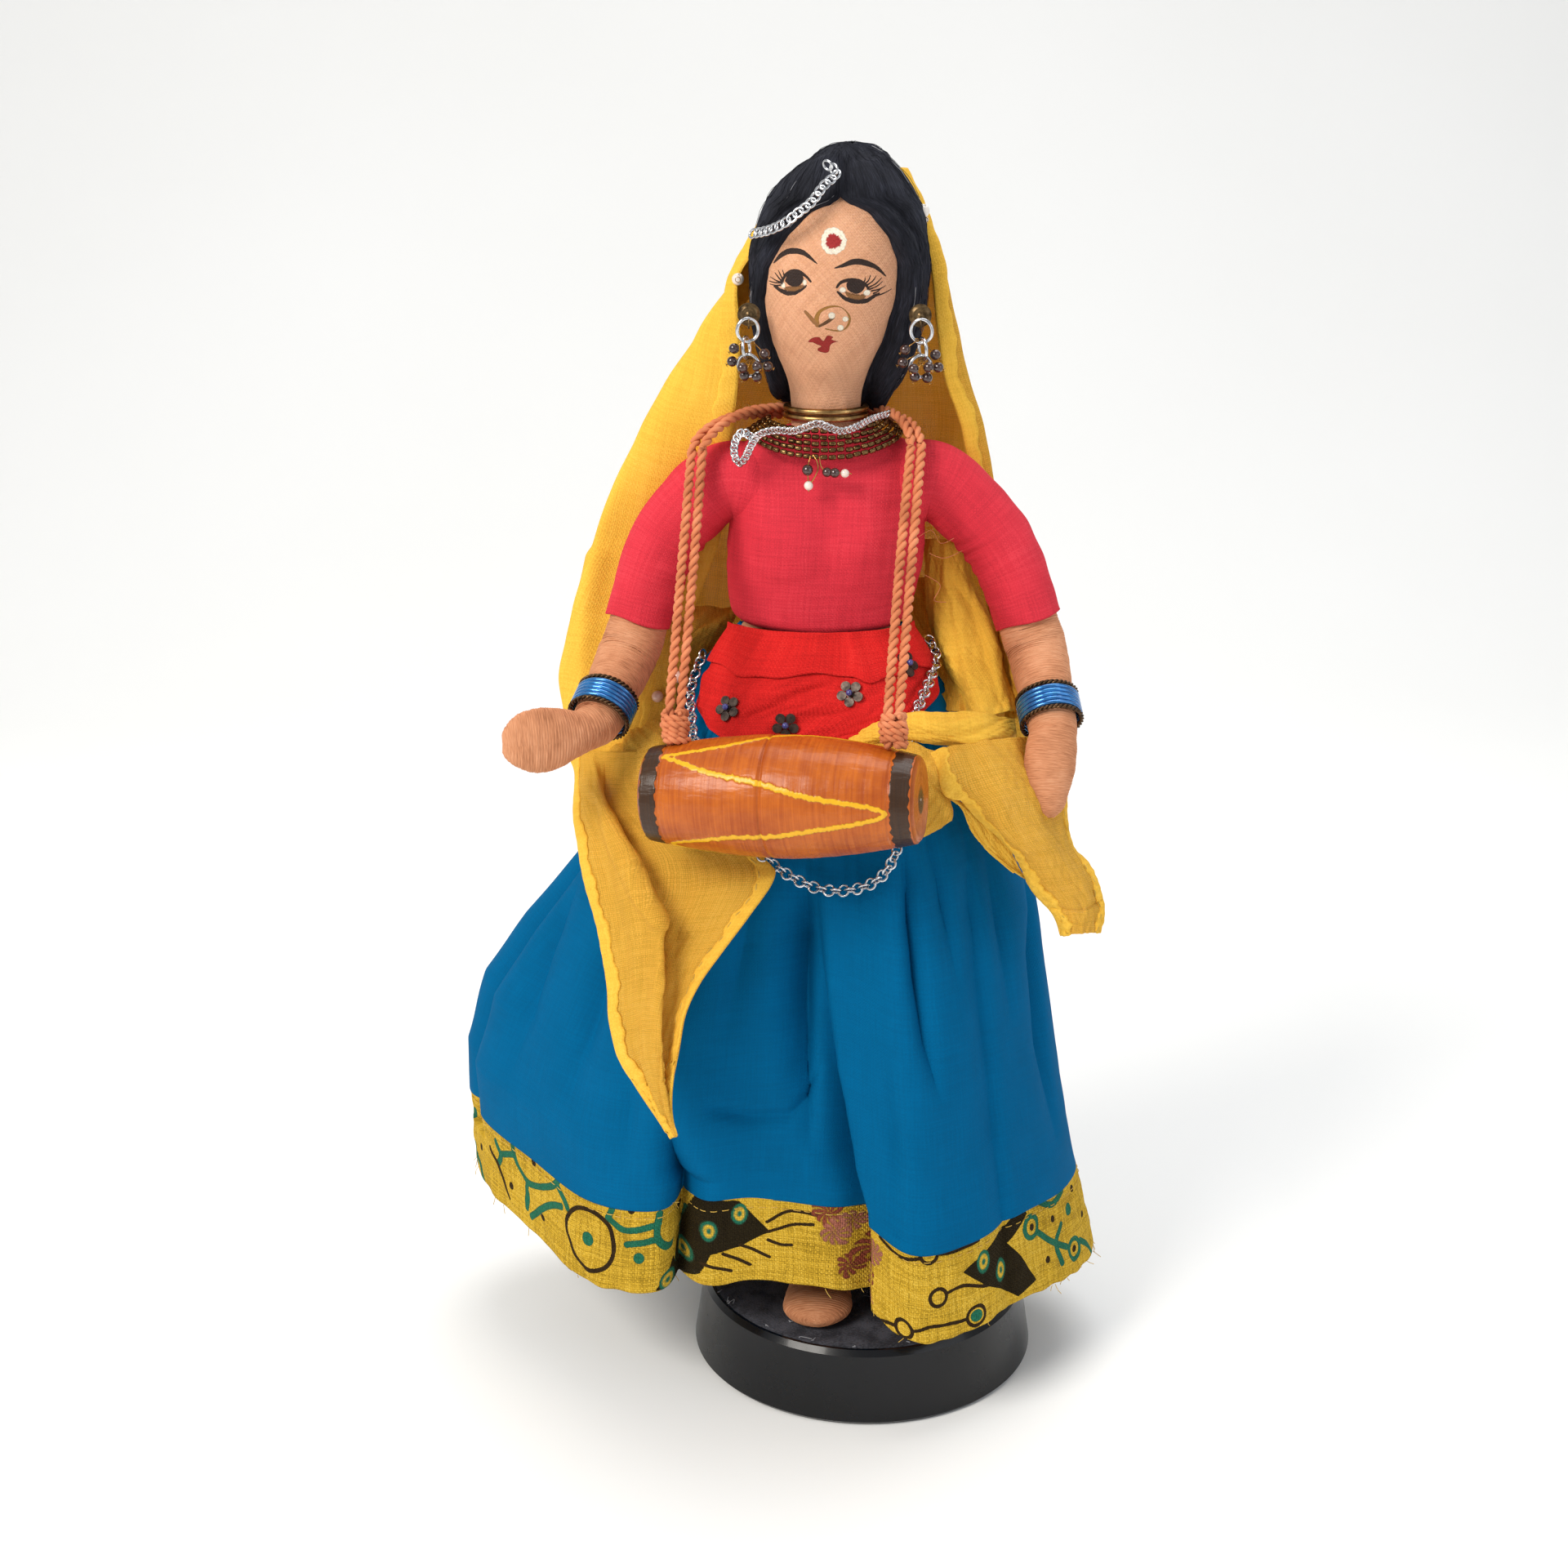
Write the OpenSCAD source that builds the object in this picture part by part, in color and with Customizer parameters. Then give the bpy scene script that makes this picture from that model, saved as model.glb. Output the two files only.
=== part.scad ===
/* [Stand] */
// Diameter of the turned stand where it meets the table
base_d = 76; // [60:1:100]
// Diameter of the stand's top face
base_top_d = 71; // [56:1:96]
// Height of the wooden stand
base_h = 16.5; // [10:0.5:30]
// Thickness of the flocked paper on the stand
flock_t = 0.4; // [0.3:0.1:1]

/* [Doll] */
// Height of the doll from the flock to the top of its hair
doll_h = 244.5; // [190:0.5:300]
// Neck diameter
neck_d = 14; // [10:0.5:18]
// Sleeve diameter at the shoulder
sleeve_d = 14.8; // [10:0.2:19]
// Forearm diameter at the elbow
forearm_d = 12; // [9:0.2:15]
// Leg diameter at the ankle
ankle_d = 9.2; // [7:0.2:14]
// Diameter of the wires up the legs and neck
wire_d = 1.6; // [1:0.1:2.4]

/* [Skirt] */
// How far the hem spreads, as a share of the usual spread
flare = 1; // [0.8:0.01:1.25]
// Thickness of the skirt cloth with its gathers
skirt_t = 0.9; // [0.6:0.1:2]
// Share of the skirt's drop taken by the printed border
border_share = 0.145; // [0.08:0.005:0.25]
// Thickness of the veil cloth with its small folds
veil_t = 0.7; // [0.5:0.1:1.5]

/* [Drum] */
// Length of the drum between its two faces
drum_len = 56; // [40:1:70]
// Diameter of the drum's belly
drum_d = 24; // [18:0.5:30]
// Diameter of the drum's two faces
drum_end_d = 17.6; // [12:0.2:24]
// Diameter of one strand of the drum's yarn cord
yarn_d = 2; // [1.2:0.1:3]

/* [Jewellery] */
// Wire diameter of the blue and bronze bangles
bangle_wire = 0.9; // [0.6:0.05:1.3]
// Outside diameter of a waist chain link
link_d = 2.7; // [2:0.1:3.6]
// Outside diameter of a head and neck chain link
fine_link_d = 2.3; // [1.6:0.1:3]
// Diameter of the small bronze beads
bead_d = 1.9; // [1.4:0.1:2.6]
// Diameter of the pearls
pearl_d = 2.5; // [1.6:0.1:3.4]

/* [Hidden] */
$fn = 48;
// height the doll's own measurements start from
foot_z = 16.9;
k = doll_h / 244.5;
wire_r = wire_d / 2;
neck_r = neck_d / 2;
sleeve_k = sleeve_d / 14.8;
arm_k = forearm_d / 12;
elbow_r = forearm_d / 2;
yarn_r = yarn_d / 2;
drum_r = drum_d / 2;
drum_end_r = drum_end_d / 2;
neck_at = [-9.4, 0];
leg_x = [-9.8, 8];
leg_y = -9;
stay = 0.3;
up = [0, 0, 1];
back = [0, 1, 0];

// ---- small helpers ----
function unit(v) = v / norm(v);
function mix(a, b, t) = a + (b - a) * t;
function xyz(v) = [v[0], v[1], v[2]];
function curve(a, b, c, d, t) =
    0.5 * (2 * b + (c - a) * t + (2 * a - 5 * b + 4 * c - d) * t * t + (3 * b - a - 3 * c + d) * t * t * t);
function smooth(p, m) =
    let (n = len(p))
    [
        for (i = [0 : n - 2], j = [0 : m - 1])
            curve(p[max(i - 1, 0)], p[i], p[i + 1], p[min(i + 2, n - 1)], j / m),
        p[n - 1]
    ];
// a ring of n points about c, across the direction t
function hoop(c, t, ref, a, b, n) =
    let (s = unit(cross(ref, t)), w = cross(t, s))
    [for (i = [0 : n - 1]) c + a * cos(360 * i / n) * s + b * sin(360 * i / n) * w];
function heading(p, i) = unit(xyz(p[min(i + 1, len(p) - 1)]) - xyz(p[max(i - 1, 0)]));
// rings along a route of [x, y, z, half width, half depth]
function hoops(p, ref, n) =
    [for (i = [0 : len(p) - 1]) hoop(xyz(p[i]), heading(p, i), ref, p[i][3], p[i][4], n)];
function level_hoop(v, n) =
    [for (i = [0 : n - 1]) [v[0] + v[3] * cos(360 * i / n), v[1] + v[4] * sin(360 * i / n), v[2]]];
function flat_list(l) = [for (r = l, v = r) v];
// half a ball that starts a route: pole first, up to its equator
function ball_end(c, dir, r, squash, m) =
    [for (i = [1 : m]) let (f = 90 * i / m, q = c - dir * r * cos(f)) [q[0], q[1], q[2], r * sin(f), r * sin(f) * squash]];
function tail_end(c, dir, a, b, m) =
    [for (i = [1 : m]) let (f = 88 * i / m, q = c + dir * b * sin(f)) [q[0], q[1], q[2], a * cos(f), b * cos(f)]];

// closed solid through a list of rings, capped at both ends
module skin(rings) {
    n = len(rings[0]);
    m = len(rings);
    polyhedron(flat_list(rings), concat(
        [for (i = [0 : m - 2], j = [0 : n - 1]) [i * n + j, (i + 1) * n + j, (i + 1) * n + (j + 1) % n]],
        [for (i = [0 : m - 2], j = [0 : n - 1]) [i * n + j, (i + 1) * n + (j + 1) % n, i * n + (j + 1) % n]],
        [for (j = [1 : n - 2]) [0, j, j + 1]],
        [for (j = [1 : n - 2]) [(m - 1) * n, (m - 1) * n + j + 1, (m - 1) * n + j]]
    ), convexity = 6);
}

// closed tube through a list of rings that comes back to its start
module tube_skin(rings) {
    n = len(rings[0]);
    m = len(rings);
    polyhedron(flat_list(rings), concat(
        [for (i = [0 : m - 1], j = [0 : n - 1]) [i * n + j, ((i + 1) % m) * n + j, ((i + 1) % m) * n + (j + 1) % n]],
        [for (i = [0 : m - 1], j = [0 : n - 1]) [i * n + j, ((i + 1) % m) * n + (j + 1) % n, i * n + (j + 1) % n]]
    ), convexity = 8);
}

// a cloth of thickness t from a grid of points on its outer face
function grid_normal(g, i, j) =
    let (a = g[min(i + 1, len(g) - 1)][j] - g[max(i - 1, 0)][j])
    let (b = g[i][min(j + 1, len(g[0]) - 1)] - g[i][max(j - 1, 0)])
    unit(cross(a, b));
module cloth(g, t) {
    r = len(g);
    c = len(g[0]);
    n = r * c;
    under = [for (i = [0 : r - 1]) [for (j = [0 : c - 1]) g[i][j] - t * grid_normal(g, i, j)]];
    polyhedron(concat(flat_list(g), flat_list(under)), concat(
        [for (i = [0 : r - 2], j = [0 : c - 2]) [i * c + j, i * c + j + 1, (i + 1) * c + j + 1]],
        [for (i = [0 : r - 2], j = [0 : c - 2]) [i * c + j, (i + 1) * c + j + 1, (i + 1) * c + j]],
        [for (i = [0 : r - 2], j = [0 : c - 2]) [n + i * c + j, n + (i + 1) * c + j + 1, n + i * c + j + 1]],
        [for (i = [0 : r - 2], j = [0 : c - 2]) [n + i * c + j, n + (i + 1) * c + j, n + (i + 1) * c + j + 1]],
        [for (i = [0 : r - 2]) [i * c, (i + 1) * c, n + (i + 1) * c]],
        [for (i = [0 : r - 2]) [i * c, n + (i + 1) * c, n + i * c]],
        [for (i = [0 : r - 2]) [i * c + c - 1, n + (i + 1) * c + c - 1, (i + 1) * c + c - 1]],
        [for (i = [0 : r - 2]) [i * c + c - 1, n + i * c + c - 1, n + (i + 1) * c + c - 1]],
        [for (j = [0 : c - 2]) [j, n + j + 1, j + 1]],
        [for (j = [0 : c - 2]) [j, n + j, n + j + 1]],
        [for (j = [0 : c - 2]) [(r - 1) * c + j, (r - 1) * c + j + 1, n + (r - 1) * c + j + 1]],
        [for (j = [0 : c - 2]) [(r - 1) * c + j, n + (r - 1) * c + j + 1, n + (r - 1) * c + j]]
    ), convexity = 8);
}

// distances along a route, and evenly spaced stations on it
function run_of(p) =
    [for (i = 0, s = 0; i < len(p); s = s + norm(p[min(i + 1, len(p) - 1)] - p[i]), i = i + 1) s];
function station(p, c, s) =
    let (i = [for (j = [0 : len(p) - 2]) if (c[j + 1] >= s - 0.0001) j][0])
    mix(p[i], p[i + 1], (s - c[i]) / (c[i + 1] - c[i]));
function stations(p, step) =
    let (c = run_of(p), m = floor(c[len(p) - 1] / step))
    [for (j = [0 : m]) station(p, c, j * step)];

// a ring standing about the axis a, its own x along t
module ring_at(c, t, a, big, small) {
    b = cross(a, t);
    multmatrix([[t[0], b[0], a[0], c[0]], [t[1], b[1], a[1], c[1]], [t[2], b[2], a[2], c[2]], [0, 0, 0, 1]])
        rotate_extrude($fn = 24)
            translate([big, 0])
                circle(small, $fn = 16);
}
module chain(route, outer, wire, ref) {
    big = outer / 2 - wire;
    p = stations(route, (3 * big - wire) / 2);
    for (i = [0 : len(p) - 1]) {
        t = heading(p, i);
        s = unit(cross(ref, t));
        w = cross(t, s);
        ring_at(p[i], t, i % 2 == 0 ? unit(s + w) : unit(s - w), big, wire);
    }
}
module beads(points, d) {
    for (q = points)
        translate(q)
            sphere(d = d, $fn = 24);
}
// stands a shape drawn along +Z at c, along the direction d
module along(c, d) {
    translate(c)
        rotate([0, acos(d[2] / norm(d)), atan2(d[1], d[0])])
            children();
}
module strand(p, r) {
    skin(hoops([for (q = p) [q[0], q[1], q[2], r, r]], [1, 0.02, 0.01], 8));
}
// puts the doll's own measurements on the stand
module on_stand() {
    translate([0, 0, base_h + flock_t])
        scale(k)
            translate([0, 0, -foot_z])
                children();
}

// ---- the skirt's surface: u runs round the hem, t from waist to hem ----
// each stop of the hem: across, deep, and how high it hangs
hem_plan = [
    [52, 0, 22], [49, 16, 22], [38, 29, 24], [20, 37, 26], [-4, 42, 28], [-30, 46, 30], [-56, 46, 32], [-78, 38, 33],
    [-89, 24, 34.5], [-85, 6, 33.5], [-73, -10, 31], [-60, -25, 27.5], [-44, -33, 29], [-23, -30, 30.5],
    [-4, -34, 28.5], [9, -42, 23], [22, -37, 23], [34, -27, 24.5], [46, -14, 23]
];
skirt_mid = [-17, 3];
waist_mid = [-10.2, -0.8];
waist_rx = 17.4;
waist_ry = 11.4;
waist_z = 166.2;
drop_at = [0, 0.1, 0.21, 0.32, 0.42, 0.54, 0.65, 0.77, 0.88, 1];
spread_right = [0, 0.2, 0.38, 0.54, 0.64, 0.7, 0.755, 0.82, 0.91, 1];
spread_left = [0, 0.17, 0.32, 0.46, 0.58, 0.78, 0.94, 1.02, 1.01, 1];
spread_front = [0, 0.3, 0.5, 0.64, 0.74, 0.82, 0.88, 0.93, 0.97, 1];
function spread(list, t) = lookup(t, [for (i = [0 : len(list) - 1]) [drop_at[i], list[i]]]);
function hem_at(u) =
    let (n = len(hem_plan), s = (u - floor(u)) * n, i = floor(s) % n, f = s - floor(s))
    let (q = curve(hem_plan[(i + n - 1) % n], hem_plan[i], hem_plan[(i + 1) % n], hem_plan[(i + 2) % n], f))
    [skirt_mid[0] + (q[0] - skirt_mid[0]) * flare, skirt_mid[1] + (q[1] - skirt_mid[1]) * flare, q[2]];
function skirt_at(u, t, off) =
    let (h = hem_at(u), f = atan2((h[1] - skirt_mid[1]) / 45, (h[0] - skirt_mid[0]) / 70))
    let (w = waist_mid + [waist_rx * cos(f), waist_ry * sin(f)], left = (1 - cos(f)) / 2)
    let (front = sin(f) < 0 ? sin(f) * sin(f) : 0)
    let (side = mix(spread(spread_right, t), spread(spread_left, t), left))
    let (g = mix(side, spread(spread_front, t), front), out = unit([cos(f) / 70, sin(f) / 45]))
    let (p = w + ([h[0], h[1]] - w) * g + out * off)
    [p[0], p[1], mix(waist_z, h[2], t)];
module skirt_ring(ts, n) {
    outer = [for (t = ts) [for (j = [0 : n - 1]) skirt_at(1 - j / n, t, 0)]];
    inner = [for (i = [len(ts) - 1 : -1 : 0]) [for (j = [0 : n - 1]) skirt_at(1 - j / n, ts[i], -skirt_t)]];
    tube_skin(concat(outer, inner));
}
border_at = 1 - border_share;

// ---- stand ----
module base() {
    color("#15161a")
        difference() {
            rotate_extrude($fn = 128)
                polygon([
                    [0, 0], [base_d / 2 - 0.8, 0], [base_d / 2, 0.9], [base_top_d / 2 + 0.3, base_h - 1.2],
                    [base_top_d / 2 - 0.6, base_h], [0, base_h]
                ]);
            for (x = leg_x)
                translate([x * k, leg_y * k, base_h - 11])
                    cylinder(r = wire_r * k + 0.05, h = 12);
        }
}
module base_flock() {
    color("#26262a")
        difference() {
            translate([0, 0, base_h])
                cylinder(d = base_top_d - 1.6, h = flock_t, $fn = 128);
            for (x = leg_x)
                translate([x * k, leg_y * k, base_h - 1])
                    cylinder(r = wire_r * k + 0.05, h = flock_t + 2);
        }
}

// ---- legs and lower body ----
module leg_wire(x) {
    color("#8f8f8c")
        translate([x * k, leg_y * k, base_h - 10.5])
            cylinder(r = wire_r * k, h = 10.5 + flock_t + 127 * k);
}
module leg_wire_left() { leg_wire(leg_x[0]); }
module leg_wire_right() { leg_wire(leg_x[1]); }
module leg(x) {
    r = ankle_d / 2;
    path = smooth([
        [x, leg_y - 0.5, 24.4, r, r], [x, leg_y, 40, r + 0.4, r + 0.4], [x, leg_y + 0.4, 70, r + 1.2, r + 1.4],
        [x, leg_y + 1, 100, r + 1.8, r + 2], [x, leg_y + 1.4, 121.8, r + 2, r + 2.2]
    ], 2);
    color("#c98f68")
        on_stand()
            skin([for (v = path) level_hoop(v, 16)]);
}
module leg_left() { leg(leg_x[0]); }
module leg_right() { leg(leg_x[1]); }
module foot(x, turn) {
    path = smooth([
        [0, 5.4, 20.4, 2, 1.6], [0, 4.4, 20.5, 4.6, 3.2], [0, 0, 20.6, 5.8, 3.5], [0, -8, 20.4, 7, 3.4],
        [0, -14, 20.2, 7.6, 3.2], [0, -18, 20, 6, 2.6], [0, -20, 19.9, 2.4, 1.4]
    ], 2);
    color("#a5704c")
        on_stand()
            translate([x, leg_y, 0])
                rotate([0, 0, turn])
                    skin(hoops(path, up, 16));
}
module foot_left() { foot(leg_x[0], -3); }
module foot_right() { foot(leg_x[1], 8); }
module hips() {
    path = smooth([
        [-0.9, -7.6, 122, 15, 8.4], [-2, -5.6, 128, 17.4, 10.6], [-5, -3, 142, 18, 11.6],
        [-8.6, -1.4, 156, 17, 10.8], [-10.2, -0.8, 166.5, 16.3, 10.3]
    ], 3);
    color("#c99d76")
        on_stand()
            skin([for (v = path) level_hoop(v, 24)]);
}

// ---- blouse, neck and head ----
shoulder_left_at = [-30, 0, 196];
shoulder_right_at = [12.5, 0, 196];
yoke_left = shoulder_left_at[0] + sleeve_d / 2 + 0.7;
yoke_right = shoulder_right_at[0] - sleeve_d / 2 - 0.7;
yoke_x = (yoke_left + yoke_right) / 2;
yoke_w = (yoke_right - yoke_left) / 2;
module torso() {
    path = smooth([
        [-10.4, -0.8, 166.8, 18, 12], [-10.2, -0.8, 172, 18.8, 12.8], [-9.4, -0.9, 179, 19.4, 13.4],
        [-9.2, -0.8, 184.5, 18.2, 13.4], [yoke_x, -0.6, 189, yoke_w + 0.6, 13], [yoke_x, -0.4, 196, yoke_w, 12.4],
        [yoke_x, -0.2, 201, yoke_w - 0.6, 11.6], [-9.3, 0, 204.2, yoke_w - 3.4, 9.6]
    ], 3);
    color("#dc3a49")
        on_stand()
            skin([for (v = path) level_hoop(v, 28)]);
}
module neck_wire() {
    color("#8f8f8c")
        on_stand()
            translate([neck_at[0], neck_at[1], 190])
                cylinder(r = wire_r, h = 38);
}
module neck_core() {
    color("#b9986d")
        on_stand()
            translate([neck_at[0], neck_at[1], 206])
                difference() {
                    cylinder(r = 3.5, h = 24);
                    translate([0, 0, -1])
                        cylinder(r = wire_r + 0.05, h = 24);
                }
}
head_path = smooth([
    [-9.4, 0, 205.2, neck_r, neck_r], [-9.4, 0, 212, neck_r, neck_r], [-9.4, -0.5, 216, neck_r + 0.7, neck_r + 0.8],
    [-9.3, -1.2, 220, 9.3, 9.5], [-9.1, -1.8, 224.5, 11.3, 11.2], [-8.7, -2, 230, 13, 12.6],
    [-8.1, -2, 236.7, 13.8, 13.6], [-7.5, -1.6, 243, 13.5, 13.4], [-6.8, -1, 249.5, 11.4, 11.6],
    [-6, -0.4, 255, 7.8, 8.2], [-5.6, -0.2, 258, 3.4, 3.6]
], 2);
module head_solid(grow) {
    skin([for (v = head_path) level_hoop([v[0], v[1], v[2], v[3] + grow, v[4] + grow], 28)]);
}
module head() {
    bore = 3.56 / cos(180 / 28);
    hole = [for (z = [230.1, 205.2]) level_hoop([neck_at[0], neck_at[1], z, bore, bore], 28)];
    color("#dd9f7c")
        on_stand()
            skin(concat(hole, [for (v = head_path) level_hoop(v, 28)]));
}
hair_path = smooth([
    [-7.6, 7, 213, 8.4, 5], [-7.4, 5.6, 215.6, 12.4, 8.4], [-7.2, 3.4, 220.6, 15.2, 12.2], [-7, 2.2, 228, 17, 15],
    [-6.9, 1.6, 237, 17.7, 16.4], [-6.6, 1.4, 245, 17, 16], [-6, 1.4, 252, 14, 13.6],
    [-5.2, 1.6, 257.5, 9.4, 9.4], [-4.5, 1.8, 260.5, 4.5, 4.5], [-4.3, 1.9, 261.4, 0.8, 0.8]
], 2);
face_edge = [
    [-6.9, 251.5], [-12, 249.2], [-17, 244.5], [-20.8, 238.5], [-21.9, 232], [-20.5, 224], [-18.5, 216],
    [-18, 208], [-18, 200], [-0.8, 200], [-0.8, 208], [0.6, 216], [3.4, 224], [5.6, 232], [5.4, 238.5],
    [2.5, 244.5], [-2, 249.2]
];
module hair() {
    color("#23232b")
        on_stand()
            difference() {
                skin([for (v = hair_path) level_hoop(v, 28)]);
                head_solid(0.3);
                translate([0, -2.2, 0])
                    rotate([90, 0, 0])
                        linear_extrude(30)
                            polygon(face_edge);
            }
}

// ---- arms ----
sleeve_left_path = [
    [-35.6, -0.3, 191.4, 7.5, 7.5], [-41.2, -1.2, 184.6, 7.4, 7.3], [-45, -2.6, 176.6, 6.9, 6.8],
    [-47.4, -4.2, 168.3, 6.5, 6.4]
];
sleeve_right_path = [
    [18.2, -0.3, 191.8, 7.5, 7.5], [24.4, -1.2, 185, 7.4, 7.3], [29, -2.6, 177, 7, 6.9],
    [31.8, -4.2, 168.5, 6.7, 6.5]
];
module sleeve(pivot, path) {
    first = xyz(path[0]) - pivot;
    scaled = [for (v = path) [v[0], v[1], v[2], v[3] * sleeve_k, v[4] * sleeve_k]];
    rest = smooth(concat([[pivot[0], pivot[1], pivot[2], sleeve_d / 2, sleeve_d / 2]], scaled), 3);
    color("#dd4654")
        on_stand()
            skin(hoops(concat(ball_end(pivot, unit(first), sleeve_d / 2, 1, 4), [for (i = [1 : len(rest) - 1]) rest[i]]), back, 20));
}
module sleeve_left() { sleeve(shoulder_left_at, sleeve_left_path); }
module sleeve_right() { sleeve(shoulder_right_at, sleeve_right_path); }
function elbow_at(path) =
    let (n = len(path), d = unit(xyz(path[n - 1]) - xyz(path[n - 2])))
    xyz(path[n - 1]) + d * (elbow_r + stay + 0.05);
elbow_left_at = elbow_at(sleeve_left_path);
elbow_right_at = elbow_at(sleeve_right_path);
wrist_left_at = [-55, -21.4, 151.3];
wrist_right_at = [36, -19.6, 149.8];
module forearm(from, to) {
    d = unit(to - from);
    shape = [[0.12, 5.9], [0.22, 5.55], [0.36, 5.25], [0.6, 5.15], [1, 4.9]];
    path = [for (v = shape) let (q = mix(from, to, v[0])) [q[0], q[1], q[2], v[1] * arm_k, v[1] * arm_k]];
    color("#d0946f")
        on_stand()
            skin(hoops(concat(ball_end(from, d, elbow_r, 1, 4), path), [1, 0, 0], 20));
}
module forearm_left() { forearm(elbow_left_at, wrist_left_at); }
module forearm_right() { forearm(elbow_right_at, wrist_right_at); }
// the hand starts square on the forearm's end
function wrist_ring(from, e, far, r) =
    let (q = e + unit(e - from) * far) [q[0], q[1], q[2], r * arm_k, r * arm_k];
module hand_left() {
    e = wrist_left_at;
    path = concat([wrist_ring(elbow_left_at, e, 0.12, 4.4)], smooth([
        wrist_ring(elbow_left_at, e, 1, 4.2), [-57.6, -25, 150.2, 3.8, 4],
        [-60.6, -27.4, 149.8, 3.6, 5.4], [-65, -29.6, 149.6, 3.6, 6.5], [-69.4, -30.8, 149.5, 3.2, 5.6],
        [-72.2, -31.4, 149.4, 1.4, 2.4]
    ], 3));
    color("#c5835d")
        on_stand()
            skin(hoops(path, up, 18));
}
module hand_right() {
    e = wrist_right_at;
    path = concat([wrist_ring(elbow_right_at, e, 0.12, 4.4)], smooth([
        wrist_ring(elbow_right_at, e, 1, 4.4), [35.4, -23, 145.6, 5.2, 3.9],
        [34.8, -25.4, 141, 5, 3.5], [34.8, -27.2, 137, 3.9, 2.9], [35, -28.2, 134, 1.6, 1.4]
    ], 3));
    color("#c5835d")
        on_stand()
            skin(hoops(path, [0, -1, 0.2], 18));
}
bangle_r = 5.25 * arm_k + stay + bangle_wire / 2;
module bangle_stack(from, to, places, wire) {
    d = unit(to - from);
    far = norm(to - from);
    on_stand()
        for (s = places)
            along(to - d * s, d)
                rotate_extrude()
                    translate([bangle_r + (wire - bangle_wire) / 2, 0])
                        circle(d = wire, $fn = 20);
}
blue_places = [for (i = [1 : 5]) 0.75 + i * (bangle_wire + 0.06)];
twist_places = [0.7, 0.8 + 6 * (bangle_wire + 0.06)];
module blue_bangles_left() { color("#2c76b0") bangle_stack(elbow_left_at, wrist_left_at, blue_places, bangle_wire); }
module blue_bangles_right() { color("#2c76b0") bangle_stack(elbow_right_at, wrist_right_at, blue_places, bangle_wire); }
module twist_bangles_left() { color("#6b5233") bangle_stack(elbow_left_at, wrist_left_at, twist_places, bangle_wire); }
module twist_bangles_right() { color("#6b5233") bangle_stack(elbow_right_at, wrist_right_at, twist_places, bangle_wire); }

// ---- drum and its cord ----
drum_turn = 14;
drum_tilt = 3;
drum_back = skirt_at(0.72, 0.17, 0)[1] - 8.1;
drum_at = [-17.5, drum_back - drum_r, 141.6];
module in_drum() {
    translate(drum_at)
        rotate([0, -drum_tilt, -drum_turn])
            children();
}
function drum_point(p) =
    let (a = [p[0] * cos(drum_tilt) - p[2] * sin(drum_tilt), p[1], p[0] * sin(drum_tilt) + p[2] * cos(drum_tilt)])
    drum_at + [a[0] * cos(drum_turn) + a[1] * sin(drum_turn), a[1] * cos(drum_turn) - a[0] * sin(drum_turn), a[2]];
function drum_profile(x) =
    let (f = min(abs(x) / (drum_len / 2), 1))
    mix(drum_r, drum_end_r, f * f * (1.35 - 0.35 * f));
module drum_body() {
    h = drum_len / 2;
    side = [for (i = [1 : 12]) [drum_profile(h * i / 12), h * i / 12]];
    far = [for (i = [12 : -1 : 1]) [drum_profile(h * i / 12), -h * i / 12]];
    color("#b9652b")
        on_stand()
            in_drum()
                rotate([0, 90, 0])
                    rotate_extrude($fn = 72)
                        polygon(concat([[0, -h - 0.3], [drum_end_r - 0.7, -h - 0.3]], far,
                            [[drum_r, -0.5], [drum_r - 0.4, 0], [drum_r, 0.5]], side,
                            [[drum_end_r - 0.7, h + 0.3], [0, h + 0.3]]));
}
wrap_s = [-21.5, 21.5];
wrap_h = 5.4;
// the steeper the drum's end, the further out the wraps stand
wrap_gap = 0.15625 * (drum_r - drum_end_r);
function wrap_foot(i) = drum_point([wrap_s[i], 0, drum_profile(wrap_s[i]) + wrap_gap]);
function wrap_top(i) = drum_point([wrap_s[i], 1.2, drum_profile(wrap_s[i]) + wrap_gap + wrap_h]);
module cord_wrap(i) {
    d = wrap_top(i) - wrap_foot(i);
    color("#bf7450")
        on_stand()
            along(wrap_foot(i), d) {
                cylinder(r = yarn_r * 2.2, h = norm(d));
            }
}
module cord_wrap_left() { cord_wrap(0); }
module cord_wrap_right() { cord_wrap(1); }
swing_y = -9.4;
swing_z = 203.4;
// how far each strand lies from the middle of the pair
pair = yarn_r + 0.12;
function beside(p, off) = [for (i = [0 : len(p) - 1]) let (t = heading(p, i)) p[i] + off * unit(cross(t, [0, -1, 0.3]))];
function drop_route(i, shoulder) =
    let (a = wrap_top(i), n = a + [0, 0.2, 0.6] * 1)
    [for (f = [0, 0.2, 0.4, 0.6, 0.8, 1]) mix(n, shoulder, f) + [0, 1.2, 0] * sin(180 * f)];
shoulder_cord_left = [-35, swing_y, swing_z - 1];
shoulder_cord_right = [8.2, swing_y, swing_z - 1];
module drum_cord(i, shoulder) {
    r = drop_route(i, shoulder);
    color("#cb7d56")
        on_stand() {
            strand(beside(r, -pair), yarn_r);
            strand(beside(r, pair), yarn_r);
        }
}
module drum_cord_left() { drum_cord(0, shoulder_cord_left); }
module drum_cord_right() { drum_cord(1, shoulder_cord_right); }
neck_cord_route = smooth([
    [-34.4, -8.2, 204.6], [-31.6, -5, 207.4], [-26.8, 0.4, 209.5], [-20.4, 6, 209.1], [-9.4, neck_r + 5.2, 208.5],
    [0.8, 6, 209], [5, 0, 209.3], [7.4, -5.2, 207.4], [8.3, -8.2, 204.6]
], 1);
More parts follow.
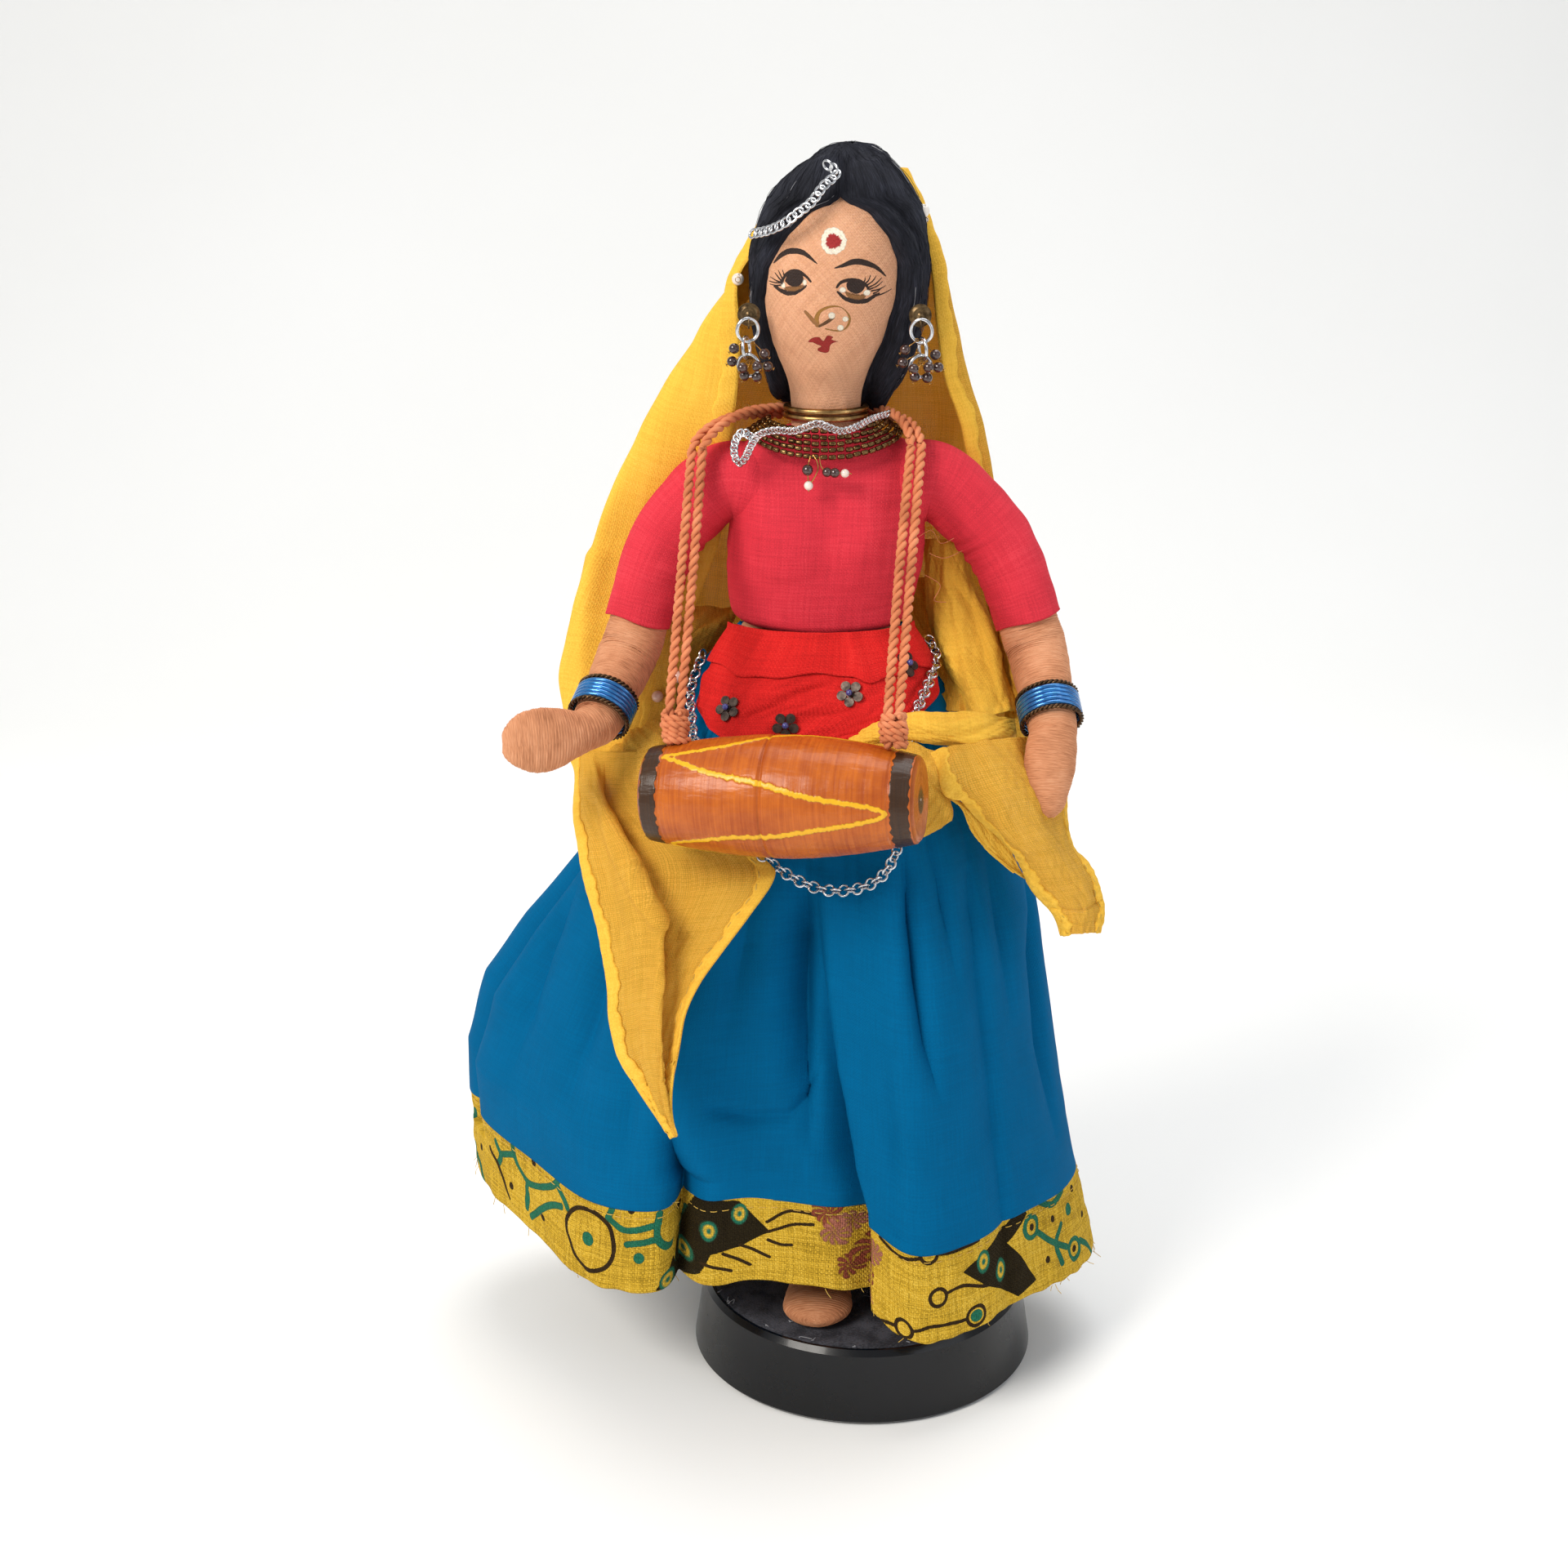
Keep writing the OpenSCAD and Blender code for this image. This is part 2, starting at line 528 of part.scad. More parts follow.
module drum_cord_neck() {
    color("#cb7d56")
        on_stand() {
            strand([for (v = neck_cord_route) v + [0, 0, -0.1]], yarn_r);
            strand([for (v = neck_cord_route) v + [0, 0.2, 2 * pair + 0.45]], yarn_r);
        }
}

// ---- jewellery ----
ring_wire = 0.62;
neck_ring_r = neck_r + stay + ring_wire + 0.1;
module neck_ring() {
    color("#b08d57")
        on_stand()
            for (z = [209.2, 210.6])
                translate([neck_at[0], neck_at[1], z])
                    rotate_extrude()
                        translate([neck_ring_r, 0])
                            circle(ring_wire, $fn = 20);
}
collar_rows = [[10, 207.7, 206.3], [11.8, 206.9, 204.4], [13.5, 205.8, 202.6]];
function collar_route(v) =
    [for (a = [168 : 8 : 376]) let (f = a < 180 || a > 360 ? 0 : pow(-sin(a), 1.4))
        [-9.6 + v[0] * 1.16 * cos(a), (v[0] + 0.3) * sin(a), mix(v[1], v[2], f)]];
module collar_beads() {
    color("#5d4a30")
        on_stand()
            for (v = collar_rows)
                beads(stations(collar_route(v), bead_d + 0.06), bead_d);
}
neck_chain_route = smooth([
    [-27.8, -8.6, 204.6], [-27.6, -11.4, 200.6], [-25.4, -12.6, 201.6], [-23.6, -12.4, 205.4], [-18, -14.6, 206.4],
    [-11, -14.8, 208.2], [-4, -14, 208.6], [2, -10, 209.8], [5.6, -4.6, 210]
], 4);
module neck_chain() {
    color("#b9babd")
        on_stand()
            chain(neck_chain_route, fine_link_d, 0.21, [0.1, 1, 0.3]);
}
pendant_at = [[-13.2, -15.6, 200.4], [-13, -15.8, 197.6], [-8.2, -15.6, 199.6], [-5.8, -15.6, 199.8], [-10.6, -15.7, 200.6]];
module pendant_beads() {
    color("#3a3130")
        on_stand()
            beads(pendant_at, bead_d + 0.1);
}
head_chain_route = smooth([
    [-8.6, -13.6, 255], [-10.4, -15, 252.6], [-13.8, -15.6, 249.4], [-17.6, -15, 246.6], [-21.4, -12.4, 244.8], [-24, -8.6, 244.2]
], 4);
module head_chain() {
    color("#b9babd")
        on_stand()
            chain(head_chain_route, fine_link_d, 0.21, up);
}
ear_left_at = [-24.6, -9.4, 229.7];
ear_right_at = [8.6, -9.4, 229.5];
ear_hang = 2.1;
module ear_stud(c) {
    color("#8c734a")
        on_stand() {
            translate(c)
                rotate([90, 0, 0])
                    cylinder(r = 2.2, h = 0.7);
            ring_at(c + [0, -1.15, -1.6], [0, 1, 0], [1, 0, 0], 0.95, 0.18);
        }
}
module ear_stud_left() { ear_stud(ear_left_at); }
module ear_stud_right() { ear_stud(ear_right_at); }
module ear_rings(c) {
    color("#b9babd")
        on_stand() {
            ring_at(c + [0, -1.15, -3.15], [1, 0, 0], [0, 1, 0], 1.55, 0.3);
            ring_at(c + [0.1, -1.15, -5.35], [0, 1, 0], [1, 0, 0], 1.55, 0.3);
            ring_at(c + [0.1, -1.15, -7.55], [1, 0, 0], [0, 1, 0], 1.55, 0.3);
        }
}
module ear_rings_left() { ear_rings(ear_left_at); }
module ear_rings_right() { ear_rings(ear_right_at); }
ear_cluster = [
    [-2.9, -1.4, -6.4], [-3.3, -1.2, -8.9], [3, -1.4, -7.4], [3.6, -1.6, -9.8], [-0.9, -1.4, -11.6],
    [1.5, -1.8, -11.8], [-1.3, -3.4, -9.9], [1.6, -3.4, -9.6]
];
module ear_beads(c) {
    color("#4a332a")
        on_stand()
            beads([for (v = ear_cluster) c + v], bead_d + 0.15);
}
module ear_beads_left() { ear_beads(ear_left_at); }
module ear_beads_right() { ear_beads(ear_right_at); }

// ---- skirt, apron and waist chain ----
module skirt() {
    color("#04608f")
        on_stand()
            skirt_ring([0, 0.1, 0.21, 0.32, 0.42, 0.54, 0.65, 0.77, border_at], 38);
}
module skirt_border() {
    color("#cda93a")
        on_stand()
            skirt_ring([border_at + 0.002, (1 + border_at) / 2, 1], 38);
}
apron_rows = [
    [0.004, 0.53, 0.965], [0.03, 0.53, 0.972], [0.055, 0.535, 0.97], [0.085, 0.54, 0.93], [0.11, 0.56, 0.86],
    [0.13, 0.59, 0.8], [0.14, 0.63, 0.76]
];
module apron() {
    g = [for (v = apron_rows) [for (j = [0 : 10]) skirt_at(mix(v[2], v[1], j / 10), v[0], 1.1)]];
    color("#dc2d2b")
        on_stand()
            cloth(g, 0.6);
}
flower_at = [[0.609, 0.101], [0.749, 0.075], [0.892, 0.044], [0.677, 0.122]];
// straight out of the skirt's surface
function skirt_out(v) =
    let (a = skirt_at(v[0] + 0.01, v[1], 0) - skirt_at(v[0] - 0.01, v[1], 0))
    let (b = skirt_at(v[0], v[1] + 0.03, 0) - skirt_at(v[0], v[1] - 0.03, 0))
    unit(cross(b, a));
module flower(q, face) {
    along(q, face) {
        for (a = [0 : 72 : 288])
            rotate([0, 0, a])
                translate([1.75, 0, 0])
                    cylinder(r = 0.98, h = 0.4, $fn = 20);
        cylinder(r = 0.78, h = 0.5, $fn = 20);
    }
}
module apron_flowers() {
    color("#3f3434")
        on_stand()
            for (v = flower_at)
                flower(skirt_at(v[0], v[1], 1.1) + 0.95 * skirt_out(v), skirt_out(v));
}
module apron_beads() {
    color("#4a4f86")
        on_stand()
            for (v = flower_at)
                translate(skirt_at(v[0], v[1], 1.1) + 2.2 * skirt_out(v))
                    sphere(d = 1.3, $fn = 20);
}
chain_stops = [
    [0.5, 0.045, 3.2], [0.53, 0.085, 3.6], [0.56, 0.113, 4.2], [0.59, 0.15, 4.7], [0.645, 0.24, 5], [0.682, 0.314, 5.6],
    [0.718, 0.352, 3.8], [0.765, 0.315, 4.4], [0.8, 0.24, 4.9], [0.826, 0.15, 4.8], [0.85, 0.105, 4.2], [0.907, 0.069, 3.6],
    [0.975, 0.042, 3.2], [1.01, 0.02, 3]
];
waist_chain_route = smooth([for (v = chain_stops) skirt_at(v[0], v[1], v[2])], 4);
module waist_chain() {
    color("#c3c4c6")
        on_stand()
            chain(waist_chain_route, link_d, 0.24, [0, 1, 0.1]);
}

// ---- veil ----
hood_rows = [
    [256, [8.4, 5.4], [-4.4, 15.4], [-14, 9]], [250, [11.2, 5], [-5.6, 19.4], [-19.4, 8]],
    [243, [13.6, 5], [-6.6, 20.8], [-24, 6.4]], [236, [15, 5], [-7, 21.4], [-27.2, 5.4]],
    [223, [17.4, 6], [-8.4, 22], [-35.4, 5]], [208.8, [19.8, 7], [-10, 22.6], [-43.6, 7]]
];
function arc_row(v, n) =
    let (a = v[1], b = v[2], c = v[3], q1 = [a[0] * 0.9 + b[0] * 0.1, b[1] * 0.9 + a[1] * 0.1])
    let (q2 = [c[0] * 0.9 + b[0] * 0.1, b[1] * 0.9 + c[1] * 0.1])
    let (s = smooth([a, mix(a, q1, 0.75), b, mix(c, q2, 0.75), c], n))
    [for (q = s) [q[0], q[1], v[0]]];
module veil_hood() {
    g = [for (v = hood_rows) [for (q = arc_row(v, 3)) q]];
    color("#e9ae3d")
        on_stand()
            cloth([for (i = [len(g) - 1 : -1 : 0]) g[i]], veil_t);
}
back_rows = [
    [208, [20, 7], [-10, 22.6], [-44, 7]], [196, [23.4, 9], [-11.4, 25], [-51.4, 9.4]],
    [182, [27, 10.4], [-13, 27], [-57.8, 10]], [168, [31, 10.4], [-14, 28.6], [-62, 9.6]],
    [152, [35, 9.4], [-15, 30.4], [-65.6, 7]], [137, [37.4, 7], [-16, 32.6], [-64, 3]]
];
module veil_back() {
    g = [for (v = back_rows) arc_row(v, 3)];
    color("#e0a536")
        on_stand()
            cloth([for (i = [len(g) - 1 : -1 : 0]) g[i]], veil_t);
}
module veil_wrap() {
    ts = [0.262, 0.22, 0.18, 0.146];
    g = [for (t = ts) [for (j = [0 : 16]) skirt_at(mix(0.93, 0.44, j / 16), t, 2.1 - 0.4 * t)]];
    color("#ecb23f")
        on_stand()
            cloth([for (i = [0 : 3]) [for (j = [0 : 16]) g[i][16 - j]]], veil_t);
}
tail_rows = [
    [0.268, 0.46, 0.7, 2.4, 6.6], [0.33, 0.468, 0.686, 2.9, 6], [0.4, 0.485, 0.664, 3.4, 4], [0.47, 0.54, 0.647, 3.6, 3.6],
    [0.55, 0.582, 0.641, 4, 4], [0.65, 0.611, 0.642, 4.4, 4.4], [0.735, 0.634, 0.642, 4.8, 4.8]
];
module veil_tail_left() {
    g = [for (i = [len(tail_rows) - 1 : -1 : 0]) let (v = tail_rows[i])
        [for (j = [0 : 8]) skirt_at(mix(v[1], v[2], j / 8), v[0], mix(v[4], v[3], j / 8))]];
    color("#ecb23f")
        on_stand()
            cloth(g, veil_t);
}
tail_right_rows = [
    [[12.4, -22.6, 143], [20, -21.4, 147], [28.6, -18, 149.6]],
    [[15, -24.4, 137], [23, -22.6, 139.4], [33.4, -18.6, 141]],
    [[21.6, -25.4, 127.6], [29, -23.6, 130], [39, -19.6, 130.4]],
    [[31.2, -26, 116.6], [37, -24.6, 119.4], [43.4, -21.2, 121]],
    [[38, -26.4, 108.4], [42.4, -25.4, 108.4], [46.6, -23.6, 108]]
];
module veil_tail_right() {
    g = [for (i = [len(tail_right_rows) - 1 : -1 : 0]) smooth(tail_right_rows[i], 3)];
    color("#ecb23f")
        on_stand()
            cloth(g, veil_t);
}
module veil_pins() {
    color("#e9e2d6")
        on_stand() {
            for (q = [[9.6, 2.2, 252], [12.4, 1.6, 248.6], [-26.6, 0.6, 236]])
                translate(q)
                    sphere(d = pearl_d, $fn = 24);
        }
}
module side_pins() {
    color("#e4c9b4")
        on_stand()
            for (q = [skirt_at(0.49, 0.115, 6.2), skirt_at(0.51, 0.075, 6.2)])
                translate(q)
                    sphere(d = pearl_d, $fn = 24);
}

base();
base_flock();
leg_wire_left();
leg_wire_right();
leg_left();
leg_right();
foot_left();
foot_right();
hips();
torso();
neck_wire();
neck_core();
head();
hair();
sleeve_left();
sleeve_right();
forearm_left();
forearm_right();
hand_left();
hand_right();
blue_bangles_left();
blue_bangles_right();
twist_bangles_left();
twist_bangles_right();
drum_body();
cord_wrap_left();
cord_wrap_right();
drum_cord_left();
drum_cord_right();
drum_cord_neck();
neck_ring();
collar_beads();
neck_chain();
pendant_beads();
head_chain();
ear_stud_left();
ear_stud_right();
ear_rings_left();
ear_rings_right();
ear_beads_left();
ear_beads_right();
skirt();
skirt_border();
apron();
apron_flowers();
apron_beads();
waist_chain();
veil_hood();
veil_back();
veil_wrap();
veil_tail_left();
veil_tail_right();
veil_pins();
side_pins();
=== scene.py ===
import math

import bpy
import numpy as np
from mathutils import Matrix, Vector


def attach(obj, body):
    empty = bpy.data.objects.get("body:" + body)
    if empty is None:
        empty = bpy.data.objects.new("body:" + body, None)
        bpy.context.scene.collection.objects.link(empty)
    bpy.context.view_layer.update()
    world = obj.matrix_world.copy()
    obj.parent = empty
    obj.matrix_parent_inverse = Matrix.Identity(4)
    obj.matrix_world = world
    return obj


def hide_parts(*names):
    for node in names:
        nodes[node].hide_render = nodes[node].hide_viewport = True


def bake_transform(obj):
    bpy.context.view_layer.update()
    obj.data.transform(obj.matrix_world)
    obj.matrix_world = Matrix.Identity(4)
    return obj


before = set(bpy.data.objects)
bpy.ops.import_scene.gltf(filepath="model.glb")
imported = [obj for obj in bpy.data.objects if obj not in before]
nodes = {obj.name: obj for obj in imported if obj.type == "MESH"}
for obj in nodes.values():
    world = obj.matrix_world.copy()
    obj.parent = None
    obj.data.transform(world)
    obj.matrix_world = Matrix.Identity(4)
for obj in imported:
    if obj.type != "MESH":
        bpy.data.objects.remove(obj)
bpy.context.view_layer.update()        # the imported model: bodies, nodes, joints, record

mm = 0.001
dice = np.random.default_rng(11)    # every random draw comes from here, in order
print("frame loaded:", len(nodes), "nodes")


# small helpers
def toLinear(code):
    parts = [int(code[i:i + 2], 16) / 255 for i in (1, 3, 5)]
    return tuple(c / 12.92 if c <= 0.04045 else ((c + 0.055) / 1.055) ** 2.4 for c in parts) + (1.0,)


def addNode(tree, kind, inputs=None, **settings):
    node = tree.nodes.new("ShaderNode" + kind)
    for name, value in settings.items():
        setattr(node, name, value)
    for key, value in (inputs or {}).items():
        socket = node.inputs[key] if isinstance(key, int) else next(
            s for s in node.inputs if s.enabled and s.name == key)
        if isinstance(value, bpy.types.Node):
            value = next(s for s in value.outputs if s.enabled)
        if isinstance(value, bpy.types.NodeSocket):
            tree.links.new(value, socket)
        else:
            socket.default_value = value
    return node


def newMaterial(name, finish):
    mat = bpy.data.materials.new(name)
    mat.use_nodes = True
    shader = mat.node_tree.nodes["Principled BSDF"]
    for key, value in finish.items():
        shader.inputs[key].default_value = toLinear(value) if isinstance(value, str) else value
    return mat, mat.node_tree, shader


def feed(tree, shader, **sources):    # colour, rough, bump, clear: what drives the shader
    names = {"colour": "Base Color", "rough": "Roughness", "bump": "Normal", "clear": "Alpha",
             "metal": "Metallic"}
    for key, node in sources.items():
        tree.links.new(next(s for s in node.outputs if s.enabled), shader.inputs[names[key]])


def unit(v):
    v = np.asarray(v, float)
    return v / np.maximum(np.linalg.norm(v, axis=-1, keepdims=True), 1e-9)


def mix(a, b, t):
    return a + (b - a) * t


def ease(x, lo=0.0, hi=1.0):
    x = np.clip((np.asarray(x, float) - lo) / (hi - lo), 0, 1)
    return x * x * (3 - 2 * x)


def smoothPath(points, per, closed=False):    # Catmull-Rom through every point
    p = np.asarray(points, float)
    n = len(p)
    t = (np.arange(per) / per)[:, None]
    out = []
    for i in range(n if closed else n - 1):
        if closed:
            a, b, c, d = p[(i - 1) % n], p[i], p[(i + 1) % n], p[(i + 2) % n]
        else:
            a, b, c, d = p[max(i - 1, 0)], p[i], p[i + 1], p[min(i + 2, n - 1)]
        out.append(0.5 * (2 * b + (c - a) * t + (2 * a - 5 * b + 4 * c - d) * t * t +
                          (3 * b - a - 3 * c + d) * t ** 3))
    if not closed:
        out.append(p[-1:])
    return np.concatenate(out)


def evenly(points, count):    # the same route with evenly spaced points
    p = np.asarray(points, float)
    run = np.concatenate([[0], np.cumsum(np.linalg.norm(np.diff(p[:, :3], axis=0), axis=1))])
    at = np.linspace(0, run[-1], count)
    return np.stack([np.interp(at, run, p[:, k]) for k in range(p.shape[1])], 1)


def runOf(points):
    p = np.asarray(points, float)[:, :3]
    return np.concatenate([[0], np.cumsum(np.linalg.norm(np.diff(p, axis=0), axis=1))])


def headings(path):
    p = np.asarray(path, float)[:, :3]
    return unit(np.concatenate([p[1:2] - p[:1], p[2:] - p[:-2], p[-1:] - p[-2:-1]]))


def ringsAlong(path, sides, ref=(0, 1, 0), level=False):    # path rows are x, y, z, half width, half depth
    path = np.asarray(path, float)
    turn = np.arange(sides) * 2 * math.pi / sides
    if level:
        s, w = np.array([[1.0, 0, 0]] * len(path)), np.array([[0, 1.0, 0]] * len(path))
    else:
        t = headings(path)
        s = unit(np.cross(np.asarray(ref, float), t))
        w = np.cross(t, s)
    return (path[:, None, :3] + path[:, 3, None, None] * np.cos(turn)[None, :, None] * s[:, None]
            + path[:, 4, None, None] * np.sin(turn)[None, :, None] * w[:, None])


def gridNormals(grid, around=False):
    down = np.gradient(grid, axis=0)
    if around:
        across = (np.roll(grid, -1, 1) - np.roll(grid, 1, 1)) / 2
    else:
        across = np.gradient(grid, axis=1)
    return unit(np.cross(across, down))


def waves(shape, seedNumber, *scales):    # smooth made-up noise over a grid, about -1 to 1
    draw = np.random.default_rng(seedNumber)
    a = np.linspace(0, 1, shape[0])[:, None]
    b = np.linspace(0, 1, shape[1])[None, :]
    total = np.zeros(shape)
    for down, across, size in scales:
        for _ in range(5):
            f, g = draw.uniform(0.5, 1) * down, draw.uniform(0.5, 1) * across
            total += size * 0.45 * np.sin(2 * math.pi * (f * a + draw.choice([-1, 1]) * g * b) +
                                          draw.uniform(0, 6.28))
    return total


def addMesh(name, verts, faces, mat, uv=None, smooth=True):
    mesh = bpy.data.meshes.new(name)
    mesh.from_pydata((np.asarray(verts, float) * mm).tolist(), [], faces)
    if uv is not None:
        layer = mesh.uv_layers.new(name="cloth")
        layer.data.foreach_set("uv", np.asarray(uv, float).reshape(-1).astype(np.float32))
    mesh.polygons.foreach_set("use_smooth", [smooth] * len(mesh.polygons))
    mesh.materials.append(mat)
    obj = bpy.data.objects.new(name, mesh)
    bpy.context.scene.collection.objects.link(obj)
    return obj


def gridMesh(name, grid, mat, around=False, caps=(False, False), thick=0.0, uvRow=None, uvStart=(0, 0),
             flip=False):
    rows, cols = grid.shape[:2]
    wrap = cols if around else cols - 1
    i, j = np.meshgrid(np.arange(rows - 1), np.arange(wrap), indexing="ij")
    nxt = (j + 1) % cols
    quads = np.stack([i * cols + j, i * cols + nxt, (i + 1) * cols + nxt, (i + 1) * cols + j],
                     -1).reshape(-1, 4)
    row = grid[rows // 2 if uvRow is None else uvRow]
    if around:
        row = np.concatenate([row, row[:1]])
    across = runOf(row) + uvStart[0]
    down = np.zeros(rows)
    steps = np.linalg.norm(np.diff(grid, axis=0), axis=2)
    down[1:] = np.cumsum(np.median(steps, axis=1))
    down += uvStart[1]
    uv = np.stack([np.stack([across[j], down[i]], -1), np.stack([across[j + 1], down[i]], -1),
                   np.stack([across[j + 1], down[i + 1]], -1), np.stack([across[j], down[i + 1]], -1)],
                  2).reshape(-1, 4, 2)
    if flip:
        quads, uv = quads[:, ::-1], uv[:, ::-1]
    verts = grid.reshape(-1, 3)
    faces = quads.tolist()
    uv = uv.reshape(-1, 2)
    extra = []
    for end, wanted in ((0, caps[0]), (rows - 1, caps[1])):
        if not wanted:
            continue
        hub = len(verts) + len(extra)
        extra.append(grid[end].mean(0))
        for k in range(cols):
            a, b = end * cols + k, end * cols + (k + 1) % cols
            face = [hub, b, a] if (end == 0) != flip else [hub, a, b]
            faces.append(face)
            uv = np.concatenate([uv, [[across[k], down[end]]] * 3])
    if extra:
        verts = np.concatenate([verts, extra])
    obj = addMesh(name, verts, faces, mat, uv)
    if thick:
        shell = obj.modifiers.new("cloth thickness", "SOLIDIFY")
        shell.thickness = thick * mm
        shell.offset = -1
    return obj


def joinMeshes(name, parts, mat):    # parts are (verts, faces) in mm, made into one object
    verts, faces, start = [], [], 0
    for v, f in parts:
        verts.append(np.asarray(v, float))
        faces += [[k + start for k in face] for face in f]
        start += len(v)
    return addMesh(name, np.concatenate(verts), faces, mat)


def tubePart(path, radius, sides=6, capped=True):    # a thin tube as (verts, faces)
    path = np.asarray(path, float)
    t = headings(path)
    side = np.cross(t, [0.13, 0.21, 1.0])
    side = unit(side)
    w = np.cross(t, side)
    turn = np.arange(sides) * 2 * math.pi / sides
    r = np.broadcast_to(np.asarray(radius, float), (len(path),))[:, None, None]
    rings = path[:, None, :] + r * (np.cos(turn)[None, :, None] * side[:, None] +
                                    np.sin(turn)[None, :, None] * w[:, None])
    n = sides
    faces = [[i * n + j, i * n + (j + 1) % n, (i + 1) * n + (j + 1) % n, (i + 1) * n + j]
             for i in range(len(path) - 1) for j in range(n)]
    if capped:
        faces += [list(range(n))[::-1], [(len(path) - 1) * n + j for j in range(n)]]
    return rings.reshape(-1, 3), faces


def paintMesh(obj, name, values):    # a colour for each point, drawn like paint
    layer = obj.data.color_attributes.new(name, "FLOAT_COLOR", "POINT")
    full = np.ones((len(obj.data.vertices), 4), np.float32)
    full[:len(values), :values.shape[1]] = values
    layer.data.foreach_set("color", full.reshape(-1))


# camera, lights and floor
view = {"at": (-0.0178, -0.4395, 0.2689), "down": 17.38, "lens": 50, "sensor": 36}
camera = bpy.data.objects.new("camera", bpy.data.cameras.new("camera"))
camera.data.lens, camera.data.sensor_width = view["lens"], view["sensor"]
camera.data.clip_start = 0.01
camera.location = view["at"]
camera.rotation_euler = (math.radians(90 - view["down"]), 0, 0)
bpy.context.scene.collection.objects.link(camera)
bpy.context.scene.camera = camera

# a big soft window from the front left, a fill from the right and a rim from above
lamps = [
    ("window", (-0.62, -0.62, 0.78), 0.5, 9.2, "#fffaf2"),
    ("fill", (0.8, -0.6, 0.45), 0.8, 2.0, "#f6f9ff"),
    ("overhead", (0.1, 0.2, 0.95), 0.7, 4.2, "#ffffff"),
]
for name, at, size, watts, colour in lamps:
    lamp = bpy.data.lights.new(name, "AREA")
    lamp.shape, lamp.size, lamp.energy = "DISK", size, watts
    lamp.color = toLinear(colour)[:3]
    obj = bpy.data.objects.new(name, lamp)
    obj.location = at
    obj.rotation_euler = (Vector((-0.01, 0, 0.13)) - Vector(at)).to_track_quat("-Z", "Y").to_euler()
    bpy.context.scene.collection.objects.link(obj)

room = bpy.data.worlds.new("pale room")
room.use_nodes = True
room.node_tree.nodes["Background"].inputs["Color"].default_value = (0.95, 0.97, 1.0, 1)
room.node_tree.nodes["Background"].inputs["Strength"].default_value = 0.5
bpy.context.scene.world = room
bpy.context.scene.view_settings.view_transform = "Standard"

# cloths
# Plain weave. Each thread has its own tone and the over and under of the weave is in the bump,
# so a lit edge sparkles a little and the cloth never looks flat.


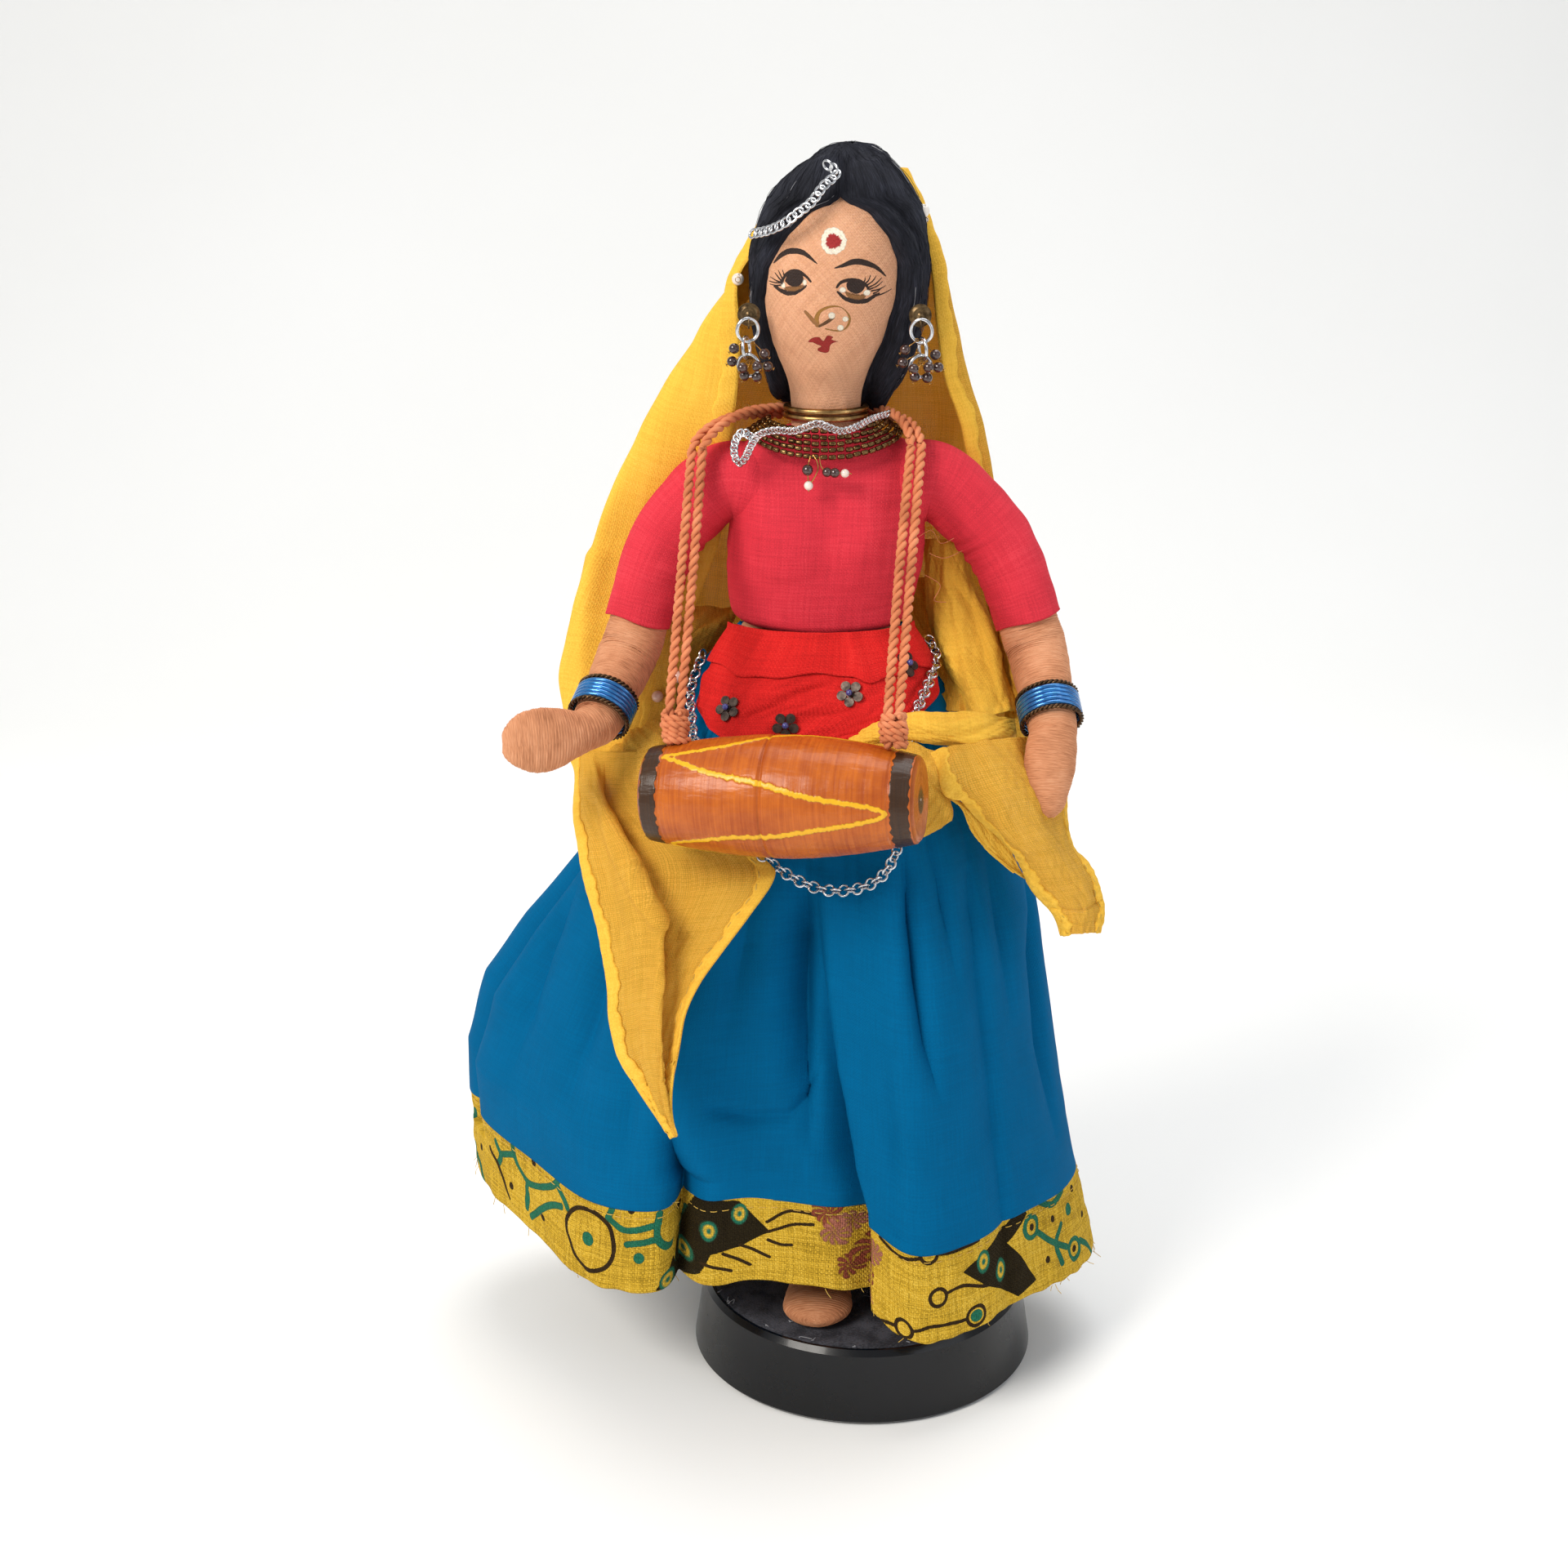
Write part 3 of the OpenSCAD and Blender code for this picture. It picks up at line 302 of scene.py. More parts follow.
def wovenCloth(name, look):
    mat, tree, shader = newMaterial(name, {
        "Roughness": look.get("rough", 0.85), "Sheen Weight": look.get("sheen", 0.12),
        "Sheen Roughness": 0.45, "Sheen Tint": look["light"], "Specular IOR Level": look.get("shine", 0.2),
    })
    pitch = look["thread"]
    uv = addNode(tree, "UVMap", uv_map="cloth")
    # a slow wander keeps the threads from being ruled lines
    wander = addNode(tree, "TexNoise", {"Vector": uv, "Scale": 0.22, "Detail": 2.0})
    centred = addNode(tree, "VectorMath", {0: wander.outputs["Color"], 1: (0.5, 0.5, 0.5)},
                      operation="SUBTRACT")
    laid = addNode(tree, "VectorMath", {0: centred, 1: (pitch * 2.2,) * 3, 2: uv.outputs[0]},
                   operation="MULTIPLY_ADD")
    warp = addNode(tree, "TexWave", {"Vector": laid, "Scale": 0.31416 / pitch, "Distortion": 0.0},
                   wave_type="BANDS", bands_direction="X")
    weft = addNode(tree, "TexWave", {"Vector": laid, "Scale": 0.31416 / pitch, "Distortion": 0.0},
                   wave_type="BANDS", bands_direction="Y")
    over = addNode(tree, "TexChecker", {"Vector": laid, "Scale": 1 / pitch, "Color1": (1, 1, 1, 1),
                                        "Color2": (0, 0, 0, 1)})
    height = addNode(tree, "Mix", {"Factor": over.outputs["Fac"], "A": warp.outputs["Fac"],
                                   "B": weft.outputs["Fac"]})
    streak = 1 / pitch
    warpTone = addNode(tree, "TexNoise", {"Vector": addNode(
        tree, "VectorMath", {0: laid, 1: (streak, 0.10, 1)}, operation="MULTIPLY"), "Scale": 0.8,
                                          "Detail": 1.0})
    weftTone = addNode(tree, "TexNoise", {"Vector": addNode(
        tree, "VectorMath", {0: laid, 1: (0.10, streak, 1)}, operation="MULTIPLY"), "Scale": 0.8,
                                          "Detail": 1.0})
    tone = addNode(tree, "Mix", {"Factor": over.outputs["Fac"], "A": warpTone.outputs["Fac"],
                                 "B": weftTone.outputs["Fac"]})
    threadTone = addNode(tree, "MapRange", {
        "Value": tone, "From Min": 0.34, "From Max": 0.66, "To Min": 0.5 - look["contrast"],
        "To Max": 0.5 + look["contrast"]})
    # painted shade: the low places between the threads are darkened in the colour, standing in for the shadow
    # in the weave's grooves
    gap = addNode(tree, "MapRange", {"Value": height, "From Min": 0.0, "From Max": 0.55,
                                     "To Min": -look.get("gap", 0.22), "To Max": 0.0})
    place = addNode(tree, "TexCoord")
    wear = addNode(tree, "TexNoise", {"Vector": place.outputs["Object"], "Scale": look.get("wearScale", 55),
                                      "Detail": 5.0})
    worn = addNode(tree, "MapRange", {"Value": wear, "From Min": 0.3, "From Max": 0.7,
                                      "To Min": -look.get("wear", 0.15), "To Max": look.get("wear", 0.15)})
    total = addNode(tree, "Math", {0: addNode(tree, "Math", {0: threadTone, 1: gap}, operation="ADD"),
                                   1: worn},
                    operation="ADD", use_clamp=True)
    low = addNode(tree, "Mix", {"Factor": addNode(tree, "Math", {0: total, 1: 2.0}, operation="MULTIPLY",
                                                  use_clamp=True),
                                "A": toLinear(look["dark"]), "B": toLinear(look["base"])}, data_type="RGBA")
    high = addNode(tree, "Math", {0: total, 1: 2.0, 2: -1.0}, operation="MULTIPLY_ADD", use_clamp=True)
    colour = addNode(tree, "Mix", {"Factor": high, "A": low, "B": toLinear(look["light"])}, data_type="RGBA")
    if "print" in look:    # dyes drawn on the mesh as colours, soaked into the threads
        paint = addNode(tree, "VertexColor", layer_name=look["print"])
        soak = addNode(tree, "MapRange", {"Value": tone, "From Min": 0.3, "From Max": 0.7, "To Min": 0.72,
                                          "To Max": 1.25})
        edge = addNode(tree, "Math", {0: paint.outputs["Alpha"], 1: soak}, operation="MULTIPLY",
                       use_clamp=True)
        ragged = addNode(tree, "MapRange",
                         {"Value": edge, "From Min": 0.34, "From Max": 0.6,
                          "To Max": look.get("cover", 0.93)})
        # the dye darkens with the thread tone and with the painted shade in the weave's grooves
        dyed = addNode(tree, "Mix", {"Factor": addNode(tree, "MapRange",
                                                       {"Value": total, "To Min": 0.35, "To Max": -0.15}),
                                     "A": paint.outputs["Color"], "B": (0, 0, 0, 1)}, data_type="RGBA")
        colour = addNode(tree, "Mix", {"Factor": ragged, "A": colour, "B": dyed}, data_type="RGBA")
    slub = addNode(tree, "TexNoise", {"Vector": uv, "Scale": 1.4, "Detail": 3.0})
    relief = addNode(tree, "Math", {0: slub, 1: 0.5, 2: height}, operation="MULTIPLY_ADD")
    bump = addNode(tree, "Bump", {"Strength": look.get("bump", 0.55), "Distance": pitch * 0.42 * mm,
                                  "Height": relief})
    feed(tree, shader, colour=colour, bump=bump)
    rough = addNode(tree, "MapRange", {"Value": tone, "To Min": look.get("rough", 0.85) - 0.12,
                                       "To Max": look.get("rough", 0.85) + 0.1})
    feed(tree, shader, rough=rough)
    if "open" in look:    # light passes between the threads of a thin voile
        shader.inputs["Transmission Weight"].default_value = 0.0
        holes = addNode(tree, "MapRange", {"Value": height, "From Min": 0.02, "From Max": 0.3,
                                           "To Min": 1 - look["open"], "To Max": 1.0})
        feed(tree, shader, clear=holes)
    if "glow" in look:    # daylight soaks through the thin cloth from behind
        lit = addNode(tree, "BsdfTranslucent", {"Color": colour, "Normal": bump})
        both = addNode(tree, "MixShader", {0: look["glow"], 1: shader.outputs[0], 2: lit.outputs[0]})
        if "open" in look:
            clear = addNode(tree, "BsdfTransparent")
            both = addNode(tree, "MixShader", {0: holes, 1: clear.outputs[0], 2: both.outputs[0]})
            for link in list(shader.inputs["Alpha"].links):
                tree.links.remove(link)
        tree.links.new(both.outputs[0], tree.nodes["Material Output"].inputs["Surface"])
    if "through" in look:
        shader.inputs["Subsurface Weight"].default_value = look["through"]
        shader.inputs["Subsurface Radius"].default_value = (1.0, 0.55, 0.2)
        shader.inputs["Subsurface Scale"].default_value = 0.002
    return mat


# cotton calico stretched over stuffing: slightly coarse, threads catch the light
skinCotton = wovenCloth("stretched skin cotton", {
    "base": "#d8a07c", "light": "#e6b594", "dark": "#bd8562", "thread": 0.42, "contrast": 0.2,
    "gap": 0.1, "bump": 0.5, "wear": 0.1, "print": "paint", "cover": 0.97, "through": 0.12})
# fine poplin, tightly stretched on the body so the weave shows only as a fine grain
redCotton = wovenCloth("red poplin", {
    "base": "#d2303f", "light": "#e8505b", "dark": "#9c1f2c", "thread": 0.36, "contrast": 0.12,
    "gap": 0.07, "bump": 0.4, "wear": 0.1, "sheen": 0.2})
scarletCotton = wovenCloth("scarlet voile", {
    "base": "#da211f", "light": "#ef4038", "dark": "#a81413", "thread": 0.4, "contrast": 0.15,
    "gap": 0.1, "bump": 0.5, "wear": 0.14, "sheen": 0.3})
# closely woven cotton sateen: a soft shine in the fold tops, very fine grain
tealCotton = wovenCloth("teal cotton sateen", {
    "base": "#005a88", "light": "#0070a6", "dark": "#004266", "thread": 0.34, "contrast": 0.07,
    "gap": 0.04, "bump": 0.25, "wear": 0.05, "rough": 0.8, "sheen": 0.0, "shine": 0.04, "wearScale": 90})
# coarse loomed cotton with block-printed dyes that miss some threads
printedCotton = wovenCloth("block printed cotton", {
    "base": "#d3a932", "light": "#e8c452", "dark": "#96761c", "thread": 0.5, "contrast": 0.28,
    "gap": 0.24, "bump": 0.8, "wear": 0.12, "print": "dye", "cover": 0.98, "sheen": 0.03, "shine": 0.08})
# thin voile: the weave is open enough to see a shade through it
yellowVoile = wovenCloth("yellow voile", {
    "base": "#f2c04a", "light": "#fbd468", "dark": "#cb9a2c", "thread": 0.4, "contrast": 0.15,
    "gap": 0.1, "bump": 0.4, "wear": 0.08, "open": 0.3, "glow": 0.36})
yellowHem = wovenCloth("folded voile hem", {
    "base": "#f5c044", "light": "#fdd562", "dark": "#cc962a", "thread": 0.4, "contrast": 0.12,
    "gap": 0.08, "bump": 0.4, "wear": 0.08, "glow": 0.08})

# yarn, wool and thread
# Wound sewing cotton: the turns are modelled, the nodes add fuzz and tone from turn to turn.


def threadFibre(name, look):
    mat, tree, shader = newMaterial(name, {
        "Roughness": look.get("rough", 0.88), "Sheen Weight": look.get("sheen", 0.4), "Sheen Roughness": 0.5,
        "Sheen Tint": look["light"], "Specular IOR Level": 0.2})
    place = addNode(tree, "TexCoord")
    uv = addNode(tree, "UVMap", uv_map="cloth")
    along = addNode(tree, "VectorMath", {0: uv, 1: look["stretch"]}, operation="MULTIPLY")
    fibre = addNode(tree, "TexNoise", {"Vector": along, "Scale": 1.0, "Detail": 4.0, "Roughness": 0.6})
    patch = addNode(tree, "TexNoise", {"Vector": place.outputs["Object"], "Scale": look.get("patch", 140),
                                       "Detail": 3.0})
    both = addNode(tree, "Math", {0: patch, 1: look.get("patchy", 0.7), 2: fibre.outputs["Fac"]},
                   operation="MULTIPLY_ADD")
    tone = addNode(tree, "MapRange", {"Value": both, "From Min": 0.55, "From Max": 1.15})
    low = addNode(tree, "Mix", {"Factor": addNode(tree, "Math", {0: tone, 1: 2.0}, operation="MULTIPLY",
                                                  use_clamp=True),
                                "A": toLinear(look["dark"]), "B": toLinear(look["base"])}, data_type="RGBA")
    high = addNode(tree, "Math", {0: tone, 1: 2.0, 2: -1.0}, operation="MULTIPLY_ADD", use_clamp=True)
    colour = addNode(tree, "Mix", {"Factor": high, "A": low, "B": toLinear(look["light"])}, data_type="RGBA")
    bump = addNode(tree, "Bump", {"Strength": look.get("bump", 0.5), "Distance": look.get("raise", 0.12) * mm,
                                  "Height": fibre.outputs["Fac"]})
    feed(tree, shader, colour=colour, bump=bump)
    return mat


skinThread = threadFibre("wound skin thread", {
    "base": "#c58660", "light": "#dba17c", "dark": "#965f40", "stretch": (0.35, 5.0, 1)})
footThread = threadFibre("wound foot thread", {
    "base": "#a86d4a", "light": "#c58d67", "dark": "#6f422a", "stretch": (0.35, 5.0, 1)})
# soft two-ply knitting yarn: pale raised fibres over a warmer core
cordYarn = threadFibre("two-ply peach yarn", {
    "base": "#d27f56", "light": "#e89f78", "dark": "#95502f", "stretch": (2.0, 0.9, 1), "bump": 0.8})
# combed wool: almost black, blue in the light, with lint
blackWool = threadFibre("combed black wool", {
    "base": "#191a21", "light": "#3b3d49", "dark": "#0a0a0e", "stretch": (7.0, 0.28, 1), "sheen": 0.55,
    "bump": 0.9, "raise": 0.25, "patch": 90})
looseLint = threadFibre("pale lint", {
    "base": "#8f8f94", "light": "#c2c2c4", "dark": "#5d5d63", "stretch": (2, 2, 1)})
stitchThread = threadFibre("pale yellow sewing thread", {
    "base": "#c9a24a", "light": "#e2c474", "dark": "#93742a", "stretch": (2, 2, 1)})
print("cloths and yarns mixed")


# hard finishes
def hardFinish(name, look):
    fixed = {"Roughness": look.get("rough", 0.35), "Metallic": look.get("metal", 0.0)}
    if "coat" in look:
        fixed.update({"Coat Weight": look["coat"], "Coat Roughness": look.get("coatRough", 0.08)})
    if "ior" in look:
        fixed["IOR"] = look["ior"]
    mat, tree, shader = newMaterial(name, fixed)
    place = addNode(tree, "TexCoord")
    stain = addNode(tree, "TexNoise", {"Vector": place.outputs["Object"], "Scale": look.get("scale", 300),
                                       "Detail": 5.0, "Roughness": 0.62})
    tone = addNode(tree, "MapRange", {"Value": stain, "From Min": 0.34, "From Max": 0.66})
    colour = addNode(tree, "Mix", {"Factor": tone, "A": toLinear(look["dark"]), "B": toLinear(look["base"])},
                     data_type="RGBA")
    spread = look.get("spread", 0.12)
    rough = addNode(tree, "MapRange", {"Value": stain, "From Min": 0.3, "From Max": 0.7,
                                       "To Min": look.get("rough", 0.35) + spread,
                                       "To Max": look.get("rough", 0.35) - spread / 2})
    bump = addNode(tree, "Bump", {"Strength": look.get("bump", 0.25),
                                  "Distance": look.get("raise", 0.05) * mm, "Height": stain})
    feed(tree, shader, colour=colour, rough=rough, bump=bump)
    return mat


# brushed-on black lacquer over turned wood: near black, with soft window reflections
blackLacquer = hardFinish("black lacquered wood", {
    "base": "#0b0c10", "dark": "#060709", "rough": 0.22, "ior": 1.33, "coat": 0.15, "coatRough": 0.08,
    "scale": 70, "raise": 0.12})
wornBrass = hardFinish("worn brass", {"base": "#c09a63", "dark": "#6d5232", "metal": 1.0, "rough": 0.3,
                                      "scale": 420})
agedStud = hardFinish("aged brass dome", {"base": "#80694a", "dark": "#33281c", "metal": 1.0, "rough": 0.34,
                                          "scale": 600})
bronzeBead = hardFinish("bronze bead", {"base": "#8a6c45", "dark": "#3d2c1b", "metal": 1.0, "rough": 0.27,
                                        "scale": 700})
silverLink = hardFinish("nickel plated wire",
                        {"base": "#e3e4e6", "dark": "#a9abaf", "metal": 1.0, "rough": 0.16, "scale": 500,
                                               "spread": 0.08})
# lustred glass: dark body, bright hard highlights
darkBead = hardFinish("brown lustre glass",
                      {"base": "#4a302a", "dark": "#2a1a1a", "rough": 0.16, "ior": 1.52, "coat": 0.8,
                                             "scale": 500, "metal": 0.25})
violetBead = hardFinish("violet glass", {"base": "#4a55a8", "dark": "#2b2f66", "rough": 0.12, "ior": 1.52,
                                         "coat": 0.8, "scale": 500})
blueEnamel = hardFinish("blue enamelled wire",
                        {"base": "#2b86cc", "dark": "#175f9e", "rough": 0.18, "metal": 0.65, "coat": 0.9,
                                                "scale": 350})
bronzeWire = hardFinish("twisted bronze wire",
                        {"base": "#6b5138", "dark": "#2c2118", "metal": 0.9, "rough": 0.36, "scale": 800})
darkStamping = hardFinish("oxidised stamping",
                          {"base": "#5d5048", "dark": "#2b2523", "metal": 0.85, "rough": 0.42, "scale": 700})
pearlGlaze = hardFinish("imitation pearl",
                        {"base": "#f1e9df", "dark": "#d9c6b8", "rough": 0.18, "ior": 1.55, "coat": 0.7,
                                            "scale": 260, "bump": 0.1})
pinkPearl = hardFinish("pink pearl", {"base": "#ecc6b4", "dark": "#cf9c8a", "rough": 0.2, "ior": 1.55,
                                      "coat": 0.7, "scale": 260})
steelWire = hardFinish("steel wire", {"base": "#a5a5a3", "dark": "#737372", "metal": 1.0, "rough": 0.35,
                                      "scale": 500})
brownPaper = hardFinish("rolled paper", {"base": "#b9986d", "dark": "#94764f", "rough": 0.85, "scale": 200})
goldPin = hardFinish("gold headpin wire",
                     {"base": "#d0a05a", "dark": "#8a6234", "metal": 1.0, "rough": 0.24, "scale": 500})
print("hard finishes mixed")


# the skirt's surface: u runs round the hem, t from waist to hem, in mm
hemPlan = np.array([
    (52, 0, 22), (49, 16, 22), (38, 29, 24), (20, 37, 26), (-4, 42, 28), (-30, 46, 30), (-56, 46, 32),
    (-78, 38, 33),
    (-89, 24, 34.5), (-85, 6, 33.5), (-73, -10, 31), (-60, -25, 27.5), (-44, -33, 29), (-23, -30, 30.5),
    (-4, -34, 28.5), (9, -42, 23), (22, -37, 23), (34, -27, 24.5), (46, -14, 23)], float)
waist = {"x": -10.2, "y": -0.8, "rx": 17.4, "ry": 11.4, "z": 166.2}
dropAt = [0, 0.1, 0.21, 0.32, 0.42, 0.54, 0.65, 0.77, 0.88, 1]
spreadRight = [0, 0.2, 0.38, 0.54, 0.64, 0.7, 0.755, 0.82, 0.91, 1]
spreadLeft = [0, 0.17, 0.32, 0.46, 0.58, 0.78, 0.94, 1.02, 1.01, 1]
spreadFront = [0, 0.3, 0.5, 0.64, 0.74, 0.82, 0.88, 0.93, 0.97, 1]


def skirtAt(u, t, off=0.0):
    u, t, off = np.broadcast_arrays(np.asarray(u, float), np.asarray(t, float), np.asarray(off, float))
    n = len(hemPlan)
    s = (u % 1) * n
    i = np.floor(s).astype(int) % n
    f = (s - np.floor(s))[..., None]
    a, b, c, d = hemPlan[(i - 1) % n], hemPlan[i], hemPlan[(i + 1) % n], hemPlan[(i + 2) % n]
    h = 0.5 * (2 * b + (c - a) * f + (2 * a - 5 * b + 4 * c - d) * f * f + (3 * b - a - 3 * c + d) * f ** 3)
    face = np.arctan2((h[..., 1] - 3) / 45, (h[..., 0] + 17) / 70)
    w = np.stack([waist["x"] + waist["rx"] * np.cos(face), waist["y"] + waist["ry"] * np.sin(face)], -1)
    left = (1 - np.cos(face)) / 2
    front = np.where(np.sin(face) < 0, np.sin(face) ** 2, 0)
    side = mix(np.interp(t, dropAt, spreadRight), np.interp(t, dropAt, spreadLeft), left)
    g = mix(side, np.interp(t, dropAt, spreadFront), front)
    out = unit(np.stack([np.cos(face) / 70, np.sin(face) / 45], -1))
    p = w + (h[..., :2] - w) * g[..., None] + out * off[..., None]
    return np.concatenate([p, mix(waist["z"], h[..., 2], t)[..., None]], -1)


# where the drum hangs
drum = {"length": 56, "radius": 12, "endRadius": 8.8, "turn": 14, "tilt": 3, "gap": 8.1, "z": 141.6}
drumAt = np.array([-17.5, skirtAt(0.72, 0.17)[1] - drum["gap"] - drum["radius"], drum["z"]])


def drumPoint(p):
    p = np.asarray(p, float)
    a, b = math.radians(drum["tilt"]), math.radians(drum["turn"])
    x = p[..., 0] * math.cos(a) - p[..., 2] * math.sin(a)
    z = p[..., 0] * math.sin(a) + p[..., 2] * math.cos(a)
    y = p[..., 1]
    return drumAt + np.stack([x * math.cos(b) + y * math.sin(b), y * math.cos(b) - x * math.sin(b), z], -1)


def drumProfile(s):
    f = np.minimum(np.abs(s) / (drum["length"] / 2), 1)
    return mix(drum["radius"], drum["endRadius"], f * f * (1.35 - 0.35 * f))


# the drum's cord: one yarn used double, from the drum, behind the neck and back
yarn = {"diameter": 2.0, "ply": 0.56, "twist": 4.2, "beside": 1.04}
wrapTop = [drumPoint((s, 1.2, drumProfile(s) + 0.5 + 5.4)) for s in (-21.5, 21.5)]
wrapFoot = [drumPoint((s, 0.2, drumProfile(s) + 0.2)) for s in (-21.5, 21.5)]
shoulderCord = [np.array([-35.0, -9.4, 202.4]), np.array([8.2, -9.4, 202.4])]
drops = []
for k in (0, 1):
    start = wrapTop[k] + np.array([0, 0.2, 0.6])
    drops.append([mix(start, shoulderCord[k], f) + np.array([0, 1.2 * math.sin(math.pi * f), 0]) for f in
                  (0, 0.2, 0.4, 0.6, 0.8, 1)])
overNeck = [(-34.4, -8.2, 204.6), (-31.6, -5, 207.2), (-26.8, 0.4, 209), (-20.4, 6, 209), (-9.4, 12.2, 208.5),
            (0.8, 6, 208.8), (5, 0, 208.8), (7.4, -5.2, 207.2), (8.3, -8.2, 204.6)]
cordRoute = np.array([wrapFoot[0]] + drops[0] + overNeck + drops[1][::-1] + [wrapFoot[1]], float)
outward = [(0, -1, 0.1)] * 5 + [(0, -1, 0.15), (-0.2, -0.95, 0.25), (-0.35, -0.8, 0.5), (-0.4, -0.5, 0.75),
           (-0.5, 0, 0.85), (-0.5, 0.5, 0.6), (0, 1, 0.3), (0.5, 0.5, 0.6), (0.5, 0, 0.8), (0.4, -0.6, 0.7),
           (0.3, -0.85, 0.4), (0.1, -0.95, 0.2)] + [(0, -1, 0.15)] + [(0, -1, 0.1)] * 5
both = smoothPath(np.concatenate([cordRoute, np.array(outward, float)], 1), 8)
middle = evenly(both, 420)
sideways = unit(np.cross(headings(middle), unit(middle[:, 3:])))


def twoPly(path, ply, twist, sides=7):    # two plies twisted round a route: (verts, faces) parts
    run = runOf(path)
    t = headings(path)
    a = unit(np.cross(t, [0.13, 0.21, 1.0]))
    b = np.cross(t, a)
    parts = []
    for k in (0, 1):
        turn = (2 * math.pi * run / twist + k * math.pi)[:, None]
        centre = path + ply * 0.86 * (a * np.cos(turn) + b * np.sin(turn))
        parts.append(tubePart(centre, ply, sides))
    return parts


cords = []
for k, side in ((0, -1), (1, 1)):
    gapHere = yarn["beside"] * (1 + 0.10 * np.sin(np.linspace(0, 9 + k, len(middle)))) * side
    path = middle[:, :3] + sideways * gapHere[:, None]
    path = evenly(path, 620)
    lengthMm = runOf(path)[-1]
    strand = joinMeshes("drum_cord_strand_%d" % (k + 1), twoPly(path, yarn["ply"], yarn["twist"]), cordYarn)
    cords.append((strand, path, lengthMm))
    print("drum cord strand", k + 1, "is", round(lengthMm, 1), "mm long")
for strand, path, lengthMm in cords:
    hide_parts("drum_cord_left", "drum_cord_right", "drum_cord_neck")
    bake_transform(strand)


def yarnWrap(name, foot, top, turns, wide, lean):    # the yarn's own end wound round the pair
    axis = unit(top - foot)
    a = unit(np.cross(axis, [0, 1.0, 0.0]))
    b = np.cross(axis, a)
    s = np.linspace(0, 1, turns * 26)
    angle = 2 * math.pi * turns * s + lean
    high = np.linalg.norm(top - foot)
    centre = foot + axis * (high * (0.08 + 0.84 * s))[:, None]
    fat = 1 + 0.10 * np.sin(angle * 0.37 + lean)
    path = centre + (wide * fat)[:, None] * (a * np.cos(angle)[:, None] * 1.18 + b *
                                             np.sin(angle)[:, None] * 0.8)
    path[:, 2] += 0.35 * np.sin(angle + 1.2)
    parts = twoPly(path, yarn["ply"] * 0.86, 3.4, 6)
    # one turn crosses the others and its end is tucked under
    cross = smoothPath([foot + a * 1.9 + axis * 0.6 - b * 1.2, foot - b * 2.6 + axis * high * 0.45 + a * 0.4,
                        top - a * 1.9 - b * 1.5 - axis * 0.5, top - a * 0.6 + b * 1.4], 9)
    return joinMeshes(name, parts + twoPly(cross, yarn["ply"] * 0.8, 3.4, 6), cordYarn)


wraps = []
for k, name in ((0, "cord_wrap_turns_left"), (1, "cord_wrap_turns_right")):
    wrap = yarnWrap(name, wrapFoot[k], wrapTop[k] + np.array([0, 0, 0.3]), 5 if k == 0 else 4, 1.75, 0.6 + k)
    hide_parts(("cord_wrap_left", "cord_wrap_right")[k])
    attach(wrap, "drum")
    wraps.append(wrap)
print("drum cord laid")


# the turned stand
nodes["base"].data.materials.clear()
nodes["base"].data.materials.append(blackLacquer)

flock = {"radius": 34.5, "z": 16.9, "fibres": 2600, "lint": 46}
flockPile = threadFibre("black flock", {
    "base": "#2c2c31", "light": "#4b4b52", "dark": "#17171a", "stretch": (3, 3, 1), "patch": 260,
    "patchy": 1.0, "sheen": 0.5, "bump": 0.9, "raise": 0.2})
rings, spokes = 46, 160
r = np.linspace(0.02, flock["radius"] + 0.25, rings)[:, None]
turn = (np.arange(spokes) * 2 * math.pi / spokes)[None, :]
lumps = waves((rings, spokes), 3, (5, 9, 0.12), (14, 30, 0.07))
edge = ease(r, flock["radius"] - 1.0, flock["radius"] + 0.25)
disc = np.stack([r * np.cos(turn), r * np.sin(turn),
                 flock["z"] - 0.05 + lumps * (1 - edge) - 0.9 * edge ** 2 + 0 * turn], -1)
pile = gridMesh("flock_pile", disc, flockPile, around=True, caps=(True, False), flip=True)
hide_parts("base_flock")
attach(pile, "doll")
tufts = []
for _ in range(flock["fibres"]):
    a = dice.uniform(0, 6.283)
    where = flock["radius"] + 0.1 if dice.random() < 0.42 else flock["radius"] * math.sqrt(dice.random())
    lean, high = dice.normal(0, 0.35, 2), dice.uniform(0.25, 0.6)
    p = np.array([where * math.cos(a), where * math.sin(a), flock["z"] - 0.1])
    q = p + np.array([lean[0], lean[1], high])
    side = np.array([math.sin(a), -math.cos(a), 0]) * 0.045
    tufts.append(([p - side, p + side, q], [[0, 1, 2]]))
tuft = joinMeshes("flock_fibres", tufts, flockPile)
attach(tuft, "doll")
bits = []
for _ in range(flock["lint"]):
    a = dice.uniform(0, 6.283)
    where = flock["radius"] * (0.99 if dice.random() < 0.5 else math.sqrt(dice.random()))
    p = np.array([where * math.cos(a), where * math.sin(a), flock["z"] + 0.25])
    bend = [p + np.array([dice.normal(0, 0.7), dice.normal(0, 0.7), dice.uniform(0, 0.35)]) * f
            for f in (0, 0.5, 1.1, 1.7)]
    bits.append(tubePart(smoothPath(bend, 4), 0.07, 4))
lint = joinMeshes("flock_lint", bits, looseLint)
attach(lint, "doll")
print("stand done")


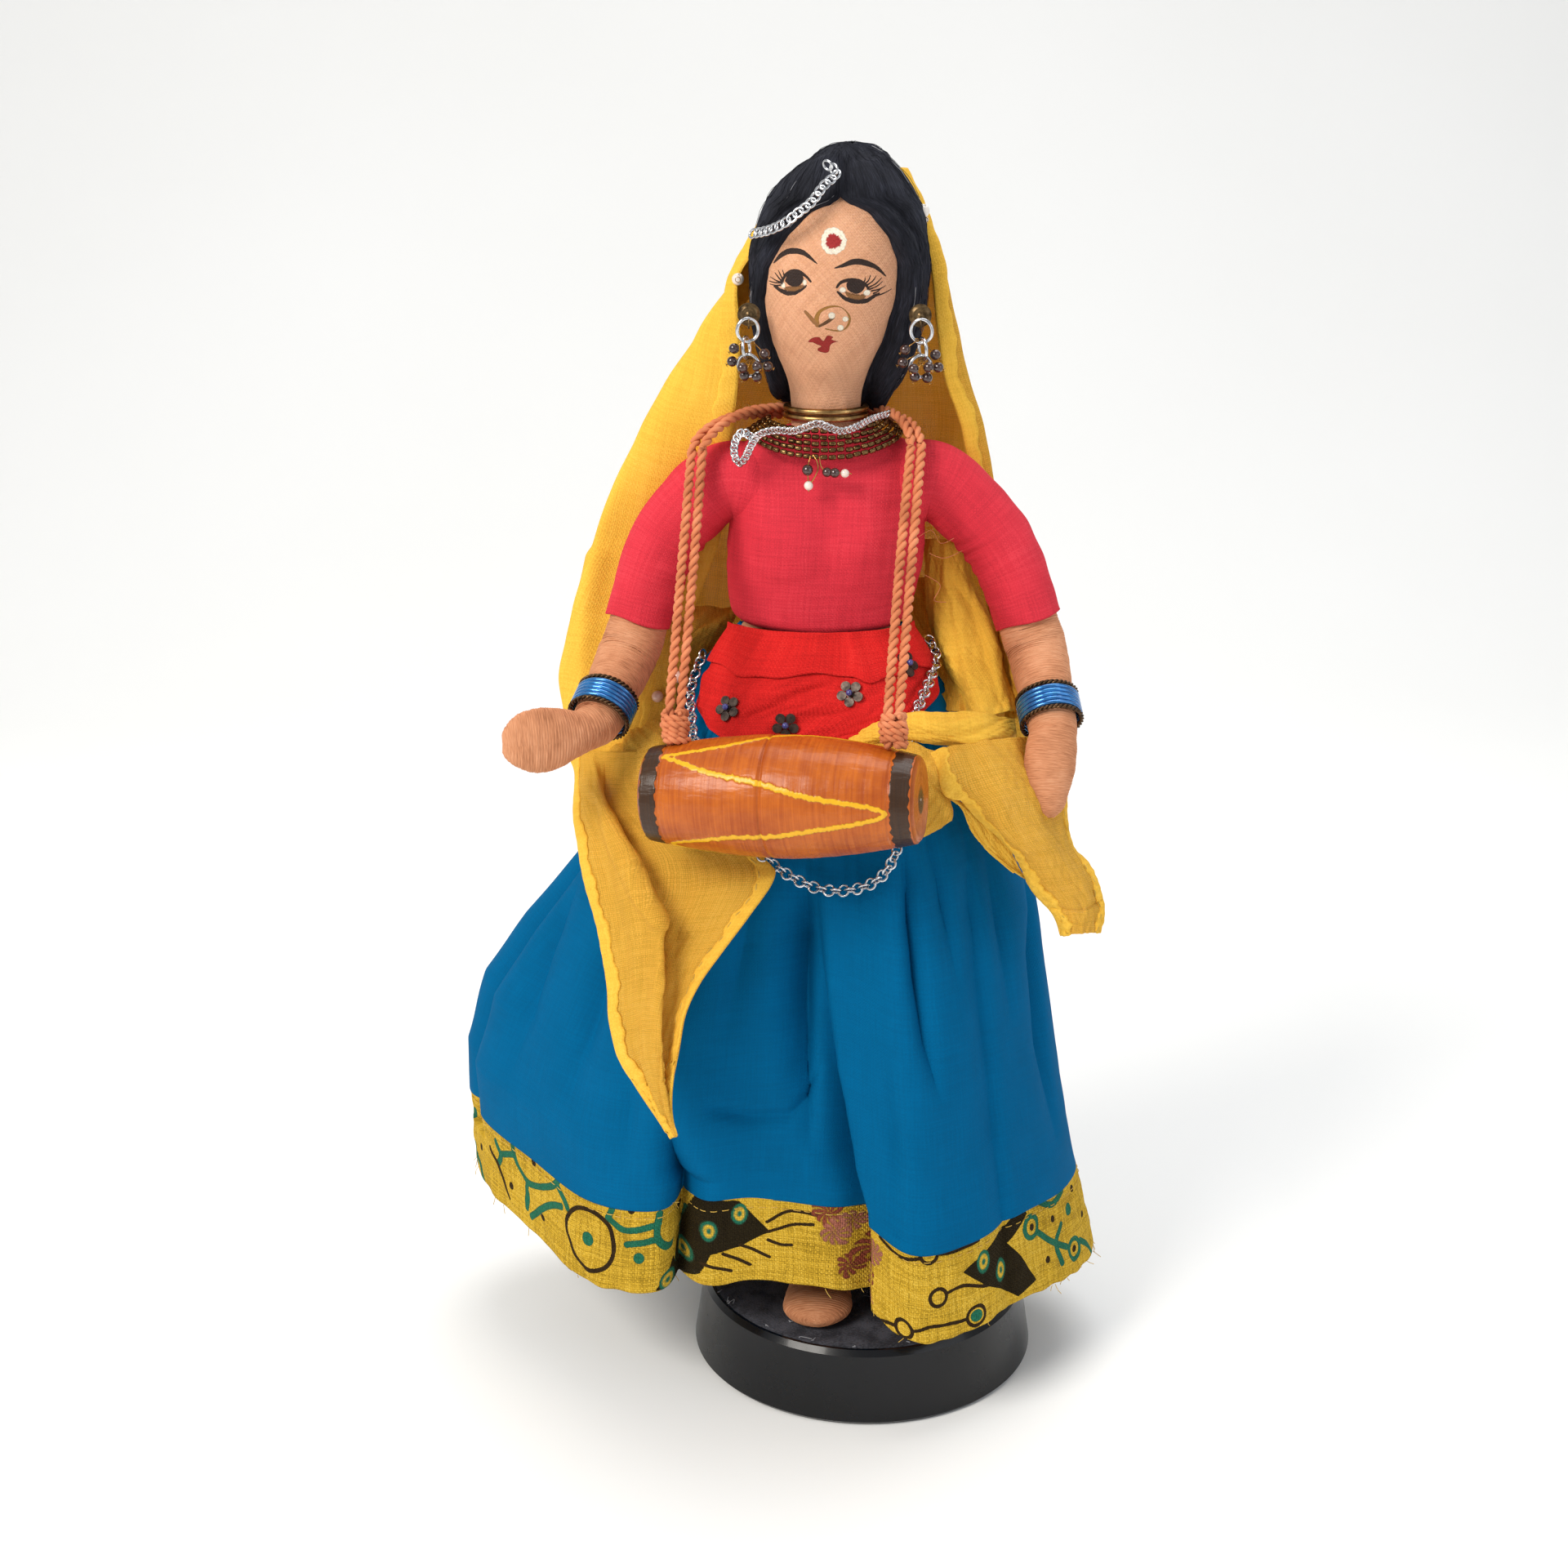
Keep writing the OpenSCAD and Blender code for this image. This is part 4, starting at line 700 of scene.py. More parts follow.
# wound limbs
def woundLimb(name, rows, mat, pitch, ridge, sides=44, ref=(1, 0, 0), level=False, caps=(True, True),
              lean=1, rough=5):
    path = evenly(smoothPath(rows, 6), 40)
    long = runOf(path)[-1]
    count = int(long / pitch * 6) + 2
    path = evenly(path, count)
    grid = ringsAlong(path, sides, ref, level)
    s = np.linspace(0, long, count)[:, None]
    a = np.arange(sides)[None, :] / sides
    draw = np.random.default_rng(rough)
    knots = np.linspace(0, long, 14)
    uneven = np.interp(s[:, 0], knots, draw.normal(0, 0.35, 14))[:, None]
    phase = s / pitch + uneven + lean * a
    groove = np.abs(np.sin(math.pi * phase)) ** 0.7
    level1 = np.interp(s[:, 0], np.linspace(0, long, 40), draw.normal(0, ridge * 0.35, 40))[:, None]
    lump = waves((count, sides), rough, (2.5, 2, ridge * 0.9), (7, 4, ridge * 0.35))
    fade = 1.0
    grid = grid + gridNormals(grid, True) * ((groove - 1) * ridge + level1 + lump * fade)[...,
            None] * outwardSign(grid)
    obj = gridMesh(name, grid, mat, around=True, caps=caps)
    return obj


def outwardSign(grid):    # +1 where gridNormals points away from the tube's middle
    middleLine = grid.mean(1, keepdims=True)
    n = gridNormals(grid, True)
    return 1.0 if float(((grid - middleLine) * n).sum()) > 0 else -1.0


legs = {"x": (-9.8, 8.0), "y": -9.0}
for x, leg, wire, foot, turnFoot in ((legs["x"][0], "leg_left", "leg_wire_left", "foot_left", -3),
                                     (legs["x"][1], "leg_right", "leg_wire_right", "foot_right", 8)):
    rows = [(x, -9.5, 23.4, 4.6, 4.6), (x, -9.2, 28, 4.5, 4.5), (x, -9, 40, 4.9, 4.9),
            (x, -8.6, 70, 5.7, 5.9), (x, -8, 100, 6.3, 6.5), (x, -7.6, 121.8, 6.5, 6.7)]
    limb = woundLimb("wound_" + leg, rows, skinThread, 0.8, 0.1, 36, level=True, rough=int(20 + x))
    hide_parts(leg)
    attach(limb, "doll")
    nodes[wire].data.materials.clear()
    nodes[wire].data.materials.append(steelWire)
    a = math.radians(turnFoot)
    sole = []
    for px, py, pz, w, h in ((0, 6.2, 20.6, 1.2, 1.0), (0, 5.4, 20.6, 3.2, 2.4), (0, 3.2, 20.9, 4.9, 3.7),
                             (0, 0, 21.0, 5.6, 4.0),
                             (0, -4, 20.8, 6.1, 3.8), (0, -8, 20.5, 6.9, 3.5), (0, -12, 20.3, 7.5, 3.3),
                             (0, -15.5, 20.2, 7.2, 3.1),
                             (0, -18.2, 20, 5.6, 2.6), (0, -19.8, 19.9, 3.2, 1.7),
                             (0, -20.3, 19.9, 0.8, 0.6)):
        sole.append((x + px * math.cos(a) - py * math.sin(a),
                     legs["y"] + px * math.sin(a) + py * math.cos(a), pz, w, h))
    shoe = woundLimb("wound_" + foot, sole, footThread, 0.62, 0.12, 44, ref=(0, 0, 1), rough=int(40 + x))
    flat = np.array([v.co[:] for v in shoe.data.vertices])
    flat[:, 2] = np.maximum(flat[:, 2], 0.01695 + 0.0001 * np.sin(flat[:, 0] * 900))
    shoe.data.vertices.foreach_set("co", flat.reshape(-1))
    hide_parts(foot)
    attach(shoe, "doll")

hipRows = evenly(smoothPath([(-0.9, -7.6, 121, 13, 7), (-0.9, -7.6, 122.4, 15.2, 8.6),
                             (-2, -5.6, 128, 17.2, 10.4), (-5, -3, 142, 17.8, 11.4),
                             (-8.6, -1.4, 156, 16.8, 10.6), (-10.2, -0.8, 166.4, 16.1, 10.1)], 5), 60)
hips = gridMesh("stuffed_hips", ringsAlong(hipRows, 48, level=True) +
                waves((60, 48), 8, (3, 4, 0.25))[..., None] * 0.7,
                skinCotton, around=True, caps=(True, True))
paintMesh(hips, "paint", np.zeros((len(hips.data.vertices), 4)))
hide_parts("hips")
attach(hips, "doll")
print("legs and feet done")


# blouse
# bust fullness is added to the rings as soft round bulges pushed forward
bust = [{"x": -18.6, "z": 186.5, "wide": 8.2, "high": 9.0, "push": 3.0},
        {"x": 0.6, "z": 186.0, "wide": 8.4, "high": 9.0, "push": 3.2}]
torsoRows = evenly(smoothPath([
    (-10.2, -0.8, 167.2, 17.0, 11.4), (-10.3, -0.8, 168.6, 18.3, 12.4), (-10.2, -0.8, 172, 19.0, 12.9),
    (-9.6, -0.9, 178, 19.8, 13.2),
    (-9.2, -0.8, 184, 20.1, 12.9), (-8.9, -0.6, 190, 19.9, 12.0), (-8.8, -0.4, 195.5, 20.4, 10.8),
    (-8.8, -0.2, 199.5, 20.6, 9.4),
    (-8.9, 0, 202.4, 18.6, 8.3), (-9.2, 0, 204.6, 14.6, 7.8), (-9.4, 0, 206.0, 10.6, 7.6),
    (-9.4, 0, 207.0, 7.4, 7.4)], 8), 150)
blouse = ringsAlong(torsoRows, 150, level=True)
for b in bust:
    d = np.exp(-((blouse[..., 0] - b["x"]) / b["wide"]) ** 2 - ((blouse[..., 2] - b["z"]) / b["high"]) ** 2)
    front = ease(-blouse[..., 1], 1.5, 9)
    blouse[..., 1] -= b["push"] * d * front
# strain lines run from the armholes and the cloth dips between the breasts and at the shoulder seams
x, y, z = blouse[..., 0].copy(), blouse[..., 1].copy(), blouse[..., 2].copy()
front = ease(-y, 0, 8)
dip = 0.8 * np.exp(-((x + 9) / 3.2) ** 2 - ((z - 184) / 8) ** 2)
for side, sx in ((1, 8.2), (-1, -27.2)):
    for n, (far, tilt, deep) in enumerate(((0, 0.5, 0.4), (2.6, 0.75, 0.3), (5, 1.0, 0.22))):
        line = (z - (191 - far)) - (sx - x) * side * tilt * 0.5
        dip += deep * np.exp(-(line / 0.9) ** 2) * np.exp(-((x - sx) / 5.5) ** 2)
blouse[..., 1] += dip * front
seamDip = 0.35 * np.exp(-((x - 11.5 + (203 - z) * 0.12) / 0.5) ** 2) * ease(z, 186, 192)
blouse[..., 1] += seamDip * front
blouse += (gridNormals(blouse, True) * outwardSign(blouse)) * (waves((150, 150), 31, (4, 4, 0.10),
                                                                     (11, 7, 0.05)))[..., None]
# the hem is turned under: a last ring tucks in
hemRing = []
for pull, dz in ((0.80, 1.2), (0.94, -0.1)):
    ring = blouse[0] * 1.0
    ring[:, :2] = np.array([-10.2, -0.8]) + (ring[:, :2] - np.array([-10.2, -0.8])) * pull
    ring[:, 2] += dz
    hemRing.append(ring)
blouse = np.concatenate([np.array(hemRing), blouse])
# hem rises at the sides and dips in front
a = np.arctan2(blouse[..., 1] + 0.8, blouse[..., 0] + 10.2)
blouse[..., 2] += np.where(blouse[..., 2] < 173,
                           (0.9 * np.cos(2 * a) + 0.3 * np.sin(3 * a)) * ease(173 - blouse[..., 2], 0, 6), 0)
torso = gridMesh("blouse_body", blouse, redCotton, around=True, caps=(True, True), uvRow=60)
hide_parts("torso")
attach(torso, "doll")
for name, finish in (("neck_wire", steelWire), ("neck_core", brownPaper)):
    nodes[name].data.materials.clear()
    nodes[name].data.materials.append(finish)

# arms: sleeve, forearm, hand
arms = {
    "left": {
        "pivot": (-30, 0, 196), "sleeve": [(-20.5, -0.2, 193.5, 8.2, 8.6), (-25, -0.1, 195.2, 8.4, 8.7),
                                           (-30, 0, 195.4, 8.0, 8.0),
                                           (-35.6, -0.3, 191.4, 7.6, 7.5), (-41.2, -1.2, 184.6, 7.5, 7.3),
                                           (-45, -2.6, 176.6, 7.0, 6.9), (-47.6, -4.2, 168.0, 6.7, 6.5)],
        "forearm": [(-46.4, -3.4, 171.4, 5.7, 5.7), (-48.0, -4.6, 165.8, 6.1, 6.1),
                    (-49.6, -6.6, 161.6, 6.15, 6.15),
                    (-51.4, -11.2, 157.8, 5.75, 5.75), (-53.3, -16.6, 154.4, 5.2, 5.2),
                    (-55, -21.4, 151.3, 4.9, 4.9), (-56.0, -23.4, 150.4, 4.4, 4.5)],
        "elbow": (-49.13, -5.36, 162.31), "bend": (-0.45, 0.9, 0.1), "open": 1},
    "right": {
        "pivot": (12.5, 0, 196), "sleeve": [(3.0, -0.2, 193.5, 8.2, 8.6), (7.5, -0.1, 195.2, 8.4, 8.7),
                                            (12.5, 0, 195.6, 8.0, 8.0),
                                            (18.2, -0.3, 191.8, 7.6, 7.5), (24.4, -1.2, 185, 7.5, 7.3),
                                            (29, -2.6, 177, 7.1, 6.9), (32.0, -4.2, 168.2, 6.8, 6.6)],
        "forearm": [(30.8, -3.4, 171.6, 5.8, 5.8), (32.6, -4.6, 166, 6.1, 6.1),
                    (33.9, -6.6, 161.8, 6.15, 6.15),
                    (34.7, -11.2, 157.2, 5.75, 5.75), (35.5, -16, 152.8, 5.2, 5.2),
                    (36, -19.6, 149.8, 4.9, 4.9), (36.1, -21.4, 148.2, 4.7, 4.6)],
        "elbow": (33.76, -5.32, 162.56), "bend": (0.45, 0.9, 0.1), "open": -1},
}
for side, arm in arms.items():
    rows = evenly(smoothPath(arm["sleeve"], 8), 120)
    grid = ringsAlong(rows, 96, ref=(0, 1, 0))
    long = runOf(rows)[-1]
    s = np.linspace(0, long, 120)[:, None]
    # 1 on the body side
    inner = (-grid[..., 0] + rows[:, None, 0]) / rows[:, None, 3] * (-1 if side == "left" else 1)
    facing = (rows[:, None, 1] - grid[..., 1]) / rows[:, None, 4]
    # creases at the crook of the arm, fading round to the outside
    crease = np.zeros(grid.shape[:2])
    for far, deep, wide, slope in ((0.50, 0.55, 1.3, 2.2), (0.58, 0.75, 1.1, 1.0), (0.655, 0.6, 1.2, -0.4),
                                   (0.73, 0.45, 1.2, -1.6), (0.82, 0.25, 1.6, -2.0)):
        line = s - far * long - slope * facing
        crease += deep * np.exp(-(line / wide) ** 2)
    crease *= ease(inner + 0.25 * facing, -0.05, 0.9)
    # drag lines from the shoulder seam
    for far, deep, slope in ((0.26, 0.45, 4.0), (0.33, 0.3, 5.5)):
        crease += deep * np.exp(-((s - far * long - slope * facing) / 1.4) ** 2) * ease(inner, 0.1, 0.9)
    grid = grid + gridNormals(grid, True) * outwardSign(grid) * (waves((120, 96), 51 + len(side),
                                                                       (3, 3, 0.12), (8, 5, 0.06)) -
                                                                 crease)[..., None]
    # the hem is folded inward, so the sleeve ends in a soft round edge
    t = headings(rows)[-1]
    mid = rows[-1, :3]
    turnIn = []
    for pull, back in ((1.01, -0.35), (0.975, -0.55), (0.92, -0.4), (0.89, 0.6), (0.88, 2.6)):
        turnIn.append(mid + (grid[-1] - mid) * pull - t * back)
    hemWave = 0.25 * np.sin(np.arange(96) * 2 * math.pi / 96 * 3 + 1)
    grid[-6:] += (t[None, None] * (hemWave[None, :, None] * np.linspace(0, 1, 6)[:, None, None]))
    turnIn = [ring + t * hemWave[:, None] * 1.0 for ring in turnIn]
    grid = np.concatenate([grid, np.array(turnIn)])
    sleeve = gridMesh("sleeve_cloth_" + side, grid, redCotton, around=True, caps=(True, False))
    p = np.array(arm["pivot"], float)
    d = unit(np.array(arm["sleeve"][4][:3], float) - p)
    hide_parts("sleeve_" + side)
    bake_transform(sleeve)
    arm["sleeveRows"] = rows

    limb = woundLimb("wound_forearm_" + side, arm["forearm"], skinThread, 0.5, 0.1, 60, ref=(1, 0, 0),
                     rough=60 + len(side))
    e = np.array(arm["elbow"], float)
    wrist = np.array(arm["forearm"][5][:3], float)
    d = unit(wrist - np.array(arm["forearm"][1][:3], float))
    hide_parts("forearm_" + side)
    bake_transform(limb)

hands = {
    "left": {"ref": (0, 0, 1), "rows": [(-54.6, -20.6, 151.7, 4.6, 4.7), (-55.6, -22.6, 150.8, 4.3, 4.6),
                                        (-57.6, -25.0, 150.2, 3.8, 4.4),
                                        (-60.4, -27.2, 149.9, 3.5, 5.3), (-63.4, -28.9, 149.7, 3.4, 6.3),
                                        (-66.4, -30.0, 149.6, 3.3, 6.6),
                                        (-69.2, -30.8, 149.5, 3.0, 5.8), (-71.4, -31.3, 149.4, 2.2, 4.1),
                                        (-72.8, -31.6, 149.4, 1.0, 1.8)]},
    "right": {"ref": (0, -1, 0.2), "rows": [(36.1, -19.0, 150.3, 4.6, 4.6), (36.1, -20.6, 149, 4.6, 4.5),
                                            (35.6, -22.6, 146, 5.1, 4.1), (35, -24.6, 142.8, 5.2, 3.8),
                                            (34.8, -26.2, 139.2, 4.6, 3.3), (34.9, -27.4, 136.2, 3.5, 2.7),
                                            (35, -28.1, 134.2, 2.2, 1.9), (35.1, -28.5, 133.2, 0.8, 0.8)]},
}
for side, hand in hands.items():
    mitt = woundLimb("wound_hand_" + side, hand["rows"], skinThread, 0.52, 0.1, 60, ref=hand["ref"],
                     rough=70 + len(side), lean=3)
    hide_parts("hand_" + side)
    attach(mitt, "forearm_" + side)

# bangles: the two outer ones are twisted pairs of bronze wire
for side, arm in arms.items():
    e, w = np.array(arm["elbow"], float), np.array(arm["forearm"][5][:3], float)
    d = unit(w - e)
    a = unit(np.cross(d, [0, 0, 1.0]))
    b = np.cross(d, a)
    parts = []
    for far in (0.7, 6.56):
        for k in (0, 1):
            turn = np.linspace(0, 2 * math.pi, 241)
            twist = turn * 19 + k * math.pi
            r = 6.02 + 0.25 * np.cos(twist)
            lift = 0.25 * np.sin(twist)
            path = w - d * far + (a * np.cos(turn)[:, None] + b * np.sin(turn)[:, None]) * r[:,
                    None] + d * lift[:, None]
            parts.append(tubePart(path, 0.27, 7, capped=False))
    twisted = joinMeshes("twisted_bangles_" + side, parts, bronzeWire)
    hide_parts("twist_bangles_" + side)
    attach(twisted, "bangles_" + side)
    blue = nodes["blue_bangles_" + side]
    blue.data.materials.clear()
    blue.data.materials.append(blueEnamel)
print("blouse, arms and bangles done")

# head
# The face is dyed and painted on the stretched cotton, so it is drawn as colour on a fine mesh.
headRows = smoothPath([
    (-9.4, 0, 205.2, 7, 7), (-9.4, 0, 212, 7, 7), (-9.4, -0.5, 216, 7.7, 7.8), (-9.3, -1.2, 220, 9.3, 9.5),
    (-9.1, -1.8, 224.5, 11.3, 11.2), (-8.7, -2, 230, 13, 12.6), (-8.1, -2, 236.7, 13.8, 13.6),
    (-7.5, -1.6, 243, 13.5, 13.4),
    (-6.8, -1, 249.5, 11.4, 11.6), (-6, -0.4, 255, 7.8, 8.2), (-5.6, -0.2, 258, 3.4, 3.6)], 30)


def headRing(z):    # x, y, half width, half depth at a height
    return [np.interp(z, headRows[:, 2], headRows[:, k]) for k in (0, 1, 3, 4)]


low = np.linspace(205.6, 217, 46)
fine = np.linspace(217, 251, 300)[1:]
high = np.linspace(251, 258, 16)[1:]
zs = np.concatenate([low, fine, high])
turn = np.concatenate([np.linspace(math.radians(192), math.radians(348), 320),
                       np.linspace(math.radians(348), math.radians(552), 60)[1:-1]])
cx, cy, rx, ry = [v[:, None] for v in headRing(zs)]
face = np.stack([cx + rx * np.cos(turn), cy + ry * np.sin(turn), zs[:, None] + 0 * turn], -1)
x, z = face[..., 0].copy(), face[..., 2].copy()
front = ease(-(face[..., 1] - cy) / ry, 0.1, 0.8)
# stuffing gives soft cheeks, chin and a slight nose under the paint
shape = 0.7 * np.exp(-((x + 10.4) / 2.6) ** 2 - ((z - 229.5) / 3.6) ** 2)
shape += 0.35 * (np.exp(-((x + 15.5) / 3.6) ** 2 - ((z - 226.5) / 4) ** 2) +
                 np.exp(-((x + 4.5) / 3.8) ** 2 - ((z - 226.2) / 4) ** 2))
shape += 0.4 * np.exp(-((x + 9.9) / 3.4) ** 2 - ((z - 219.2) / 2.6) ** 2)
shape -= 0.3 * (np.exp(-((x + 15.8) / 3.4) ** 2 - ((z - 235.6) / 2.4) ** 2) +
                np.exp(-((x + 4.2) / 3.4) ** 2 - ((z - 235.2) / 2.4) ** 2))
face += gridNormals(face, True) * outwardSign(face) * ((shape * front) +
                                                       waves(shape.shape, 90, (6, 5, 0.06),
                                                             (14, 9, 0.03)))[..., None]


def lineMask(points, width, soft=0.16):    # how much paint a brush line leaves at each point
    pts = smoothPath(np.asarray(points, float), 6) if len(points) > 2 else np.asarray(points, float)
    w = np.interp(np.linspace(0, 1, len(pts)), np.linspace(0, 1, len(width)),
                  width) if np.ndim(width) else np.full(len(pts), width)
    best = np.full(x.shape, -9.0)
    for i in range(len(pts) - 1):
        a, b = pts[i], pts[i + 1]
        d = b - a
        f = np.clip(((x - a[0]) * d[0] + (z - a[1]) * d[1]) / max(d @ d, 1e-9), 0, 1)
        far = np.hypot(x - a[0] - f * d[0], z - a[1] - f * d[1])
        best = np.maximum(best, (w[i] + (w[i + 1] - w[i]) * f) / 2 - far)
    return ease(best, -soft, soft)


def blobMask(points, soft=0.16):    # inside a closed outline
    pts = smoothPath(np.asarray(points, float), 8, closed=True)
    inside = np.zeros(x.shape, bool)
    near = np.full(x.shape, 9.0)
    for i in range(len(pts)):
        a, b = pts[i], pts[(i + 1) % len(pts)]
        crosses = (a[1] > z) != (b[1] > z)
        at = (b[0] - a[0]) * (z - a[1]) / (b[1] - a[1] + 1e-12) + a[0]
        inside ^= crosses & (x < at)
        d = b - a
        f = np.clip(((x - a[0]) * d[0] + (z - a[1]) * d[1]) / max(d @ d, 1e-9), 0, 1)
        near = np.minimum(near, np.hypot(x - a[0] - f * d[0], z - a[1] - f * d[1]))
    return ease(np.where(inside, near, -near), -soft, soft)


def spotMask(cx, cz, r, soft=0.16, squash=1.0):
    return ease(r - np.hypot(x - cx, (z - cz) / squash), -soft, soft)


coat = np.zeros(x.shape + (4,))
brush = {"black": "#211e20", "brown": "#96683e", "umber": "#5e4128", "white": "#f4ead6", "rose": "#9a2426",
         "gold": "#a37436",
         "red": "#a2262c"}


def paint(mask, colour, strength=1.0):
    m = np.clip(mask * strength * (front > 0.05), 0, 1)[..., None]
    coat[..., :3] = coat[..., :3] * (1 - m) + np.array(toLinear(brush[colour])[:3]) * m
    coat[..., 3:] = np.maximum(coat[..., 3:], m)


def wobble(points, size=0.10):
    return [(px + dice.normal(0, size), pz + dice.normal(0, size)) for px, pz in points]


# bindi: a cream ring with a slightly ragged edge round a red spot
ringAngle = np.arctan2(z - 243.8, x + 8.4)
ragged = 0.05 * np.sin(ringAngle * 9 + 1) + 0.05 * np.sin(ringAngle * 17) + 0.06 * np.sin(ringAngle * 3 + 2)
paint(ease(2.42 + ragged - np.hypot(x + 8.4, (z - 243.8) * 0.98), -0.12, 0.12), "white")
paint(ease(1.48 + ragged * 1.6 - np.hypot(x + 8.45, (z - 243.75) * 1.1), -0.12, 0.12), "red")
# brows, each one loaded brush stroke with a dry tip
paint(lineMask([(-19.81, 239.35), (-18.53, 240.79), (-17.25, 241.59), (-15.96, 241.85), (-14.43, 241.68),
                (-13.14, 240.97), (-11.5, 239.63)],
               [0.2, 0.8, 1.0, 1.1, 1.0, 0.7, 0.12]), "black")
paint(lineMask([(-8.22, 238.85), (-6.48, 239.38), (-4.94, 239.93), (-3.4, 239.99), (-1.86, 239.6),
                (-0.07, 238.76), (1.73, 237.07)],
               [0.14, 0.7, 1.05, 1.15, 1.05, 0.75, 0.2]), "black")
# eyes: heavy upper lids cover the top of each iris, a warm shade lies under it
eyes = [
    {"lid": [(-18.32, 235.68), (-17.63, 237.23), (-16.35, 238.07), (-14.94, 238.07), (-13.66, 237.23),
            (-12.78, 236.32)],
     "iris": [(-17.68, 236.4), (-17.04, 237.68), (-15.96, 238.07), (-14.89, 237.93), (-14.17, 236.96),
              (-14.48, 236), (-15.32, 235.24), (-16.61, 235.24), (-17.5, 235.92)],
     "shade": [(-17.96, 234.9), (-16.48, 235.24), (-14.68, 235.5), (-13.91, 235.43), (-14.94, 234.42),
               (-16.48, 234.07), (-17.5, 234.38)],
     "low": [(-19.61, 235), (-18.27, 234.23), (-16.73, 233.87), (-15.45, 234.14), (-14.17, 234.97),
             (-13.55, 235.6)],
     "lowSize": [0.4, 0.75, 0.8, 0.6, 0.35, 0.2], "white": [(-18.07, 235.36), (-13.96, 236.08)],
     "whiteSize": (0.42, 0.56),
     "lash": [((-18.53, 235.8), (-20.78, 235.88)), ((-18.4, 235.88), (-20.48, 236.68)),
              ((-18.27, 236.1), (-19.55, 237.57)), ((-18.07, 236.3), (-18.94, 238.07)),
              ((-17.81, 236.68), (-18.17, 238.21)), ((-18.53, 235.33), (-20.53, 235.33))]},
    {"lid": [(-7.71, 235.28), (-6.99, 236.16), (-5.45, 236.59), (-3.66, 236.46), (-2.12, 235.64),
            (-1.61, 234.81)],
     "iris": [(-5.84, 235.5), (-5.71, 236.1), (-4.68, 236.46), (-2.89, 236.04), (-2.25, 235.38),
              (-2.68, 234.5), (-3.66, 233.99), (-4.68, 234.19), (-5.58, 234.76)],
     "shade": [(-6.07, 234.42), (-4.68, 233.99), (-3.4, 233.76), (-2.07, 233.8), (-2.63, 232.85),
               (-4.43, 232.85), (-5.66, 233.42)],
     "low": [(-7.45, 234.42), (-6.48, 233.42), (-4.94, 232.68), (-3.4, 232.44), (-1.86, 232.7),
             (-0.58, 233.35), (0.7, 233.9)],
     "lowSize": [0.4, 0.7, 0.8, 0.75, 0.8, 0.6, 0.35], "white": [(-6.61, 234.76), (-1.86, 234.11)],
     "whiteSize": (0.66, 0.52),
     "lash": [((-2.58, 236.04), (-2.27, 237.07)), ((-2.17, 235.86), (-1.25, 237.43)),
              ((-1.86, 235.56), (-0.12, 237.23)), ((-1.55, 235.09), (0.96, 236.84)),
              ((-1.3, 234.76), (1.09, 236.12)), ((-0.96, 234.42), (1.73, 235.28)),
              ((-0.58, 233.95), (0.83, 234.85)), ((-0.58, 233.35), (3.01, 234.52))]}]
for eye in eyes:
    paint(blobMask(eye["shade"]), "brown", 0.8)
    paint(lineMask(eye["shade"][:4], 0.3), "umber", 0.6)
    for wx, wz in eye["white"]:
        wide, tall = eye["whiteSize"]
        paint(spotMask(wx, wz, wide, squash=tall / wide), "white")
    paint(blobMask(eye["iris"]), "black")
    paint(lineMask(eye["lid"], [0.45, 0.6, 0.7, 0.7, 0.55, 0.4]), "black")
    low = smoothPath(eye["low"], 12)
    size = np.interp(np.linspace(0, 1, len(low)), np.linspace(0, 1, len(eye["lowSize"])), eye["lowSize"])
    for k in range(0, len(low) - 5, 4):    # dabbed on in short strokes
        paint(lineMask(wobble([low[k], low[k + 5]], 0.05), [size[k], size[k + 5]]), "black")
    for a, b in eye["lash"]:
        mid = ((a[0] + b[0]) / 2 + 0.1, (a[1] + b[1]) / 2 - 0.14)
        paint(lineMask([a, mid, b], [0.34, 0.28, 0.14], 0.12), "black", 0.92)
# nose in two strokes, a nose ring with three pearls, ragged lips
paint(lineMask([(-11.3, 228.25), (-11.4, 229.71), (-10.71, 230.96), (-8.91, 231.72), (-6.99, 231.56),
                (-5.71, 230.49), (-5.25, 229.26), (-5.71, 227.87), (-6.73, 227.14), (-8.02, 227.14),
                (-9.81, 227.58)],
               [0.85, 0.85, 0.6, 0.4, 0.2, 0.3, 0.5, 0.4, 0.3, 0.3, 0.2]), "gold", 0.92)
paint(lineMask([(-13.66, 230.65), (-12.76, 229.77), (-11.86, 228.81), (-10.96, 228.14)],
               [0.5, 0.75, 0.8, 0.55]), "brown")
paint(lineMask([(-10.94, 228.05), (-9.68, 228.81), (-8.4, 229.71)], [0.4, 0.65, 0.62]), "umber")
for wx, wz, wide in ((-8.66, 230.09, 0.66), (-6.09, 229.3, 0.56), (-6.99, 227.69, 0.62)):
    paint(spotMask(wx, wz, wide, squash=0.9), "white")
lips = [(-13.09, 224.87), (-12.12, 225.68), (-11.09, 225.86), (-10.53, 225.3), (-10.07, 225.17),
        (-9.55, 225.95), (-8.91, 226.17), (-8.35, 225.79), (-8.68, 225.35), (-8.02, 225.06), (-7.19, 224.9),
        (-8.32, 224.55), (-8.73, 223.94), (-8.91, 222.98), (-9.81, 222.57), (-10.96, 222.95),
        (-11.09, 223.62), (-10.53, 223.94), (-11.35, 224.36), (-12.12, 224.8)]
paint(blobMask(wobble(lips, 0.08), 0.14), "rose", 0.96)
# thin paint skips where the weave is low
skip = waves(x.shape, 95, (60, 60, 0.5), (110, 90, 0.35))
coat[..., 3] = np.clip(coat[..., 3] * (1.0 + 0.16 * skip), 0, 1)
head = gridMesh("painted_head", face, skinCotton, around=True, caps=(False, True), uvRow=200)
paintMesh(head, "paint", coat.reshape(-1, 4))
